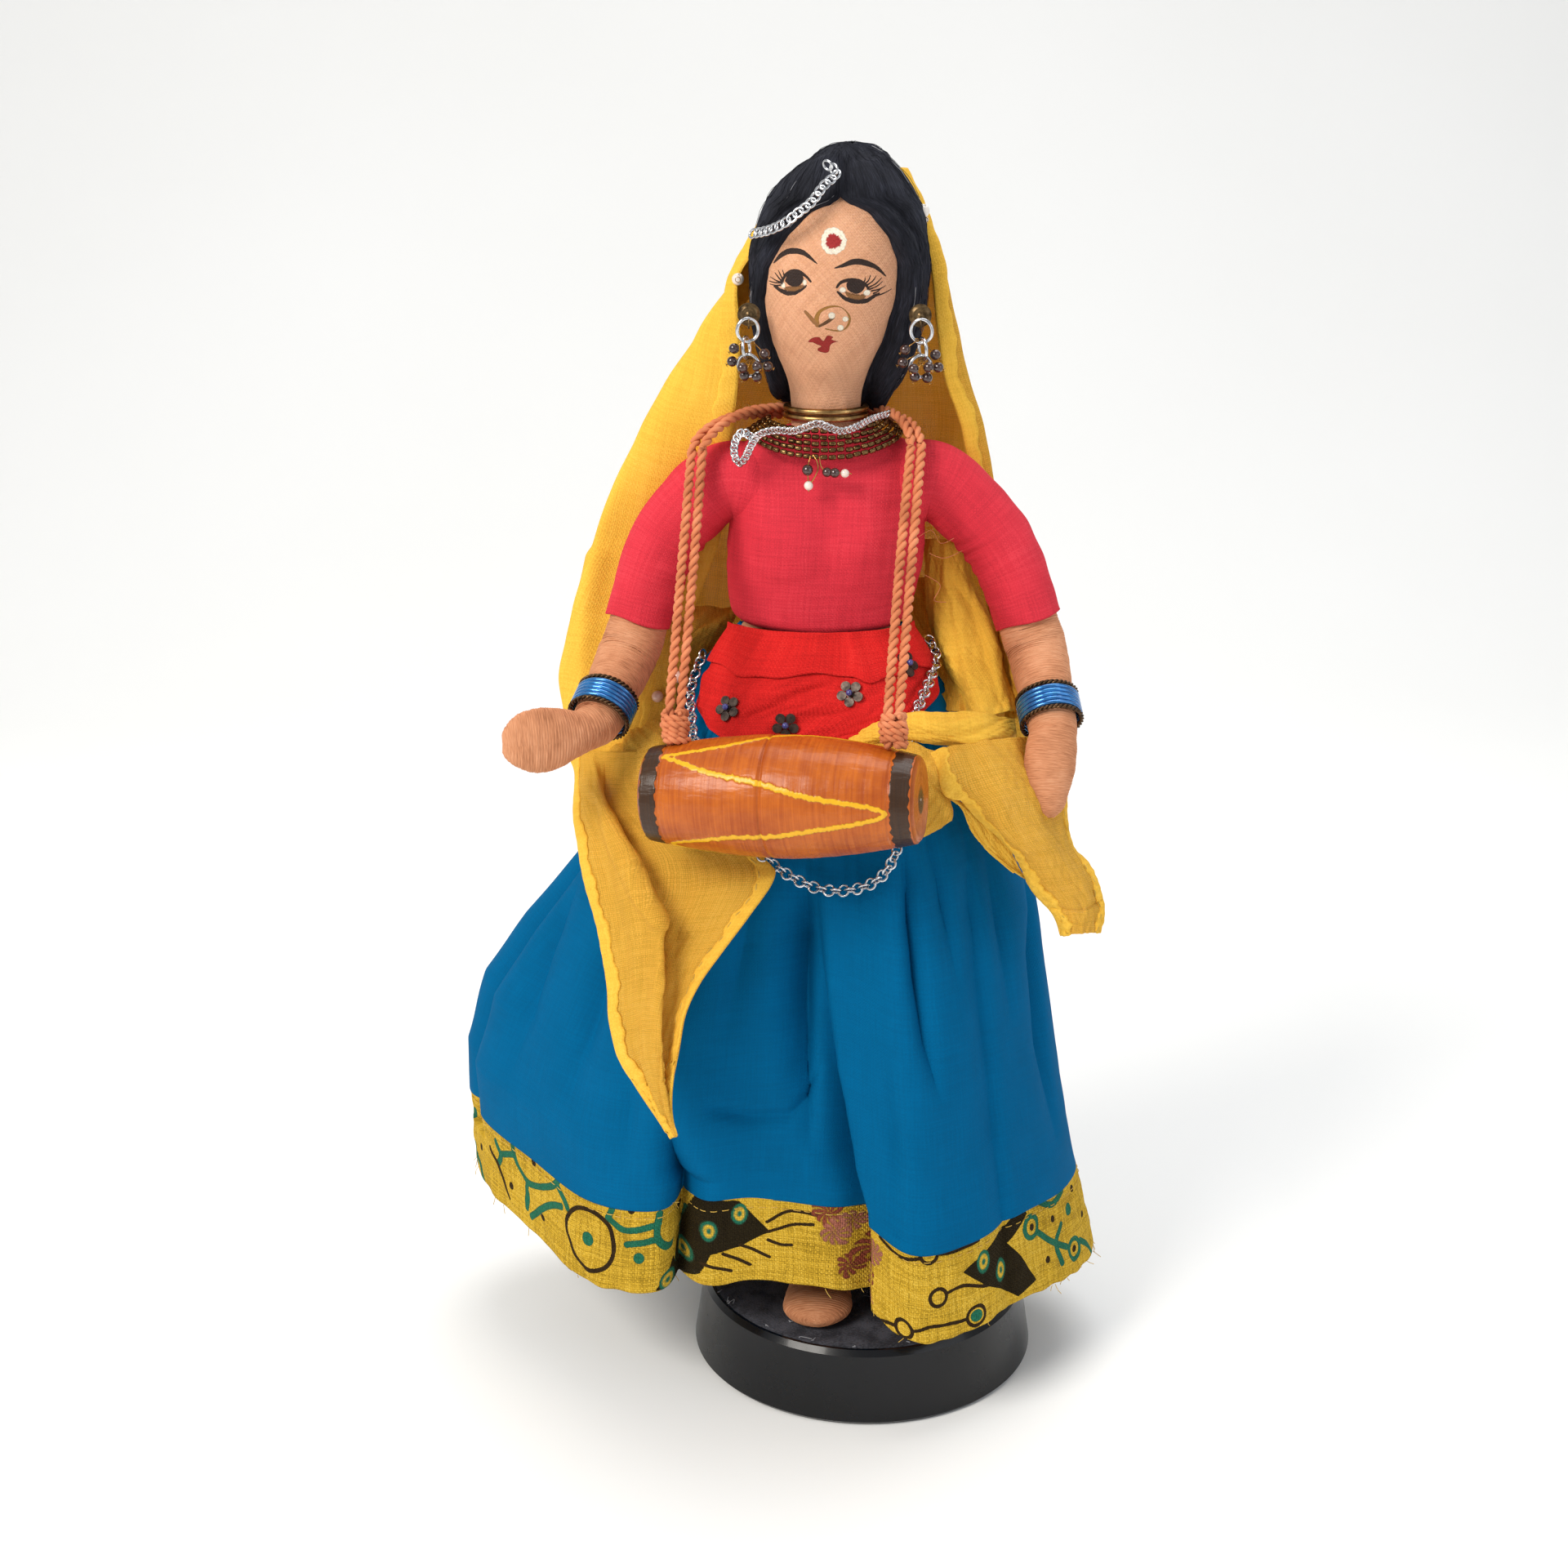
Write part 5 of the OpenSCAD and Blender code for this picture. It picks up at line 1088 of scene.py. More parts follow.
# the cotton is cut on the bias, so its threads run aslant over the face
layer = head.data.uv_layers["cloth"].data
straight = np.zeros(len(layer) * 2, np.float32)
layer.foreach_get("uv", straight)
straight = straight.reshape(-1, 2)
aslant = np.stack([straight[:, 0] - straight[:, 1], straight[:, 0] + straight[:, 1]], 1) * 0.7071
layer.foreach_set("uv", aslant.ravel())
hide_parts("head")
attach(head, "head")
print("face painted on", len(face) * face.shape[1], "points")


# hair: a shell of combed wool round the back and top of the head
hairRows = smoothPath([
    (-7.6, 7.4, 208.6, 8.2, 4.8), (-7.5, 6.6, 211, 10.2, 6.6), (-7.4, 5.4, 214.5, 13, 9.0),
    (-7.2, 3.4, 220, 15.4, 12.2),
    (-7, 2.2, 228, 17.1, 15), (-6.9, 1.6, 237, 17.8, 16.4), (-6.6, 1.4, 245, 17.0, 16),
    (-6, 1.4, 252, 14.1, 13.6),
    (-5.2, 1.6, 257.5, 9.4, 9.4), (-4.5, 1.8, 260.6, 4.6, 4.6), (-4.3, 1.9, 261.5, 0.5, 0.5)], 20)
hairCols, hairLines = 260, 190
hz = np.concatenate([np.linspace(208.7, 258, 150), np.linspace(258, 261.45, 41)[1:]])
hx, hy, ha, hb = [np.interp(hz, hairRows[:, 2], hairRows[:, k])[:, None] for k in (0, 1, 3, 4)]
edgeZ = [200, 208, 216, 224, 232, 238.5, 244.5, 249.2, 251.6]
edgeL = np.interp(hz, edgeZ, [-18, -18, -18.5, -20.7, -22.0, -20.9, -17, -12.2, -7.0])[:, None]
edgeR = np.interp(hz, edgeZ, [-0.8, -0.8, 0.6, 3.6, 5.6, 5.5, 2.6, -1.9, -7.0])[:, None]
fromR = -np.arccos(np.clip((edgeR - hx) / ha, -1, 1))
toL = 2 * math.pi - np.arccos(np.clip((edgeL - hx) / ha, -1, 1))
share = np.linspace(0, 1, hairCols)[None, :]
# columns crowd towards the face edge, where the roll of hair turns
share = 0.5 - 0.5 * np.cos(math.pi * share) * (0.35 + 0.65 * np.abs(np.cos(math.pi * share)) ** 0.2)
angle = mix(fromR, toL, np.clip(share, 0, 1))
hair = np.stack([hx + ha * np.cos(angle), hy + hb * np.sin(angle), hz[:, None] + 0 * angle], -1)
near = np.minimum(share, 1 - share)
opening = ease(251.8 - hz, 0, 2.5)[:, None]
# the roll next to the face swells, then a shallow parting, then the cap
span = (toL - fromR) * (ha + hb) / 2
fromEdge = near * span
roll = 0.9 * np.exp(-((fromEdge - 3.2) / 2.4) ** 2) - 0.75 * np.exp(-((fromEdge - 7.6) / 1.3) ** 2)
rolledEdge = -2.2 * np.exp(-(fromEdge / 0.9) ** 2)
comb = np.zeros(hair.shape[:2])
draw = np.random.default_rng(5)
arcAt = angle * 16
for k in range(26):
    f, g, ph = draw.uniform(1.2, 9.5), draw.uniform(-0.05, 0.05), draw.uniform(0, 6.28)
    comb += 0.26 / (1 + 0.35 * f) * np.sin(f * arcAt + g * (hz[:, None] - 235) * f + ph + 0.5 *
                                           np.sin(hz[:, None] / 7 + k))
relief = comb * 0.16 + waves(comb.shape, 6, (4, 4, 0.16), (9, 7, 0.09)) + (roll + rolledEdge) * opening
hair += gridNormals(hair) * (1 if ((gridNormals(hair) * (hair - hair.mean((0, 1)))).sum() > 0)
                             else -1) * relief[..., None]
# the edge tucks in onto the cotton of the head
fx, fy, fa, fb = [v[:, None] for v in headRing(np.clip(hz, 205.6, 258))]


def tuck(edge, depth):
    inner = edge.copy()
    toHead = np.stack([fx[:, 0] - edge[:, 0], fy[:, 0] - edge[:, 1], 0 * hz], -1)
    reach = np.hypot((edge[:, 0] - fx[:, 0]) / fa[:, 0], (edge[:, 1] - fy[:, 0]) / fb[:, 0])
    inner = inner + toHead * (np.clip(1 - 0.985 / np.maximum(reach, 0.99), 0, 1) * depth)[:, None]
    return inner


rightSide = [tuck(hair[:, 0], d) for d in (1.25, 0.85, 0.45)]
leftSide = [tuck(hair[:, -1], d) for d in (0.45, 0.85, 1.25)]
hair = np.stack(rightSide + [hair[:, k] for k in range(hairCols)] + leftSide, 1)
wool = gridMesh("combed_hair", hair, blackWool, caps=(False, False), uvRow=70)
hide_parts("hair")
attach(wool, "head")

# loose fibres lie along the combing, a few stand away from it
fibres, lintBits = [], []
for k in range(620):
    i, j = int(dice.integers(4, hairLines - 12)), int(dice.integers(6, hairCols))
    steps = int(dice.integers(10, 34))
    drift = dice.normal(0, 0.22)
    lift = abs(dice.normal(0.05, 0.12)) + (0.5 if dice.random() < 0.07 else 0)
    pts = []
    for s in range(0, steps, 3):
        ii, jj = min(i + s, hairLines - 2), int(np.clip(j + drift * s, 3, hairCols - 1))
        p = hair[ii, jj]
        out = unit(p - np.array([-6.9, 1.6, 234]))
        pts.append(p + out * (lift * math.sin(math.pi * s / steps) + 0.03))
    if len(pts) > 2:
        (lintBits if k % 15 == 0 and steps < 22
         else fibres).append(tubePart(smoothPath(pts, 2), 0.055, 3, capped=False))
fuzz = joinMeshes("hair_fibres", fibres, blackWool)
specks = joinMeshes("hair_lint", lintBits, looseLint)
for piece in (fuzz, specks):
    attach(piece, "head")
print("hair combed")

# jewellery: the metal and beads keep their own shapes, with real finishes
finishes = {"neck_ring": wornBrass, "ear_stud_left": agedStud, "ear_stud_right": agedStud,
            "ear_beads_left": darkBead, "ear_beads_right": darkBead, "waist_chain": silverLink,
            "apron_flowers": darkStamping,
            "apron_beads": violetBead, "veil_pins": pearlGlaze, "side_pins": pinkPearl}
for name, finish in finishes.items():
    nodes[name].data.materials.clear()
    nodes[name].data.materials.append(finish)


def bead(centre, r, axis=(0, 0, 1), sides=20, stacks=12):    # a round bead with a small hole along its axis
    axis = unit(axis)
    a = unit(np.cross(axis, [0.31, 0.17, 1.0]))
    b = np.cross(axis, a)
    hole = 0.2
    f = np.linspace(math.asin(hole), math.pi - math.asin(hole), stacks)
    rr = np.concatenate([[hole * 0.9], np.sin(f), [hole * 0.9]]) * r
    hh = np.concatenate([[0.6], np.cos(f), [-0.6]]) * r
    turn = np.arange(sides) * 2 * math.pi / sides
    ringPts = (np.asarray(centre, float) + axis * hh[:, None, None]
               + rr[:, None, None] * (a * np.cos(turn)[None, :, None] + b * np.sin(turn)[None, :, None]))
    n = sides
    faces = [[i * n + j, i * n + (j + 1) % n, (i + 1) * n + (j + 1) % n, (i + 1) * n + j]
             for i in range(len(rr) - 1) for j in range(n)]
    faces += [list(range(n))[::-1], [(len(rr) - 1) * n + j for j in range(n)]]
    return ringPts.reshape(-1, 3), faces


# collar: five close rows of short bronze tubes threaded side by side
collar = {"pitch": 1.66, "tube": 1.02, "rows": [(9.9, 208.4, 207.2), (10.7, 207.9, 206.0),
                                                (11.5, 207.3, 204.9), (12.4, 206.6, 203.8),
                                               (13.2, 205.9, 202.6)]}
tubes = []
for k, (out, high, low) in enumerate(collar["rows"]):
    turnAt = np.radians(np.linspace(166, 378, 160))
    dip = np.where(np.sin(turnAt) < 0, np.abs(np.sin(turnAt)) ** 1.4, 0)
    route = np.stack([-9.6 + out * 1.16 * np.cos(turnAt), (out + 0.3) * np.sin(turnAt),
                      mix(high, low, dip)], 1)
    count = int(runOf(route)[-1] / collar["pitch"])
    route = evenly(route, count * 2 + 1)
    heading = headings(route)
    for j in range(1, len(route) - 1, 2):
        p = route[j] + dice.normal(0, 0.06, 3)
        t = heading[j]
        up = unit(np.array([0, 0, 1.0]) - t * t[2])
        lyingFace = np.cross(t, up)
        grip = np.linspace(0, 2 * math.pi, 14, endpoint=False)
        rim = []
        for alongBead, fat in ((-0.74, 0.5), (-0.66, 0.86), (-0.4, 1.0), (0.4, 1.0), (0.66, 0.86),
                               (0.74, 0.5)):
            rim.append(p + t * alongBead +
                       (up * np.sin(grip)[:, None] + lyingFace * np.cos(grip)[:, None]) * fat *
                       collar["tube"] / 2)
        verts = np.concatenate(rim)
        faces = [[i * 14 + m, i * 14 + (m + 1) % 14, (i + 1) * 14 + (m + 1) % 14, (i + 1) * 14 + m]
                 for i in range(5) for m in range(14)]
        faces += [list(range(14))[::-1], [70 + m for m in range(14)]]
        tubes.append((verts, faces))
collarTubes = joinMeshes("collar_bead_rows", tubes, bronzeBead)
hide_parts("collar_beads")
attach(collarTubes, "doll")


# a ring of wire
def torusPart(centre, axis, r, wire, sides=10, roundCount=30, stretch=1.0, stretchAlong=(0, 0, 1)):
    axis = unit(axis)
    b = unit(np.asarray(stretchAlong, float) - axis * (np.asarray(stretchAlong, float) @ axis))
    a = np.cross(axis, b)
    turn = np.arange(roundCount) * 2 * math.pi / roundCount
    mid = np.asarray(centre, float) + r * (np.cos(turn)[:, None] * a + stretch * np.sin(turn)[:, None] * b)
    out = unit(np.cos(turn)[:, None] * a + np.sin(turn)[:, None] * b / stretch)
    t = np.arange(sides) * 2 * math.pi / sides
    verts = mid[:, None] + wire / 2 * (np.cos(t)[None, :, None] * out[:, None] + np.sin(t)[None, :, None] *
                                       axis)
    n = sides
    faces = [[i * n + j, i * n + (j + 1) % n, ((i + 1) % roundCount) * n + (j + 1) % n,
              ((i + 1) % roundCount) * n + j]
             for i in range(roundCount) for j in range(n)]
    return verts.reshape(-1, 3), faces


# ear rings: three linked rings of plated wire, each hung in the one above
for side, ear, lean in (("left", (-24.6, -9.4, 229.7), -1), ("right", (8.6, -9.4, 229.5), 1)):
    c = np.array(ear)
    rings = [torusPart(c + [0.2 * lean, -1.3, -2.9], (0.25 * lean, 1, 0.1), 2.1, 0.72, stretch=1.08),
             torusPart(c + [0.5 * lean, -1.5, -6.3], (1, 0.35 * lean, 0.1), 1.9, 0.7, stretch=1.1),
             torusPart(c + [0.1 * lean, -1.7, -9.6], (-0.3 * lean, 1, 0.15), 2.15, 0.72)]
    hoops = joinMeshes("ear_hoops_" + side, rings, silverLink)
    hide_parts("ear_rings_" + side)
    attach(hoops, "earring_" + side)


# links that lie flat, each turned over its neighbour
def curbChain(name, path, pitch, wire, body, wide=1.0, lie=(0, -1, 0)):
    path = evenly(smoothPath(path, 10), max(4, int(runOf(smoothPath(path, 10))[-1] / pitch)))
    t = headings(path)
    links = []
    for k, (p, d) in enumerate(zip(path, t)):
        lyingFace = unit(np.asarray(lie, float) - d * (np.asarray(lie, float) @ d))
        lyingSide = np.cross(d, lyingFace)
        twist = 0.62
        axis = lyingFace * math.cos(twist) + lyingSide * math.sin(twist)
        links.append(torusPart(p, axis, pitch * 0.66 * wide, wire, 8, 22, 1.0 / wide * 1.2, d))
    chain = joinMeshes(name, links, silverLink)
    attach(chain, body)
    return chain


hairChain = curbChain("hair_chain", [(-9.5, -11.6, 257.5), (-7.9, -12.9, 256.1), (-10.4, -14.4, 253.8),
                                     (-12.6, -15.4, 251.0),
                                     (-15.2, -15.8, 249.0), (-17.8, -15.2, 247.1), (-20.7, -13.2, 245.7),
                                     (-23.7, -9.8, 244.9)],
                      1.34, 0.5, "head")
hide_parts("head_chain")
neckChain = curbChain("neck_chain_rope", [(-23.8, -14.6, 206.4), (-25.9, -13.2, 207.4),
                                          (-27.3, -13.2, 205.6), (-27.5, -13.6, 203.2), (-26.6, -14.2, 201.6),
                                          (-25.4, -15, 202.6), (-24.2, -15.8, 205.2), (-22.6, -16.2, 207.4),
                                          (-19.6, -16.8, 208.3), (-16, -17, 208.2),
                                          (-13.4, -16.9, 209.0), (-11.2, -16.7, 209.6), (-9, -16.6, 208.8),
                                          (-6.6, -15.6, 208.0), (-3.6, -13.6, 208.6),
                                          (-0.6, -10.0, 209.6), (2.6, -6.2, 210.0)], 1.02, 0.46, "doll", 1.15)
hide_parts("neck_chain")

# headpins: fine gold wires that carry the beads, each with a flat foot under its bead
cluster = [(-2.9, -1.4, -6.4), (-3.3, -1.2, -8.9), (3, -1.4, -7.4), (3.6, -1.6, -9.8), (-0.9, -1.4, -11.6),
           (1.5, -1.8, -11.8), (-1.3, -3.4, -9.9), (1.6, -3.4, -9.6)]
hangFrom = [(-0.6, -1.15, -4.6), (-0.4, -1.15, -7.2), (0.7, -1.15, -5.4), (0.5, -1.15, -8.6),
            (0, -1.15, -9.1), (0.2, -1.15, -9.1), (0, -1.6, -8.2), (0.3, -1.6, -8.2)]
for side, ear in (("left", (-24.6, -9.4, 229.7)), ("right", (8.6, -9.4, 229.5))):
    parts = []
    c = np.array(ear)
    for b, h in zip(cluster, hangFrom):
        b, h = np.array(b), np.array(h)
        out = unit(b - h)
        end = b + out * 1.25
        loop = [h + np.array([0.3 * math.cos(a), -0.1, 0.3 * math.sin(a)]) for a in np.linspace(0.5, 6.4, 9)]
        route = loop + [mix(h, b, 0.5) + np.array([0.1, -0.15, 0.1]), b, end]
        parts.append(tubePart(c + smoothPath(route, 3), 0.11, 6))
        foot = np.stack([end, end + out * 0.12])
        parts.append(tubePart(c + foot, 0.34, 8))
    pins = joinMeshes("ear_headpins_" + side, parts, goldPin)
    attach(pins, "earring_" + side)
    # a small bright cone in the middle of the worn stud
    f = np.linspace(0, 1, 9)
    dome = np.stack([2.05 * f, -0.72 - 0.5 * np.cos(f * math.pi / 2) - 0.12 * np.cos(f * 9)], 1)
    turn = np.arange(40) * 2 * math.pi / 40
    grid = np.stack([c[0] + dome[:, :1] * np.cos(turn), c[1] + dome[:, 1:] + 0 * turn,
                     c[2] + dome[:, :1] * np.sin(turn)], -1)
    cup = gridMesh("stud_dome_" + side, grid, agedStud, around=True, caps=(True, False))
    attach(cup, "head")

# three pendants on wires under the collar
pendants = [(-13.2, -15.6, 200.4, 1.12, darkBead), (-13.0, -15.9, 197.4, 0.92, pearlGlaze),
            (-9.4, -15.7, 200.0, 0.98, darkBead),
            (-7.9, -15.9, 199.9, 0.98, darkBead), (-5.9, -15.8, 199.8, 0.86, pearlGlaze)]
made = {}
for px, py, pz, r, finish in pendants:
    made.setdefault(finish.name, (finish, []))[1].append(bead((px, py, pz), r,
                                                              (0.2, -0.1, 1) if px < -11
                                                              else (1, -0.1, -0.15)))
first = None
for finish, parts in made.values():
    obj = joinMeshes("pendant_" + ("pearls" if finish is pearlGlaze else "beads"), parts, finish)
    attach(obj, "pendant")
    if first is None:
        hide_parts("pendant_beads")
        first = obj
wires = [[(-12.6, -15.3, 203.2), (-13.0, -15.7, 201.8), (-13.2, -15.6, 200.4), (-13.1, -15.8, 198.8),
          (-13.0, -15.9, 197.4), (-12.95, -15.9, 196.2)],
         [(-12.2, -15.2, 203.4), (-11.4, -15.9, 202.2), (-11.2, -16.1, 200.6), (-12.0, -16.2, 198.8),
          (-12.9, -16.0, 197.6)],
         [(-10.9, -15.4, 203.0), (-10.6, -15.7, 201.2), (-9.4, -15.7, 200.0), (-7.9, -15.9, 199.9),
          (-5.9, -15.8, 199.8), (-4.6, -15.8, 199.7)]]
pins = joinMeshes("pendant_wires", [tubePart(smoothPath(w, 6), 0.13, 7) for w in wires], goldPin)
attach(pins, "pendant")
print("jewellery finished")

# drum: turned wood, brushed with orange lacquer, black bands and a yellow zigzag
drumLook = {"half": 26.5, "shift": -0.35, "left": 9.05, "right": 8.35, "belly": 11.95, "groove": -2.0,
            "line": 1.05}
lacquer, tree, shader = newMaterial("brushed orange lacquer", {
    "Roughness": 0.4, "Coat Weight": 0.08, "Coat Roughness": 0.15, "IOR": 1.36})
# turned wood under thick hand-brushed lacquer: streaks run round the drum, drips and worn ridges catch the
# light
uv = addNode(tree, "UVMap", uv_map="cloth")
alongBrush = addNode(tree, "VectorMath", {0: uv, 1: (0.05, 1.5, 1)}, operation="MULTIPLY")
brushMark = addNode(tree, "TexNoise", {"Vector": alongBrush, "Scale": 1.0, "Detail": 6.0, "Roughness": 0.6})
pool = addNode(tree, "TexNoise", {"Vector": uv, "Scale": 0.11, "Detail": 4.0, "Roughness": 0.6})
drip = addNode(tree, "TexNoise", {"Vector": addNode(tree, "VectorMath", {0: uv, 1: (0.5, 0.16, 1)},
                                                    operation="MULTIPLY"),
                                  "Scale": 1.0, "Detail": 3.0})
tone = addNode(tree, "Math", {0: brushMark, 1: 0.5,
                              2: addNode(tree, "Math", {0: pool, 1: 0.5}, operation="MULTIPLY")},
               operation="MULTIPLY_ADD")
toned = addNode(tree, "MapRange", {"Value": tone, "From Min": 0.38, "From Max": 0.62})
orange = addNode(tree, "Mix", {"Factor": toned, "A": toLinear("#9c440c"), "B": toLinear("#c0641c")},
                 data_type="RGBA")
paintLayer = addNode(tree, "VertexColor", layer_name="paint")
cover = addNode(tree, "MapRange", {"Value": paintLayer.outputs["Alpha"], "From Min": 0.35, "From Max": 0.6})
thin = addNode(tree, "Mix", {"Factor": addNode(tree, "Math", {0: brushMark, 1: 0.35}, operation="MULTIPLY"),
                             "A": paintLayer.outputs["Color"], "B": toLinear("#7a4a16")}, data_type="RGBA")
colour = addNode(tree, "Mix", {"Factor": cover, "A": orange, "B": thin}, data_type="RGBA")
rough = addNode(tree, "MapRange", {"Value": tone, "From Min": 0.3, "From Max": 0.7, "To Min": 0.42,
                                   "To Max": 0.22})
relief = addNode(tree, "Math", {0: brushMark, 1: 0.35,
                                2: addNode(tree, "Math", {0: drip, 1: 1.1}, operation="MULTIPLY")},
                 operation="MULTIPLY_ADD")
bump = addNode(tree, "Bump", {"Strength": 0.6, "Distance": 0.35 * mm, "Height": relief})
feed(tree, shader, colour=colour, rough=rough, bump=bump)

rowsS = np.linspace(-drumLook["half"], drumLook["half"], 330)
f = np.abs(rowsS) / drumLook["half"]
endR = np.where(rowsS < 0, drumLook["left"], drumLook["right"])
radius = mix(drumLook["belly"], endR, f * f * (1.35 - 0.35 * f))
radius -= 0.35 * np.exp(-((rowsS - drumLook["groove"]) / 0.32) ** 2)
for at, deep in ((-22.6, 0.22), (22.0, 0.2)):
    radius -= deep * np.exp(-((rowsS - at) / 0.25) ** 2)
sides = 300
phi = np.linspace(0, 2 * math.pi, sides, endpoint=False)
s = np.concatenate([[-drumLook["half"] - 0.3] * 9, rowsS, [drumLook["half"] + 0.3] * 9])
rad = np.concatenate([np.linspace(0.05, 1, 9) * (drumLook["left"] - 0.55), radius,
                      np.linspace(1, 0.05, 9) * (drumLook["right"] - 0.55)])
s[9] += 0.25
s[-10] -= 0.25
drumAlong, drumAround = np.meshgrid(s, phi, indexing="ij")
drumRadius = rad[:, None] + 0 * drumAround
zig = [(-22.4, 27), (-13.5, 49), (-1.7, 62), (6.1, 72), (18.3, 82), (21.6, 91), (18, 99), (7.4, 106.5),
       (-0.6, 113), (-10.6, 119),
       (-21.2, 146), (-12, 168), (4, 190), (21, 212), (8, 232), (-8, 250), (-21.4, 272), (-10, 292),
       (8, 312), (21, 334), (12, 349), (3.5, 353), (-9, 377), (-22.4, 387)]
zig = smoothPath([(a, b) for a, b in zig], 7)
best = np.full(drumAlong.shape, 9.0)
for i in range(len(zig) - 1):
    for shiftDeg in (0, -360):
        a = np.array([zig[i][0], math.radians(zig[i][1] + shiftDeg)])
        b = np.array([zig[i + 1][0], math.radians(zig[i + 1][1] + shiftDeg)])
        if abs(a[1] - math.pi) > 4.2 + math.pi:
            continue
        rr = 11.0
        dx, dp = b[0] - a[0], (b[1] - a[1]) * rr
        ds, dq = drumAlong - a[0], (drumAround - a[1]) * rr
        g = np.clip((ds * dx + dq * dp) / max(dx * dx + dp * dp, 1e-9), 0, 1)
        best = np.minimum(best, np.hypot(ds - g * dx, dq - g * dp))
ragged = waves(drumAlong.shape, 14, (30, 30, 0.10), (70, 60, 0.06))
lineM = ease(drumLook["line"] / 2 + ragged - best, -0.12, 0.12)
onSide = (np.abs(drumAlong) <= drumLook["half"] + 0.01)
edgeWave = ragged * 1.6
bandM = np.maximum(ease(-drumAlong - 23.0 + edgeWave, -0.12, 0.12) *
                   ease(drumAlong + 26.3 - edgeWave * 0.5, -0.15, 0.15),
                   ease(drumAlong - 22.5 + edgeWave, -0.12, 0.12) *
                   ease(26.0 - drumAlong + edgeWave * 0.5, -0.15, 0.15)) * onSide
endY = np.hypot(drumRadius * np.sin(drumAround) - 0.2, drumRadius * np.cos(drumAround) + 0.3)
dotM = ease(2.55 + ragged * 1.5 - endY, -0.15, 0.15) * (drumAlong > drumLook["half"] + 0.02)
dotM = np.maximum(dotM, ease(2.4 + ragged * 1.5 - endY, -0.15, 0.15) * (drumAlong < -drumLook["half"] - 0.02))
drumPaint = np.zeros(drumAlong.shape + (4,))
for mask, code in ((lineM * onSide, "#eeb41d"), (bandM, "#171414"), (dotM, "#1d1816")):
    drumPaint[..., :3] = drumPaint[..., :3] * (1 -
                                               mask[..., None]) + np.array(toLinear(code)[:3]) * mask[...,
                                                       None]
    drumPaint[..., 3] = np.maximum(drumPaint[..., 3], mask)
drumRadius = drumRadius + 0.13 * lineM * onSide + 0.09 * bandM + waves(drumAlong.shape, 15, (5, 3, 0.05),
                                                                       (16, 6, 0.02)) * onSide
body = drumPoint(np.stack([drumAlong + drumLook["shift"], -drumRadius * np.sin(drumAround),
                           drumRadius * np.cos(drumAround)], -1))
shell = gridMesh("lacquered_drum", body, lacquer, around=True, caps=(True, True), uvRow=170)
paintMesh(shell, "paint", drumPaint.reshape(-1, 4))
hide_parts("drum_body")
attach(shell, "drum")
print("drum painted")


# skirt: one gathered tube of teal cotton, with the folds seen at the front and more round the back
around = {"at": [0, 0.1, 0.2, 0.4, 0.6, 0.8, 0.93, 1],
          "length": [91.5, 146.4, 189.1, 258.8, 317.7, 354.1, 365.1, 370.7]}
seamAt = 0.858
# each fold: (u, t) route, depth in mm at its t, width to the left and to the right
folds = [
    ([(0.704, 0.3), (0.705, 0.44), (0.705, 0.54), (0.707, 0.66), (0.711, 0.78)], [0, 3.4, 3.6, 2.8, 0],
     3.4, 1.6),
    ([(0.712, 0.34), (0.715, 0.437), (0.719, 0.535), (0.725, 0.635), (0.731, 0.683), (0.737, 0.784),
      (0.746, 0.842), (0.747, 0.908), (0.748, 1)], [0, 1.6, 2.6, 3.4, 4.2, 5.2, 5.6, 5.6, 5.4], 5.2, 0.9),
    ([(0.809, 0.26), (0.808, 0.377), (0.808, 0.457), (0.811, 0.551), (0.821, 0.64)], [0, 2.4, 2.6, 1.6, 0],
     2.8, 1.8),
    ([(0.889, 0.28), (0.882, 0.381), (0.879, 0.439), (0.876, 0.547), (0.877, 0.647), (0.88, 1)],
     [0, 1.2, 1.1, 1, 0.9, 0.7], 4, 2.2),
    ([(0.998, 0.34), (0.967, 0.481), (0.957, 0.623), (0.953, 0.80)], [0, 1.8, 1.6, 0], 4.6, 2.6),
    ([(0.545, 0.42), (0.554, 0.519), (0.557, 0.579), (0.558, 0.631), (0.557, 0.74)], [0, 2.2, 2.2, 1.8, 0],
     3.2, 4),
    ([(0.478, 0.42), (0.488, 0.511), (0.497, 0.571), (0.507, 0.641), (0.508, 0.76)], [0, 1.8, 2, 1.6, 0],
     4, 3),
    ([(0.628, 0.70), (0.636, 0.778), (0.64, 0.806), (0.646, 0.828), (0.645, 1)], [0, 3.2, 5.2, 6.2, 5.6],
     3.2, 2.2),
    ([(0.600, 0.60), (0.603, 0.7), (0.606, 0.84)], [0, 1.1, 0], 3.2, 3.2),
    ([(0.77, 0.55), (0.772, 0.7), (0.776, 0.85)], [0, 1.0, 0.3], 3, 3.4),
    ([(0.668, 0.3), (0.668, 0.45), (0.66, 0.6)], [0, 1.2, 0], 2.4, 2.4),
    ([(0.84, 0.22), (0.845, 0.36), (0.85, 0.5)], [0, 1.2, 0], 2.4, 2.0),
    ([(0.915, 0.28), (0.913, 0.42), (0.91, 0.58)], [0, 1.3, 0], 2.6, 2.2),
]
draw = np.random.default_rng(23)
for k in range(10):
    u0 = 0.03 + 0.44 * (k + draw.uniform(0.2, 0.8)) / 10
    folds.append(([(u0, 0.16), (u0 + draw.uniform(-0.006, 0.006), 0.5),
                   (u0 + draw.uniform(-0.012, 0.012), draw.uniform(0.8, 1.0))],
                  [0, draw.uniform(1.8, 3.2), draw.uniform(0.4, 2.2)], draw.uniform(2.6, 4.4),
                  draw.uniform(2, 3.6)))
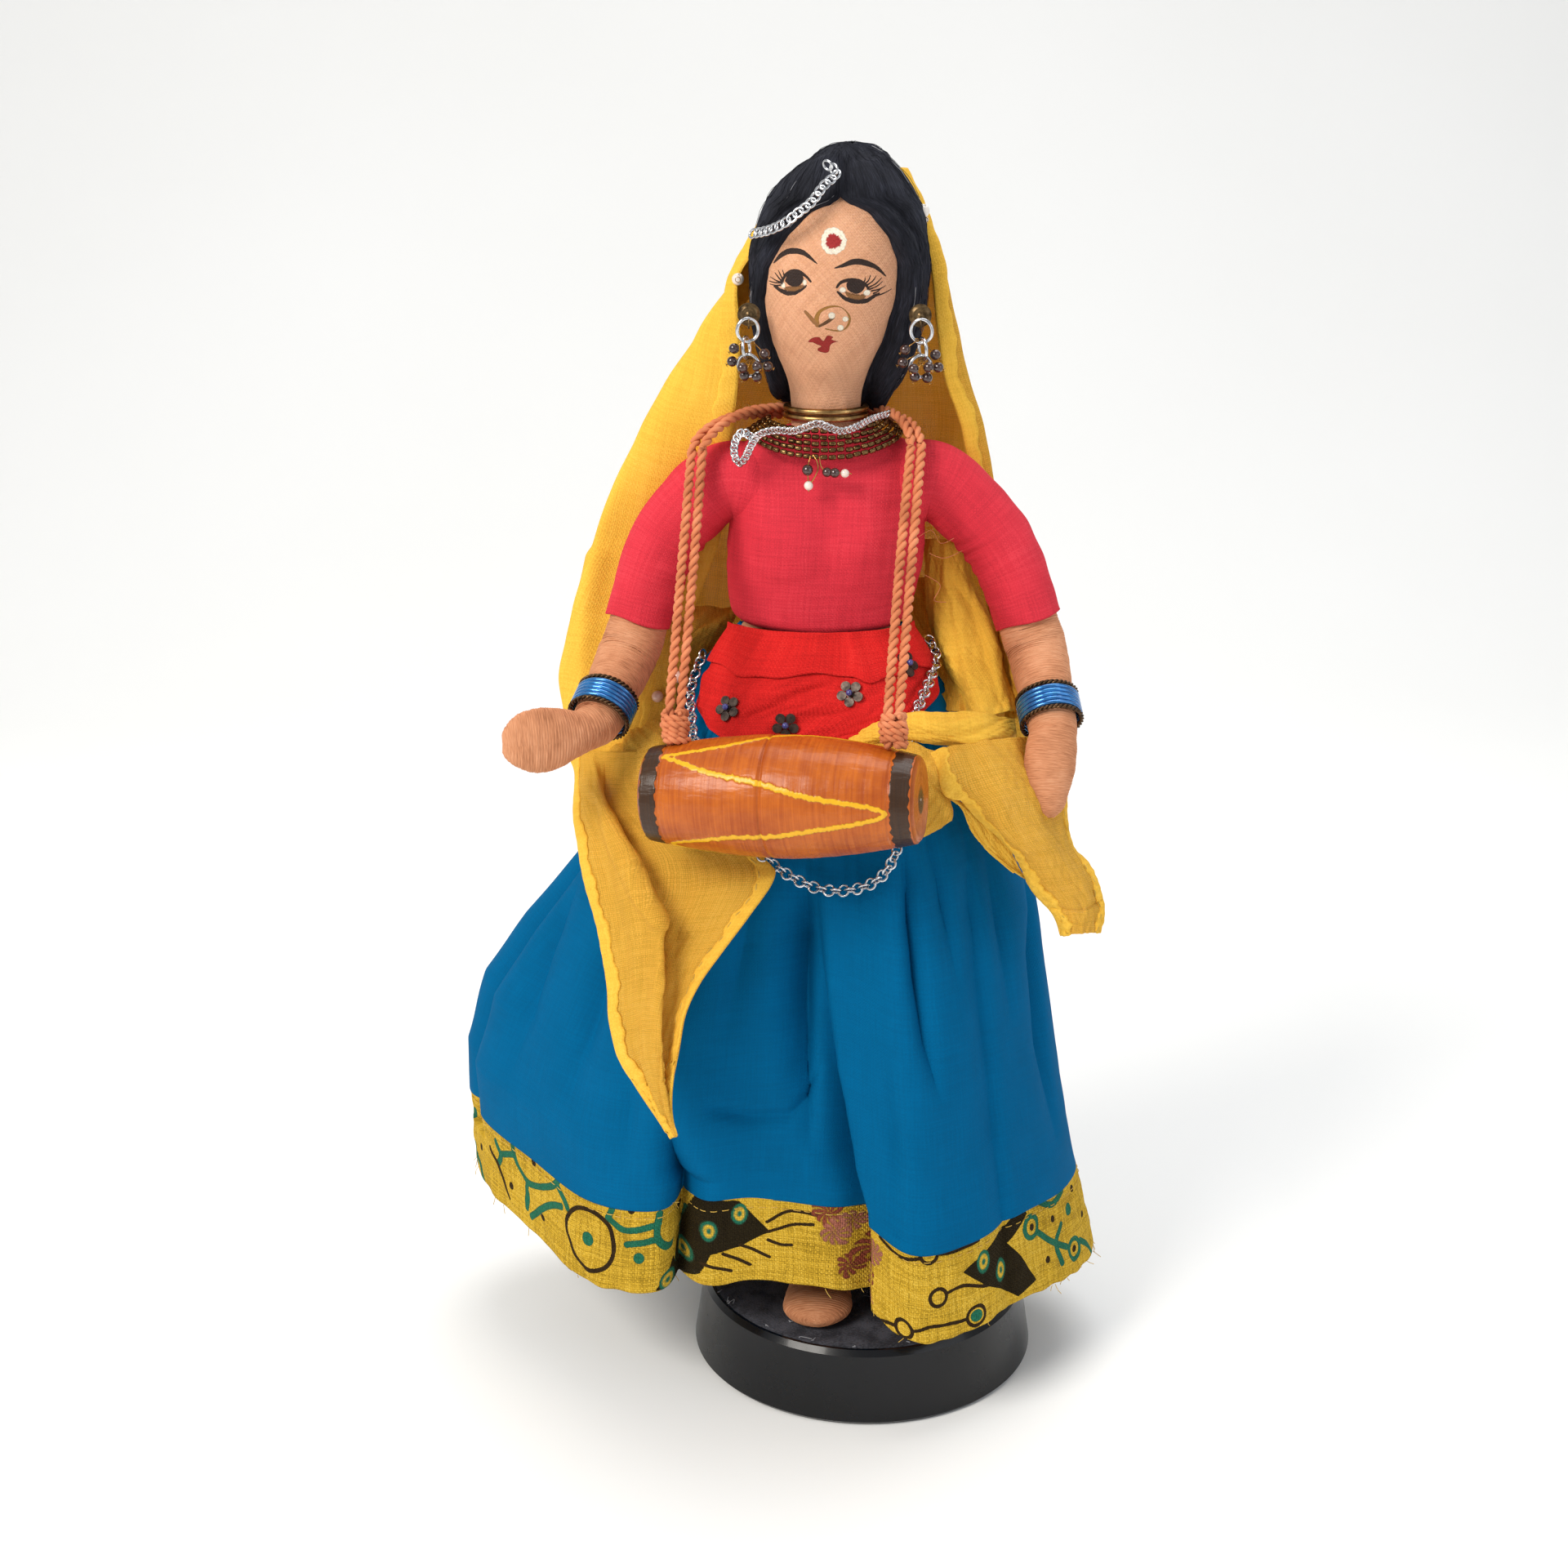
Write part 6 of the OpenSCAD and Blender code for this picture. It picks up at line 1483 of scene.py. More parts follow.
gathers = [(draw.uniform(0, 1), draw.uniform(0.7, 1.5), draw.uniform(0.5, 1.3), draw.uniform(0.2, 0.42))
           for _ in range(64)]


def foldIn(u, t):    # how far the cloth lies below its outer surface, in mm
    wide = np.interp(t, around["at"], around["length"])
    deep = np.zeros(np.broadcast(u, t).shape)
    for route, depth, left, right in folds:
        route = np.array(route)
        at = np.interp(t, route[:, 1], route[:, 0])
        live = np.interp(t, route[:, 1], depth, left=0, right=depth[-1] if route[-1, 1] >= 1 else 0)
        d = ((u - at + 0.5) % 1 - 0.5) * wide
        deep = deep + 1.75 * live * np.where(d < 0, np.exp(-np.abs(d / left) ** 1.5),
                                             np.exp(-np.abs(d / right) ** 1.5))
    for at, depth, width, reach in gathers:
        d = ((u - at + 0.5) % 1 - 0.5) * wide
        deep = deep + depth * np.clip(1 - t / reach, 0, 1) ** 0.7 * np.exp(-(d / width) ** 2)
    # a curved drag line runs sideways from the deep pinch near the hem
    line = np.array([(0.655, 0.705), (0.677, 0.725), (0.698, 0.723), (0.708, 0.695), (0.715, 0.647)])
    tt = np.interp(u, line[:, 0], line[:, 1])
    inside = ease(u, 0.648, 0.66) * (1 - ease(u, 0.708, 0.718))
    deep = deep + 1.3 * inside * np.exp(-((t - tt) * 125 / 1.7) ** 2)
    return deep


def clothAt(u, t, off=0.0):    # the skirt's surface with its folds
    p = skirtAt(u, t, off)
    du, dt = skirtAt(u + 0.002, t, off) - skirtAt(u - 0.002, t, off), skirtAt(u, t + 0.01, off) - skirtAt(u,
            t - 0.01, off)
    n = unit(np.cross(dt, du))
    return p - n * foldIn(u, t)[..., None]


def clothGrid(us, ts, off=0.0, seed=31, soft=0.22):
    u, t = np.meshgrid(us, ts)
    g = clothAt(u, t, off)
    return g + gridNormals(g, around=True)[..., :] * waves(u.shape, seed, (3, 5, soft),
                                                           (7, 12, soft * 0.45))[..., None]


us = np.arange(800) / 800
skirtCloth = clothGrid(us, np.linspace(0.0, seamAt + 0.004, 300), 0.0)
skirt = gridMesh("gathered_skirt", skirtCloth, tealCotton, around=True, uvRow=250, thick=0.5)
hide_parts("skirt")
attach(skirt, "doll")

# hem border: printed cotton, seamed on with a pale topstitch
hemRun = np.linspace(0, 1, 721)
hemArc = runOf(skirtAt(hemRun, 0.93, 0.9))
hemLong = hemArc[-1]
bu = np.arange(1480) / 1480
bt = np.concatenate([[seamAt - 0.001, seamAt], np.linspace(seamAt + 0.003, 0.997, 88),
                     [1.0, 1.0, 0.985, 0.955, 0.92]])
bOff = np.concatenate([[-0.1, 0.15], np.full(88, 0.3), [0.15, -0.5, -0.75, -0.75, -0.75]])
u, t = np.meshgrid(bu, bt)
borderGrid = clothAt(u, t, np.broadcast_to(bOff[:, None], u.shape))
drop = np.linalg.norm(skirtAt(u, np.full(u.shape, 0.855)) - skirtAt(u, np.full(u.shape, 1.0)), axis=-1)
frill = waves(u.shape, 37, (2, 46, 0.16), (4, 80, 0.1)) * ease(t, 0.86, 0.9)
borderGrid += gridNormals(borderGrid, around=True) * frill[..., None]
hemAcross = np.interp(u, hemRun, hemArc)
hemUp = (t - 0.855) / 0.145 * drop


def segmentsAway(a, b, points):    # how far each place on the cloth is from a drawn line
    best = np.full(a.shape, 99.0)
    for p, q in zip(points[:-1], points[1:]):
        dx, dy = q[0] - p[0], q[1] - p[1]
        g = np.clip(((a - p[0]) * dx + (b - p[1]) * dy) / max(dx * dx + dy * dy, 1e-9), 0, 1)
        best = np.minimum(best, np.hypot(a - p[0] - g * dx, b - p[1] - g * dy))
    return best


dyes = {"brown": "#2a1c15", "green": "#0f6f58", "rose": "#9c4a3c", "pink": "#c57a68", "yellow": "#dcb63c",
        "black": "#12100f"}
dye = np.zeros(u.shape + (4,))


def soakIn(mask, code, strength=1.0):
    m = (np.clip(mask, 0, 1) * strength)[..., None]
    dye[..., :3] = dye[..., :3] * (1 - m) + np.array(toLinear(dyes[code])[:3]) * m
    dye[..., 3:] = np.maximum(dye[..., 3:] if code != "yellow" else dye[..., 3:], m)


def nearby(at):
    return ((hemAcross - at + hemLong / 2) % hemLong) - hemLong / 2 + at


def stroke(points, wide, code, smoothly=True):
    pts = smoothPath(points, 6) if smoothly and len(points) > 2 else np.array(points, float)
    a = nearby(float(np.mean(pts[:, 0])))
    soakIn(ease(wide / 2 - segmentsAway(a, hemUp, pts.tolist()), -0.22, 0.02), code)


def blob(at, r, code, squashed=1.0):
    a = nearby(at[0])
    soakIn(ease(r - np.hypot(a - at[0], (hemUp - at[1]) / squashed), -0.14, 0.14), code)


def ringDrawn(at, r, wide, code, squashed=1.0):
    a = nearby(at[0])
    soakIn(ease(wide / 2 - np.abs(np.hypot(a - at[0], (hemUp - at[1]) / squashed) - r), -0.22, 0.02), code)


def patch(points, code):
    a = nearby(float(np.mean([p[0] for p in points])))
    inside = np.zeros(a.shape, bool)
    for p, q in zip(points, points[1:] + points[:1]):
        hit = ((p[1] > hemUp) != (q[1] > hemUp)) & (a < (q[0] - p[0]) * (hemUp - p[1]) /
                                                    ((q[1] - p[1]) or 1e-9) + p[0])
        inside ^= hit
    away = segmentsAway(a, hemUp, points + points[:1])
    soakIn(ease(np.where(inside, away, -away), -0.15, 0.15), code)


def eyeSpot(at, slant=1.35):    # a green ring round a yellow oval with a green heart
    blob(at, 1.75, "green", slant)
    blob(at, 1.15, "yellow", slant)
    blob(at, 0.5, "green", slant)


def netPattern(o):    # the green net with brown dots, and its big brown ring
    for dot in ((197.8, 0.8), (204.1, 12.5), (213.8, 1.9), (216.9, 13.5), (230.4, 0.4), (244.3, 0.9),
                (255.7, 3.7)):
        blob((dot[0] + o, dot[1]), 0.85, "brown")
    for line in ([(205.4, -0.7), (207, 5.5), (212.6, 7.7), (221.5, 3.1), (225.2, -3.2)],
                 [(200.6, 6.3), (205.8, 3.9)],
                 [(210.7, 9.6), (210.3, 14.7)], [(211.5, 7.7), (210.7, 9.6)], [(222.9, 2.3), (226.6, 5.6)],
                 [(238.6, -3.5), (239.8, 0), (238.4, 3.6)],
                 [(250.6, 1.8), (250.4, 7.3), (253, 10.3), (256.8, 8.9), (258, 4.2)],
                 [(243.4, 9), (250.3, 7.5)], [(198.6, 4.2), (200.6, 6.3), (199.4, 9)],
                 [(212, 16), (219, 9.5), (224.5, 6.5)], [(238.4, 3.6), (243, 5.6), (250.4, 4.2)]):
        stroke([(p[0] + o, p[1]) for p in line], 1.35, "green")
    blob((246.4 + o, 11.9), 1.3, "green")
    blob((232.9 + o, 10.2), 1.6, "green")
    ringDrawn((233.4 + o, 10.1), 7.0, 0.85, "brown")
    stroke([(195.8 + o, 7), (199.6 + o, 10.3), (203 + o, 16)], 0.8, "brown")


def birdPattern(o):    # black patch with eye spots and long whiskers
    patch([(259.1 + o, -0.4), (267.9 + o, 0.9), (274.7 + o, 8.3), (268.3 + o, 11.4), (262.1 + o, 12.6),
           (260.2 + o, 17), (255.6 + o, 21), (250.3 + o, 19.6), (255.4 + o, 12.2)], "black")
    for spot in ((261.6, 7.2), (268.1, 3.9), (257.2, 13.9), (252.8, 18.2)):
        eyeSpot((spot[0] + o, spot[1]))
    for line in ([(274.3, 8.3), (279, 6.3), (283.9, 5.3)], [(274.3, 10.2), (277, 11), (279.4, 10.7)],
                 [(268.3, 11), (274.7, 14)],
                 [(264.7, 12.6), (270.6, 15.9)], [(260.3, 14.6), (266.6, 16.9)],
                 [(274, 6), (279, 3), (285, 3.2)]):
        stroke([(p[0] + o, p[1]) for p in line], 0.5, "brown")


def rosePattern(o):    # a rose flower with soft uneven petals
    for at, r, code in (((286.9, 2.3), 3.2, "rose"), ((294.2, -1.5), 3.4, "rose"),
                        ((294.7, 10.9), 3.6, "rose"),
                        ((288.4, 6.7), 2.9, "pink"), ((291, 14.4), 2.4, "rose"), ((295.6, 17.2), 2.2, "pink"),
                        ((291.5, 4.2), 2.2, "pink"), ((298.2, 5.8), 2.6, "pink")):
        a = nearby(at[0] + o)
        d = np.hypot(a - at[0] - o, (hemUp - at[1]) * 0.85)
        turn = np.arctan2(hemUp - at[1], a - at[0] - o)
        soakIn(ease(r * (1 + 0.14 * np.sin(turn * 3 + at[0])) - d, -0.4, 0.5) *
               (0.72 + 0.28 * np.sin(turn * 9 + d * 2)), code, 0.9)


def stemPattern(o):    # open circles on stems
    for c in ((311.9, 0.9), (313.8, 10.8), (306.1, 18.6)):
        ringDrawn((c[0] + o, c[1]), 1.9, 0.62, "brown")
    blob((323.1 + o, 17.9), 1.4, "green")
    ringDrawn((323.1 + o, 17.9), 2.2, 0.6, "brown")
    for line in ([(315.7, 10.4), (320, 10), (325, 11.9), (329.8, 13)],
                 [(308, 18.3), (313, 17.2), (320.8, 18)],
                 [(313.8, 1), (318, 1.6), (324.5, 1.3)], [(299, 21), (302, 19.5), (304.2, 18.9)],
                 [(300, 1.5), (305, 2.6), (310, 1.6)]):
        stroke([(p[0] + o, p[1]) for p in line], 0.6, "brown")


def leafPattern(o):    # the second black patch, with green rings beyond it
    patch([(337.8 + o, -1.0), (334 + o, 2.2), (329.3 + o, 3.4), (320 + o, 7), (326.5 + o, 12.6),
           (331 + o, 15.5), (335.7 + o, 19.5),
           (341.3 + o, 17.6), (337.2 + o, 10.5), (334 + o, 6.5), (340.5 + o, 1.8)], "black")
    for spot in ((325.6, 6.6), (331.4, 11.4)):
        eyeSpot((spot[0] + o, spot[1]), 1.5)
    for c in ((341.4, 5.3), (356.9, 15.8)):
        ringDrawn((c[0] + o, c[1]), 2.4, 1.0, "green")
        blob((c[0] + o, c[1]), 0.85, "brown")
    for line in ([(343.8, 7.4), (348, 10.8), (353.8, 14.1)], [(345, 0.5), (350, 2.6), (355.5, 1)],
                 [(360, 15), (364, 18), (366, 21)], [(352.5, 8.2), (349.5, 12), (351, 17)]):
        stroke([(p[0] + o, p[1]) for p in line], 1.35, "green")
    blob((357.2 + o, 6.2), 1.5, "green")
    for dot in ((349.5, 5.9), (364.8, 10.6), (361, 2.6), (346, 14.5)):
        blob((dot[0] + o, dot[1]), 0.85, "brown")


for o in (0, -176):    # the cloth repeats its print
    netPattern(o)
    birdPattern(o)
    rosePattern(o)
    stemPattern(o)
    leafPattern(o)

border = gridMesh("printed_border", borderGrid, printedCotton, around=True, uvRow=40)
paintMesh(border, "dye", dye.reshape(-1, 4))
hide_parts("skirt_border")
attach(border, "doll")


# running stitches that dip through the cloth
def stitchRow(points, normals, long=1.9, pitch=2.7, fat=0.13, proud=0.05, wobble=0.12):
    run = runOf(points)
    parts = []
    at = 0.6
    while at < run[-1] - long:
        l = long * dice.uniform(0.85, 1.12)
        s = np.linspace(at, at + l, 6)
        p = np.stack([np.interp(s, run, points[:, k]) for k in range(3)], 1)
        n = unit(np.stack([np.interp(s, run, normals[:, k]) for k in range(3)], 1))
        arch = np.sin(np.linspace(0, math.pi, 6)) ** 0.6 * (proud + fat) - 0.1
        side = unit(np.cross(n, p[-1] - p[0]))
        parts.append(tubePart(p + n * arch[:, None] + side * dice.normal(0, wobble), fat, 5))
        at += pitch * dice.uniform(0.9, 1.1)
    return parts


su = np.linspace(0, 1, 1200)
sewT = np.full(su.shape, 0.874)
sewn = clothAt(su, sewT, 0.42)
sewOut = unit(np.cross(skirtAt(su, sewT + 0.01) - skirtAt(su, sewT - 0.01),
                       skirtAt(su + 0.002, sewT) - skirtAt(su - 0.002, sewT)))
topstitch = joinMeshes("border_topstitch", stitchRow(sewn, sewOut, 1.5, 2.5, 0.1, 0.02, 0.08), stitchThread)
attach(topstitch, "doll")
frays = []
for k in range(46):    # cut threads that hang from the hem and seam
    uu = (dice.uniform(0, 1) if k % 3 else
          dice.choice([0.985, 0.64, 0.748, 0.92, 0.56]) + dice.normal(0, 0.006))
    tt = 1.0 if k % 4 else 0.86
    p = clothAt(np.array(uu), np.array(tt), 0.2)
    d = np.array([dice.normal(0, 0.7), dice.normal(0, 0.5), -1.0 if tt == 1 else dice.normal(-0.3, 0.5)])
    l = dice.uniform(0.7, 2.6)
    bend = np.array([dice.normal(0, 0.5), dice.normal(0, 0.3), 0])
    frays.append(tubePart(smoothPath([p, p + unit(d) * l * 0.5 + bend * 0.3, p + unit(d) * l + bend], 4),
                          0.07, 4, capped=False))
fray = joinMeshes("hem_frays", frays, stitchThread)
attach(fray, "doll")
print("skirt hung and border printed")

# apron: a scarlet flap with an uneven hem, over a waist strip
apronRows = [(0.0, 0.53, 0.962), (0.03, 0.527, 0.966), (0.055, 0.527, 0.962), (0.072, 0.524, 0.948),
             (0.09, 0.536, 0.925),
             (0.11, 0.556, 0.868), (0.13, 0.588, 0.805), (0.142, 0.622, 0.768), (0.149, 0.655, 0.735)]
rows = smoothPath(apronRows, 12)
down = np.linspace(0, 1, 110)
rows = np.stack([np.interp(down, np.linspace(0, 1, len(rows)), rows[:, k]) for k in range(3)], 1)
acrossAt = np.linspace(0, 1, 240)[None, :]
wavy = 0.004 * np.sin(rows[:, :1] * 95) + 0.0025 * np.sin(rows[:, :1] * 210 + 1)
au = mix(rows[:, 1:2] + wavy, rows[:, 2:3] + wavy * 0.6, acrossAt)
apronUp = rows[:, :1] + 0 * au
lift = 1.35 + 0.5 * np.sin(au * 60 + 1) * ease(apronUp, 0.02, 0.1) * 0.5 + 0.8 * ease(apronUp, 0.1,
        0.15) * (0.5 + 0.5 * np.sin(au * 41))
apronGrid = skirtAt(au, apronUp, lift)
apronGrid[0] += np.array([0, 0, 1.2])
apronGrid += gridNormals(apronGrid) * waves(au.shape, 41, (3, 6, 0.16), (8, 14, 0.08))[..., None]
apron = gridMesh("scarlet_apron", apronGrid, scarletCotton, uvRow=30, thick=0.35, flip=False)
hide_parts("apron")
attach(apron, "doll")
# the strip it hangs from, folded over and caught at the waist
st = np.linspace(-0.012, 0.052, 26)[:, None]
stripU = mix(0.515, 0.982, np.linspace(0, 1, 260)[None, :])
stripLift = 1.95 + 0.35 * np.sin(np.linspace(0, math.pi, 26))[:, None] + 0.2 * np.sin(stripU * 75)
low = 0.0035 * np.sin(stripU * 33) + 0.002 * np.sin(stripU * 88)
stripGrid = skirtAt(stripU + 0 * st, np.maximum(st + low * ease(st, 0.01, 0.05), 0), stripLift)
stripGrid[..., 2] += np.where(st + 0 * stripU < 0, -st * 110, 0)
strip = gridMesh("apron_waist_strip", stripGrid, scarletCotton, uvRow=12, uvStart=(7, 90), thick=0.35)
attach(strip, "doll")
print("apron tied")

# veil: one long strip of voile, hooded over the back of the head, wrapped at the waist, ends hanging
# rows of points down each part, from one edge of the cloth to the other
veilRows = {
    "tailLeft": [
        [(-61.2, 0, 138.5), (-59.4, -5, 139.6), (-57.5, -8, 140.9), (-55.7, -9, 141.2),
         (-53.0, -11, 141.8), (-48.4, -16, 143.3), (-42.5, -19, 144.2)],
        [(-60.9, -8, 133.4), (-58.4, -14, 135.3), (-55.2, -17, 135.8), (-54.7, -13, 133.6),
         (-51.0, -17, 135.8), (-45.8, -20, 136.7), (-39.1, -22, 137.4)],
        [(-60.8, -14, 129.6), (-57.6, -19, 130.3), (-52.8, -23, 131.2), (-52.8, -18, 128.7),
         (-48.4, -21, 130.6), (-40.8, -24, 131.5), (-31.7, -25, 131.9)],
        [(-59.4, -20, 123.6), (-54.8, -25, 124.5), (-48.3, -30, 126.3), (-49.0, -24, 123.3),
         (-43.2, -26, 124.9), (-34.1, -28, 124.7), (-21.1, -29, 124.2)],
        [(-58.0, -24, 118.0), (-53.0, -29, 119.0), (-44.6, -35, 121.2), (-45.5, -29, 118.1),
         (-39.8, -30, 119.3), (-30.8, -32, 120.1), (-19.8, -32, 121.4)],
        [(-55.9, -28, 112.5), (-50.8, -33, 113.5), (-42.4, -38, 116.3), (-43.6, -32, 112.7),
         (-39.0, -33, 113.5), (-31.6, -34, 113.5), (-24.4, -35, 115.1)],
        [(-54.3, -32, 106.1), (-49.5, -36, 106.8), (-41.9, -41, 109.7), (-43.2, -35, 106.4),
         (-39.3, -36, 106.8), (-34.4, -37, 107.2), (-29.5, -38, 108.9)],
        [(-53.1, -36, 99.8), (-48.6, -39, 100.2), (-41.8, -43, 102.7), (-43.0, -38.5, 100.0),
         (-40.1, -39, 100.2), (-37.2, -40, 101.1), (-34.1, -41, 103.2)],
        [(-52.7, -38.5, 93.8), (-48.2, -41.5, 94.3), (-41.9, -45, 96.7), (-42.8, -41, 94.0),
         (-40.9, -41.5, 94.3), (-39.0, -42, 95.3), (-37.0, -43, 97.5)],
        [(-50.8, -41, 87.4), (-47.1, -44, 88.3), (-41.7, -47, 90.6), (-42.4, -44, 88.3),
         (-41.1, -44, 88.3), (-39.8, -44.5, 89.4), (-38.3, -45, 91.4)],
        [(-47.1, -44, 81.7), (-44.8, -46, 82.2), (-41.2, -48.5, 84.2), (-41.7, -46.5, 82.6),
         (-40.9, -46.5, 83.1), (-40.2, -46.8, 83.9), (-39.5, -47, 85.3)],
        [(-43.0, -47.5, 76.7), (-42.0, -48.4, 76.7), (-40.5, -49.5, 78.6), (-40.7, -48.6, 77.7),
         (-40.4, -48.4, 77.8), (-40.1, -48.4, 78.2), (-39.8, -48.5, 79.0)],
        [(-40.1, -49.8, 73.9), (-39.7, -50, 73.9), (-39.3, -50.2, 74.1), (-39.2, -50, 74.2),
         (-39.2, -49.8, 74.2), (-39.1, -49.8, 74.3), (-39.0, -49.8, 74.4)],
    ],
    "gapLeft": [
        [(-43.4, 6, 170.5), (-39.1, 5, 169.9), (-34.9, 6, 168.8), (-30.7, 9, 168.1), (-26.4, 12, 167.4)],
        [(-44.2, 4, 164.9), (-39.9, 2, 164.5), (-36.4, 1, 164.7), (-32.3, 4, 164.9), (-28.1, 10, 165.3)],
        [(-45.1, 2, 158.4), (-41.5, 0, 158.9), (-38.5, -1, 160.0), (-36.2, 4, 158.8), (-32.5, 10, 157.3)],
        [(-46.0, 1, 152.5), (-42.4, -2, 153.3), (-39.4, -3, 153.5), (-37.9, 2, 151.3), (-35.1, 8, 149.7)],
        [(-47.7, 0, 145.7), (-44.1, -4, 146.4), (-40.6, -6, 147.4), (-38.8, 0, 145.7), (-36.0, 6, 144.0)],
        [(-50.2, -3, 139.4), (-46.5, -8, 140.9), (-42.0, -12, 142.1), (-37.9, -12, 142.1),
         (-34.5, -12, 142.1)],
    ],
    "puffLeft": [
        [(-52.0, -2, 141.8), (-49.1, -6, 144.7), (-46.1, -9, 146.9), (-43.7, -10, 147.8), (-41.3, -8, 146.2)],
        [(-54.2, -4, 139.7), (-50.9, -11, 142.7), (-47.2, -15, 144.7),
         (-43.8, -17, 145.7), (-40.2, -14, 144.4)],
        [(-53.8, -7, 136.2), (-50.8, -14, 138.8), (-47.1, -19, 140.7),
         (-43.7, -20, 141.0), (-40.1, -18, 140.4)],
        [(-52.5, -9, 133.3), (-49.9, -15, 134.3), (-47.1, -20, 135.9),
         (-43.7, -22, 136.5), (-40.1, -20, 135.9)],
        [(-50.4, -10, 130.0), (-48.3, -16, 130.7), (-45.9, -20, 131.5),
         (-42.5, -22, 132.2), (-39.3, -21, 131.9)],
    ],
    "bandRight": [
        [(11.5, 10, 181.8), (12.4, 7, 182.4), (14.8, 5, 182.8), (17.7, 5, 181.7), (20.7, 8, 180.5)],
        [(12.1, 9, 174.5), (12.7, 5, 175.4), (16.0, 3, 175.8), (19.6, 3, 175.8), (21.1, 7, 174.4)],
        [(12.6, 8, 167.2), (13.3, 3, 169.5), (17.6, 1, 169.9), (22.4, 1, 170.5), (23.7, 6, 168.5)],
        [(13.6, 6, 161.8), (14.4, 1, 164.2), (19.3, -1, 164.6), (24.6, -1, 165.8), (25.8, 5, 163.2)],
        [(15.8, 3, 156.7), (16.2, -3, 159.3), (20.8, -5, 159.8), (26.1, -4, 161.3), (27.2, 3, 158.1)],
        [(18.3, -3, 151.8), (18.9, -9, 154.6), (22.6, -11, 155.1), (26.6, -9, 156.9), (28.7, 0, 153.3)],
        [(19.9, -9, 148.2), (20.5, -15, 151.0), (23.9, -16, 150.7), (28.6, -13, 151.0), (30.6, -6, 147.9)],
    ],
    "sheerRight": [
        [(8.2, 14, 172.9), (11.0, 13, 173.1), (14.3, 11, 173.5), (18.2, 10, 173.7)],
        [(9.4, 12, 163.9), (12.5, 11, 164.1), (16.0, 8, 164.8), (19.8, 6, 165.3)],
        [(11.9, 9, 156.3), (14.4, 6, 157.1), (17.4, 2, 156.9), (21.8, 0, 156.3)],
        [(13.0, 0, 147.5), (15.0, -7, 149.4), (17.8, -10, 149.9), (22.3, -10, 149.6)],
    ],
    "backRight": [
        [(24.5, 8, 167.2), (26.6, 6, 168.2), (29.8, 4, 168.1), (33.2, 4, 166.9)],
        [(26.2, 5, 159.7), (28.0, 1, 161.3), (30.5, -2, 161.4), (33.2, -3, 161.1)],
        [(27.6, 0, 152.2), (29.4, -5, 153.5), (31.3, -8, 153.7), (33.5, -8, 153.1)],
        [(28.3, -6, 147.4), (29.9, -12, 149.0), (32.0, -13, 149.3), (34.4, -12, 148.5)],
    ],
    "waistBand": [
        [(-4.7, -20, 148.5), (1.7, -22, 151.6), (7.0, -23, 153.2), (13.0, -23, 153.4),
         (19.6, -21, 152.9), (24.3, -18, 151.6), (29.1, -12, 148.9)],
        [(-4.8, -22, 147.6), (1.6, -24.5, 150.3), (6.9, -26, 152.1), (12.8, -26, 152.1),
         (19.3, -25, 151.9), (24.0, -22, 150.4), (29.0, -15, 148.2)],
        [(-4.8, -23, 146.8), (1.6, -25.5, 148.9), (6.9, -27, 149.9), (12.8, -27, 149.3),
         (19.3, -26.5, 148.9), (23.9, -23.5, 148.3), (29.0, -16, 147.0)],
        [(-4.7, -22, 145.6), (1.7, -24, 147.6), (7.0, -25, 148.5), (13.0, -25, 147.4),
         (19.5, -25, 147.0), (24.1, -22, 146.7), (29.2, -14, 145.4)],
    ],
    "waistFall": [
        [(-4.8, -24, 146.8), (1.6, -25, 147.6), (6.4, -26, 148.5), (10.7, -27, 147.1),
         (13.4, -27, 146.8), (16.1, -26, 146.8)],
        [(-4.8, -27, 140.9), (1.6, -28, 141.8), (6.4, -29, 142.7), (10.3, -30, 143.5),
         (12.5, -30, 143.0), (13.9, -29, 140.4)],
        [(-4.9, -29, 135.3), (1.6, -30, 135.7), (6.4, -31, 136.3), (10.6, -31.5, 136.7),
         (13.8, -31, 137.7), (15.5, -29, 135.3)],
        [(-5.9, -31, 129.7), (0.5, -32, 128.7), (5.8, -33, 129.7), (10.1, -33, 131.0),
         (13.6, -32, 132.6), (15.4, -30, 133.1)],
    ],
    "endRight": [
        [(11.0, -27, 146.0), (16.1, -27, 147.7), (22.1, -25, 147.9), (27.8, -22, 147.9), (31.8, -16, 146.2)],
        [(12.7, -30, 143.0), (17.4, -31, 144.4), (22.9, -29, 144.9), (28.8, -24, 144.0), (34.0, -17, 141.9)],
        [(13.8, -31.5, 139.4), (18.4, -33, 140.5), (24.4, -32, 141.4), (30.9, -26, 140.6),
         (37.2, -18, 142.2)],
        [(16.8, -31, 138.5), (21.1, -34, 138.1), (26.5, -33, 138.3), (33.1, -27, 137.5), (38.9, -19, 141.3)],
        [(20.2, -30, 134.5), (23.9, -34, 134.1), (28.8, -33, 134.4), (34.8, -27, 134.1), (39.1, -20, 135.9)],
        [(25.6, -29, 129.1), (27.8, -33, 129.3), (31.6, -33, 130.4), (35.9, -28, 130.4), (39.3, -22, 130.7)],
        [(29.0, -28.5, 124.9), (31.3, -32, 125.5), (34.5, -32, 126.7), (38.0, -28, 126.4),
         (40.7, -23, 124.7)],
        [(31.7, -28, 118.9), (34.3, -31, 120.6), (37.5, -31, 121.7), (40.9, -28, 121.8), (43.9, -24, 121.5)],
        [(36.6, -27.5, 112.3), (38.7, -30, 114.4), (41.7, -30, 115.6), (44.4, -28, 115.4),
         (46.9, -25, 113.7)],
        [(38.3, -27, 107.8), (39.9, -29, 108.7), (42.0, -29.4, 109.0), (44.4, -28, 108.6),
         (46.5, -26, 107.9)],
    ],
    "endInside": [
        [(14.5, -29, 137.6), (17.9, -28, 136.1), (21.8, -27, 133.0)],
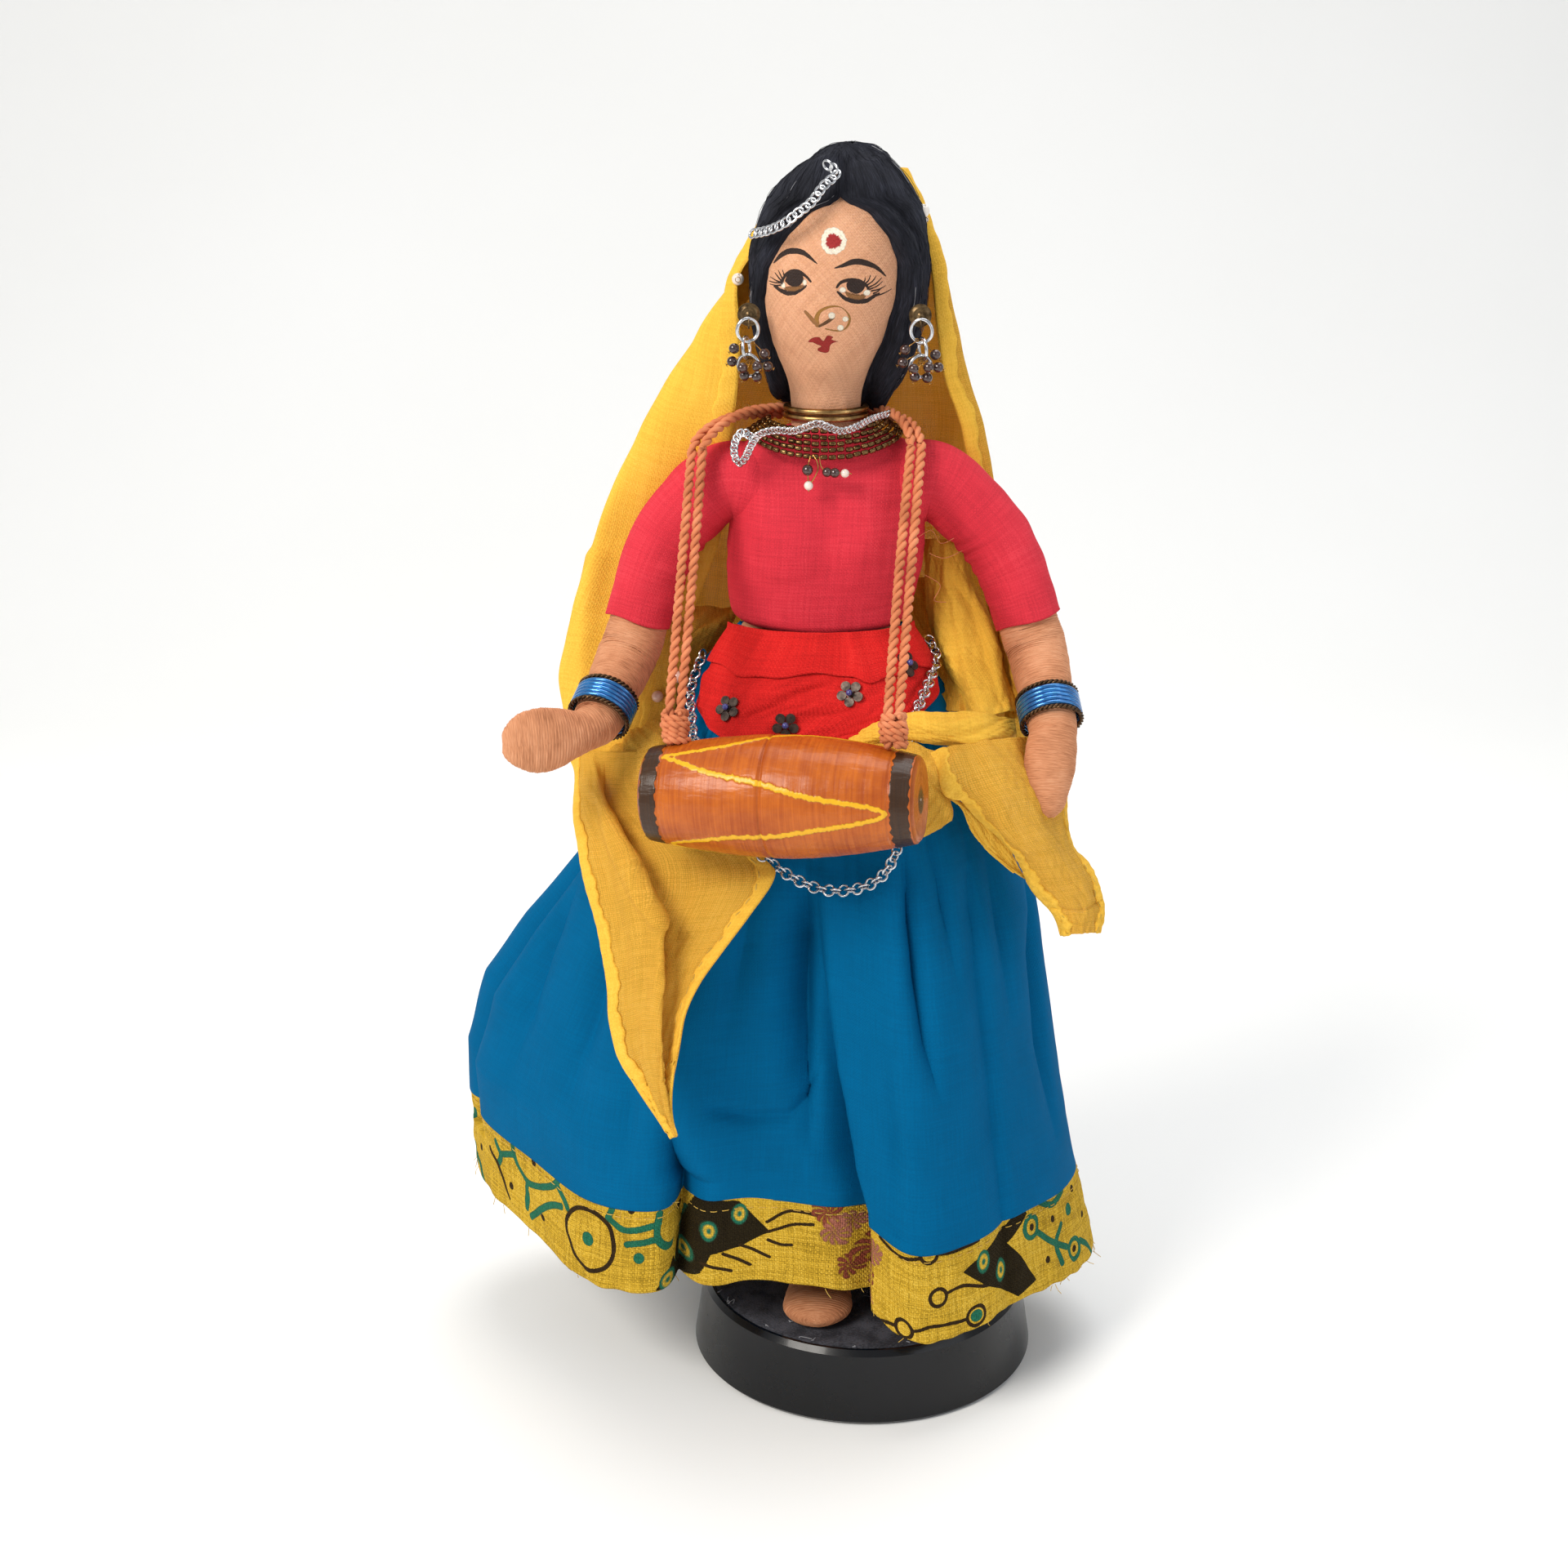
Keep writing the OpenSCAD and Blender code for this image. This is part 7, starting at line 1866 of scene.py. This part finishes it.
        [(17.3, -28.5, 135.2), (21.2, -28, 132.2), (25.8, -27, 128.4)],
        [(19.6, -28, 130.4), (23.0, -27.5, 127.4), (28.1, -27, 124.9)],
        [(23.1, -27.5, 125.7), (25.9, -27, 123.8), (29.9, -26.5, 121.3)],
        [(28.2, -27, 121.4), (30.1, -27, 120.3), (32.2, -26.5, 118.1)],
    ],
}


def signedAway(x, z, points):    # distance from a drawn fold, signed by its side
    best, side = np.full(x.shape, 99.0), np.ones(x.shape)
    for p, q in zip(points[:-1], points[1:]):
        dx, dz = q[0] - p[0], q[1] - p[1]
        g = np.clip(((x - p[0]) * dx + (z - p[1]) * dz) / max(dx * dx + dz * dz, 1e-9), 0, 1)
        d = np.hypot(x - p[0] - g * dx, z - p[1] - g * dz)
        s = np.sign(dx * (z - p[1]) - dz * (x - p[0]))
        side = np.where(d < best, s, side)
        best = np.minimum(best, d)
    return best * side


def spread(rows, count, per=14):    # control rows made into a smooth fine grid
    lines = [evenly(smoothPath(row, per), count[1]) for row in rows]
    lines = np.stack(lines)
    fine = smoothPath(lines.reshape(len(rows), -1), per).reshape(-1, count[1], 3)
    return np.stack([evenly(fine[:, j], count[0]) for j in range(count[1])], 1)


def outward(grid):    # normals turned to face away from the doll's middle
    n = gridNormals(grid)
    middle = np.array([-14.0, 2.0, 0.0])
    away = grid - middle
    away[..., 2] = 0
    return n if (n * away).sum() > 0 else -n


def veilPart(name, rows, count, seed, folds=(), soft=0.18, mat=None, crinkle=0.05, thick=0.22):
    grid = spread(rows, count)
    n = outward(grid)
    lift = waves(grid.shape[:2], seed, (2.5, 4, soft), (6, 9, soft * 0.5), (15, 18, crinkle))
    for line, high, left, right in folds:
        d = signedAway(grid[..., 0], grid[..., 2], smoothPath(line, 6).tolist())
        lift = lift + high * np.where(d < 0, np.exp(-(d / left) ** 2), np.exp(-(d / right) ** 2))
    # edges stay where they are pinned or hemmed
    edge = np.minimum(np.arange(count[1]), np.arange(count[1])[::-1]) / (0.08 * count[1])
    grid = grid + n * (lift * ease(edge + 0.25, 0, 1)[None, :])[..., None]
    obj = gridMesh(name, grid, mat or yellowVoile, uvRow=count[0] // 2,
                   uvStart=(dice.uniform(0, 40), dice.uniform(0, 40)), thick=thick)
    return obj, grid


def hemBand(name, grid, side, wide=3.4, stitches=True, threadSize=0.12):
    n = outward(grid)
    g, nn = (grid, n) if side == "first" else (grid[:, ::-1], n[:, ::-1])
    run = np.zeros(g.shape[:2])
    run[:, 1:] = np.cumsum(np.linalg.norm(np.diff(g, axis=1), axis=2), axis=1)
    m = 12
    at = np.linspace(0, 1, m)
    wander = 1 + 0.12 * np.sin(np.arange(len(g)) * 0.21) + 0.06 * np.sin(np.arange(len(g)) * 0.67)
    band = np.zeros((len(g), m, 3))
    normal = np.zeros((len(g), m, 3))
    for i in range(len(g)):
        reach = min(wide * wander[i], run[i, -1] * 0.45)
        for k in range(3):
            band[i, :, k] = np.interp(at * reach, run[i], g[i, :, k])
            normal[i, :, k] = np.interp(at * reach, run[i], nn[i, :, k])
    puffed = 0.32 + 0.22 * np.sin(math.pi * at) ** 0.5
    puffed[0], puffed[-1] = 0.0, 0.12
    ripple = 0.1 * np.sin(np.arange(len(g)) * 2 * math.pi / 9)[:, None] * (at * (1 - at) * 3)[None, :]
    band = band + unit(normal) * (puffed[None, :] + ripple)[..., None]
    obj = gridMesh(name, band, yellowHem, uvRow=len(g) // 2, uvStart=(3, 9), thick=0.2)
    made = [obj]
    if stitches:
        line = band[:, m - 3]
        sewing = joinMeshes(name + "_stitches",
                            stitchRow(line, unit(normal[:, m - 3]), 1.5, 3.1, threadSize, 0.02, 0.12),
                            stitchThread)
        made.append(sewing)
    return made


# the hood: rows run from the right front edge round the back to the left front edge,
# whose last few points are the wide front fold that faces forward
hood = [
    [(4.6, 5.6, 256.4), (6.2, 7.2, 256.2), (4.5, 10.6, 256), (-4.4, 14.6, 256), (-11.4, 13, 255.6),
     (-14.6, 9.4, 255.6), (-14, 8.4, 255.6), (-13.2, 8, 255.8)],
    [(7.6, 3.4, 250), (9.4, 5.6, 250), (6.5, 14.5, 250), (-5.6, 19.6, 250), (-15.4, 16.5, 249.6),
     (-20.2, 9, 249.2), (-19.2, 7.2, 249.4), (-18, 6.6, 249.6)],
    [(9.8, 2.6, 243), (12.2, 4.8, 243), (8.5, 16.4, 243), (-6.6, 20.8, 243), (-19, 17, 242.6),
     (-25, 7.4, 242), (-24.4, 5, 242), (-22.6, 3.8, 242)],
    [(11.6, 2.6, 236), (14.3, 4.6, 236), (9.8, 17, 236), (-7, 21.6, 236), (-21, 17.6, 236),
     (-28.2, 5.6, 235.4), (-27.8, 2.6, 235.4), (-26.8, 1.4, 235.2)],
    [(12.8, 3, 226), (16.8, 5, 226), (11.4, 17.6, 226), (-7.8, 22.2, 226), (-25, 18, 226), (-34, 6, 225.6),
     (-31.5, 2.2, 225.4), (-26.5, 0.8, 225.2)],
    [(14.6, 3.4, 216), (19.3, 5.8, 216), (13, 18.6, 216), (-9, 22.8, 216), (-29, 19, 216),
     (-40.6, 6.4, 215.6), (-35.5, 1.8, 215.4), (-27, 0.6, 215.2)],
    [(18.2, 4, 206), (22.9, 6.4, 206), (15.4, 19.6, 206), (-10, 23.4, 206), (-33, 19.6, 206),
     (-46.6, 6.6, 206), (-39, 2.4, 205.6), (-28.2, 1.2, 205.2)],
    [(20.6, 6, 194), (25.4, 8.2, 194), (17, 21, 194), (-11, 25, 194), (-37, 20.4, 194), (-52.4, 8.4, 194),
     (-43, 5.2, 194), (-29.4, 3.4, 193.6)],
    [(22.6, 8, 182), (28.6, 9.6, 182), (18.6, 22.4, 182), (-13, 26.8, 182), (-40.4, 22, 182),
     (-57.2, 9.6, 182), (-46, 8.2, 182), (-31.4, 4.6, 181.6)],
    [(25, 9, 168), (31.6, 9.8, 168), (20, 23.4, 168), (-14, 28.4, 168), (-43, 23.4, 168), (-61.6, 9, 168),
     (-50, 6.8, 168), (-36.4, 4.4, 168.5)],
    [(28.2, 7.4, 154), (34.6, 8.4, 154), (21.6, 23.8, 154), (-15, 30, 154), (-44.6, 24, 154),
     (-65, 6.4, 154), (-54, 2.6, 154), (-41, 1.6, 155)],
    [(31, 3, 141), (37, 6.4, 141), (23, 24.6, 141), (-16, 32, 141), (-44, 24.6, 141), (-64, 2.4, 141),
     (-56, -3, 141), (-45, -3, 142)],
    [(33, 0, 133), (38, 4.4, 134), (24, 25.4, 134), (-16, 32.6, 134), (-43, 24.6, 134), (-61.5, 0.4, 134),
     (-54, -5, 134), (-46, -5.5, 135)],
]
hoodFolds = [([(-36, 232), (-44, 200), (-50, 170), (-52, 140)], 0.5, 3, 4),
             ([(-57.5, 178), (-60, 160), (-59.5, 140)], 1.0, 1.6, 3),
             ([(-28, 214), (-34, 190), (-44, 160), (-50, 140)], 0.45, 3, 5)]
veilHood, hoodGrid = veilPart("veil_hood_cloth", hood, (250, 330), 51, hoodFolds, 0.14)
# soft hanging folds down the back
s = np.linspace(0, 1, 330)[None, :]
d = np.linspace(0, 1, 250)[:, None]
backFolds = ease(d, 0.12, 0.9) * ease(s, 0.12, 0.24) * (1 - ease(s, 0.66, 0.8))
wave = np.sin(s * 62 + 3.2 * d) * 0.9 + 0.7 * np.sin(s * 37 - 2.1 * d + 1) + 0.4 * np.sin(s * 95 + 5 * d)
hoodGrid = hoodGrid + outward(hoodGrid) * (backFolds * wave * 0.8)[..., None]
veilHood.data.vertices.foreach_set("co", (hoodGrid.reshape(-1, 3) * mm).ravel())
veilHood.data.update()
# the wide front fold is doubled cloth, so nothing shows through it
veilHood.data.materials.append(yellowHem)
cols = 329
doubled = np.tile(np.arange(cols) > int(330 * 0.735), 249)
veilHood.data.polygons.foreach_set("material_index", doubled.astype(np.int32))
hems = hemBand("veil_hem_hood_left", hoodGrid, "last", 4.2, stitches=False) + hemBand("veil_hem_hood_right",
        hoodGrid, "first", 3.0)
bottomRow = np.swapaxes(hoodGrid[-30:][::-1], 0, 1)
hems += hemBand("veil_hem_back", bottomRow[60:280], "first", 3.0)
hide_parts("veil_hood", "veil_back")
for piece in [veilHood] + hems:
    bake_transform(piece)

tailFolds = [([(-53.6, 129.9), (-50.9, 124.7), (-47.7, 120.4), (-43.3, 115.1)], 1.0, 1.4, 2.2),
             ([(-56.9, 132.6), (-54.8, 123.2), (-51, 113.8), (-49.1, 104.2), (-48.8, 94.5), (-47.1, 86.5),
               (-43.5, 76.5)], -0.9, 1.6, 1.6),
             ([(-47.9, 123.7), (-45.4, 117.6), (-42.4, 114.5), (-38.3, 111.9)], 0.7, 1.2, 2.4),
             ([(-36, 124), (-38.5, 112), (-40.2, 100), (-41.4, 86)], -0.6, 1.5, 2.2)]
tail, tailGrid = veilPart("veil_end_left", veilRows["tailLeft"], (260, 190), 53, tailFolds, 0.15)
tailHems = hemBand("veil_hem_left_outer", tailGrid, "first", 3.0) + hemBand("veil_hem_left_inner", tailGrid,
        "last", 3.6)
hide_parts("veil_tail_left")
gapFolds = [([(-28.8, 168.2), (-33.9, 166), (-37.4, 161.6), (-39, 155.5), (-39.3, 149.3), (-38.7, 143.9)],
             1.6, 1.1, 2.0),
            ([(-32.2, 170), (-37.3, 168.9), (-40.8, 164.5), (-42.6, 158.4), (-43.5, 152.2)], 1.0, 1.2, 1.8)]
gapCloth, _ = veilPart("veil_roll_left", veilRows["gapLeft"], (150, 120), 55, gapFolds, 0.2)
puff, _ = veilPart("veil_puff_left", veilRows["puffLeft"], (120, 110), 57,
                   [([(-51.9, 142.7), (-51.2, 138.3), (-48.3, 134), (-46.3, 131.3)], -0.9, 0.9, 1.2)], 0.25)
bandFolds = [([(15.8, 181.5), (16, 174.6), (17.8, 168.3), (19.1, 160.2), (22.2, 150.8)], 0.9, 0.9, 2.0),
             ([(17.7, 173.5), (21.2, 168.3), (23.1, 161.3), (26.2, 153.1)], -0.7, 1.2, 1.2)]
band, _ = veilPart("veil_band_right", veilRows["bandRight"], (190, 110), 59, bandFolds, 0.2, yellowHem)
sheer, _ = veilPart("veil_sheer_right", veilRows["sheerRight"], (110, 80), 61, (), 0.3)
backCloth, _ = veilPart("veil_behind_right", veilRows["backRight"], (100, 60), 63, (), 0.35, yellowHem)
waistFolds = [([(7, 150.2), (14.6, 149.6), (22.7, 150.2), (27.8, 151)], -0.5, 0.8, 1.0)]
belt, _ = veilPart("veil_waist_band", veilRows["waistBand"], (70, 220), 65, waistFolds, 0.16, yellowHem)
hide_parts("veil_wrap")
fall, _ = veilPart("veil_waist_fall", veilRows["waistFall"], (130, 150), 67, (), 0.3)
endFolds = [([(15.9, 146), (14.4, 143.2), (13.4, 138.7)], 0.9, 1.0, 1.4),
            ([(21.2, 148.3), (26.2, 143.2), (31.8, 135.3), (36.5, 126.2), (41.6, 119.8)], 0.6, 2.4, 3.0),
            ([(36.4, 114.3), (40.8, 114.1), (45.7, 114.6)], -0.45, 0.35, 0.6)]
end, endGrid = veilPart("veil_end_right", veilRows["endRight"], (230, 150), 69, endFolds, 0.16)
endHems = hemBand("veil_hem_right_lower", endGrid, "first", 3.4) + hemBand("veil_hem_right_upper", endGrid,
        "last", 2.6)
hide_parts("veil_tail_right")
inside, _ = veilPart("veil_end_inside", veilRows["endInside"], (110, 60), 71, (), 0.15, yellowHem)
for piece in [tail, gapCloth, puff, band, sheer, backCloth, belt, fall, end, inside] + tailHems + endHems:
    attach(piece, "doll")
print("veil draped")

# pins: tiny pearls hold the veil; each has the eye of its headpin showing
eyes, pearls = [], []
for at, r in (((7.6, 1.6, 250.4), 1.25), ((9.4, 1.2, 248.6), 1.35), ((9.9, 1.6, 246.9), 0.7),
              ((-26.9, 0.4, 235.6), 1.2)):
    at = np.array(at)
    pearls.append(bead(at, r, (0.3, -0.5, 0.8)))
    eyes.append(tubePart(at + np.array([(0.5 * math.cos(a), -1.05, 0.5 * math.sin(a))
                                        for a in np.linspace(0, 6.2, 12)]), 0.09, 5))
eyePins = joinMeshes("pearl_pin_eyes", eyes, goldPin)
pinPearls = joinMeshes("veil_pin_pearls", pearls, pearlGlaze)
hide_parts("veil_pins")
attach(pinPearls, "head")
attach(eyePins, "head")

# stray threads, as on anything sewn by hand
strays = []
for path in ([(9.2, -9, 186), (11.6, -10.5, 187.5), (13.6, -8.6, 184.6), (16.4, -6.5, 185.2)],
             [(10.6, -8, 178), (13.6, -9.6, 176.2), (12.4, -10.6, 173.4), (15, -8, 172.4)],
             [(11.4, -8.5, 182.5), (14.4, -8.8, 181.6), (18.2, -6.2, 182.6)]):
    strays.append(tubePart(smoothPath(path, 10), 0.06, 4, capped=False))
strayThreads = joinMeshes("stray_threads", strays, cordYarn)
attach(strayThreads, "doll")

# floor
paperFloor, tree, shader = newMaterial("white paper sweep", {"Roughness": 0.9, "Specular IOR Level": 0.2})
# a seamless sheet of matt paper: faint fibres and cloudiness, almost white
place = addNode(tree, "TexCoord")
cloud = addNode(tree, "TexNoise", {"Vector": place.outputs["Object"], "Scale": 3.0, "Detail": 3.0})
fibre = addNode(tree, "TexNoise", {"Vector": place.outputs["Object"], "Scale": 900.0, "Detail": 2.0})
paper = addNode(tree, "Mix", {"Factor": cloud, "A": toLinear("#f4f4f2"), "B": toLinear("#fbfbfa")},
                data_type="RGBA")
feed(tree, shader, colour=paper, bump=addNode(tree, "Bump",
                                              {"Strength": 0.12, "Distance": 0.03 * mm, "Height": fibre}))
# it lies flat under the stand and sweeps up behind
bend = np.linspace(0, math.pi / 2, 24)
runY = np.concatenate([np.linspace(-2200, 500, 20), 500 + 600 * np.sin(bend[1:]), [1100, 1100]])
runZ = np.concatenate([np.zeros(20), 600 * (1 - np.cos(bend[1:])), [1400, 2600]])
wideX = np.linspace(-3000, 3000, 30)
floorGrid = np.stack([wideX[None, :] + 0 * runY[:, None], runY[:, None] + 0 * wideX[None, :],
                      runZ[:, None] + 0 * wideX[None, :]], -1)
floor = gridMesh("paper_floor", floorGrid, paperFloor)
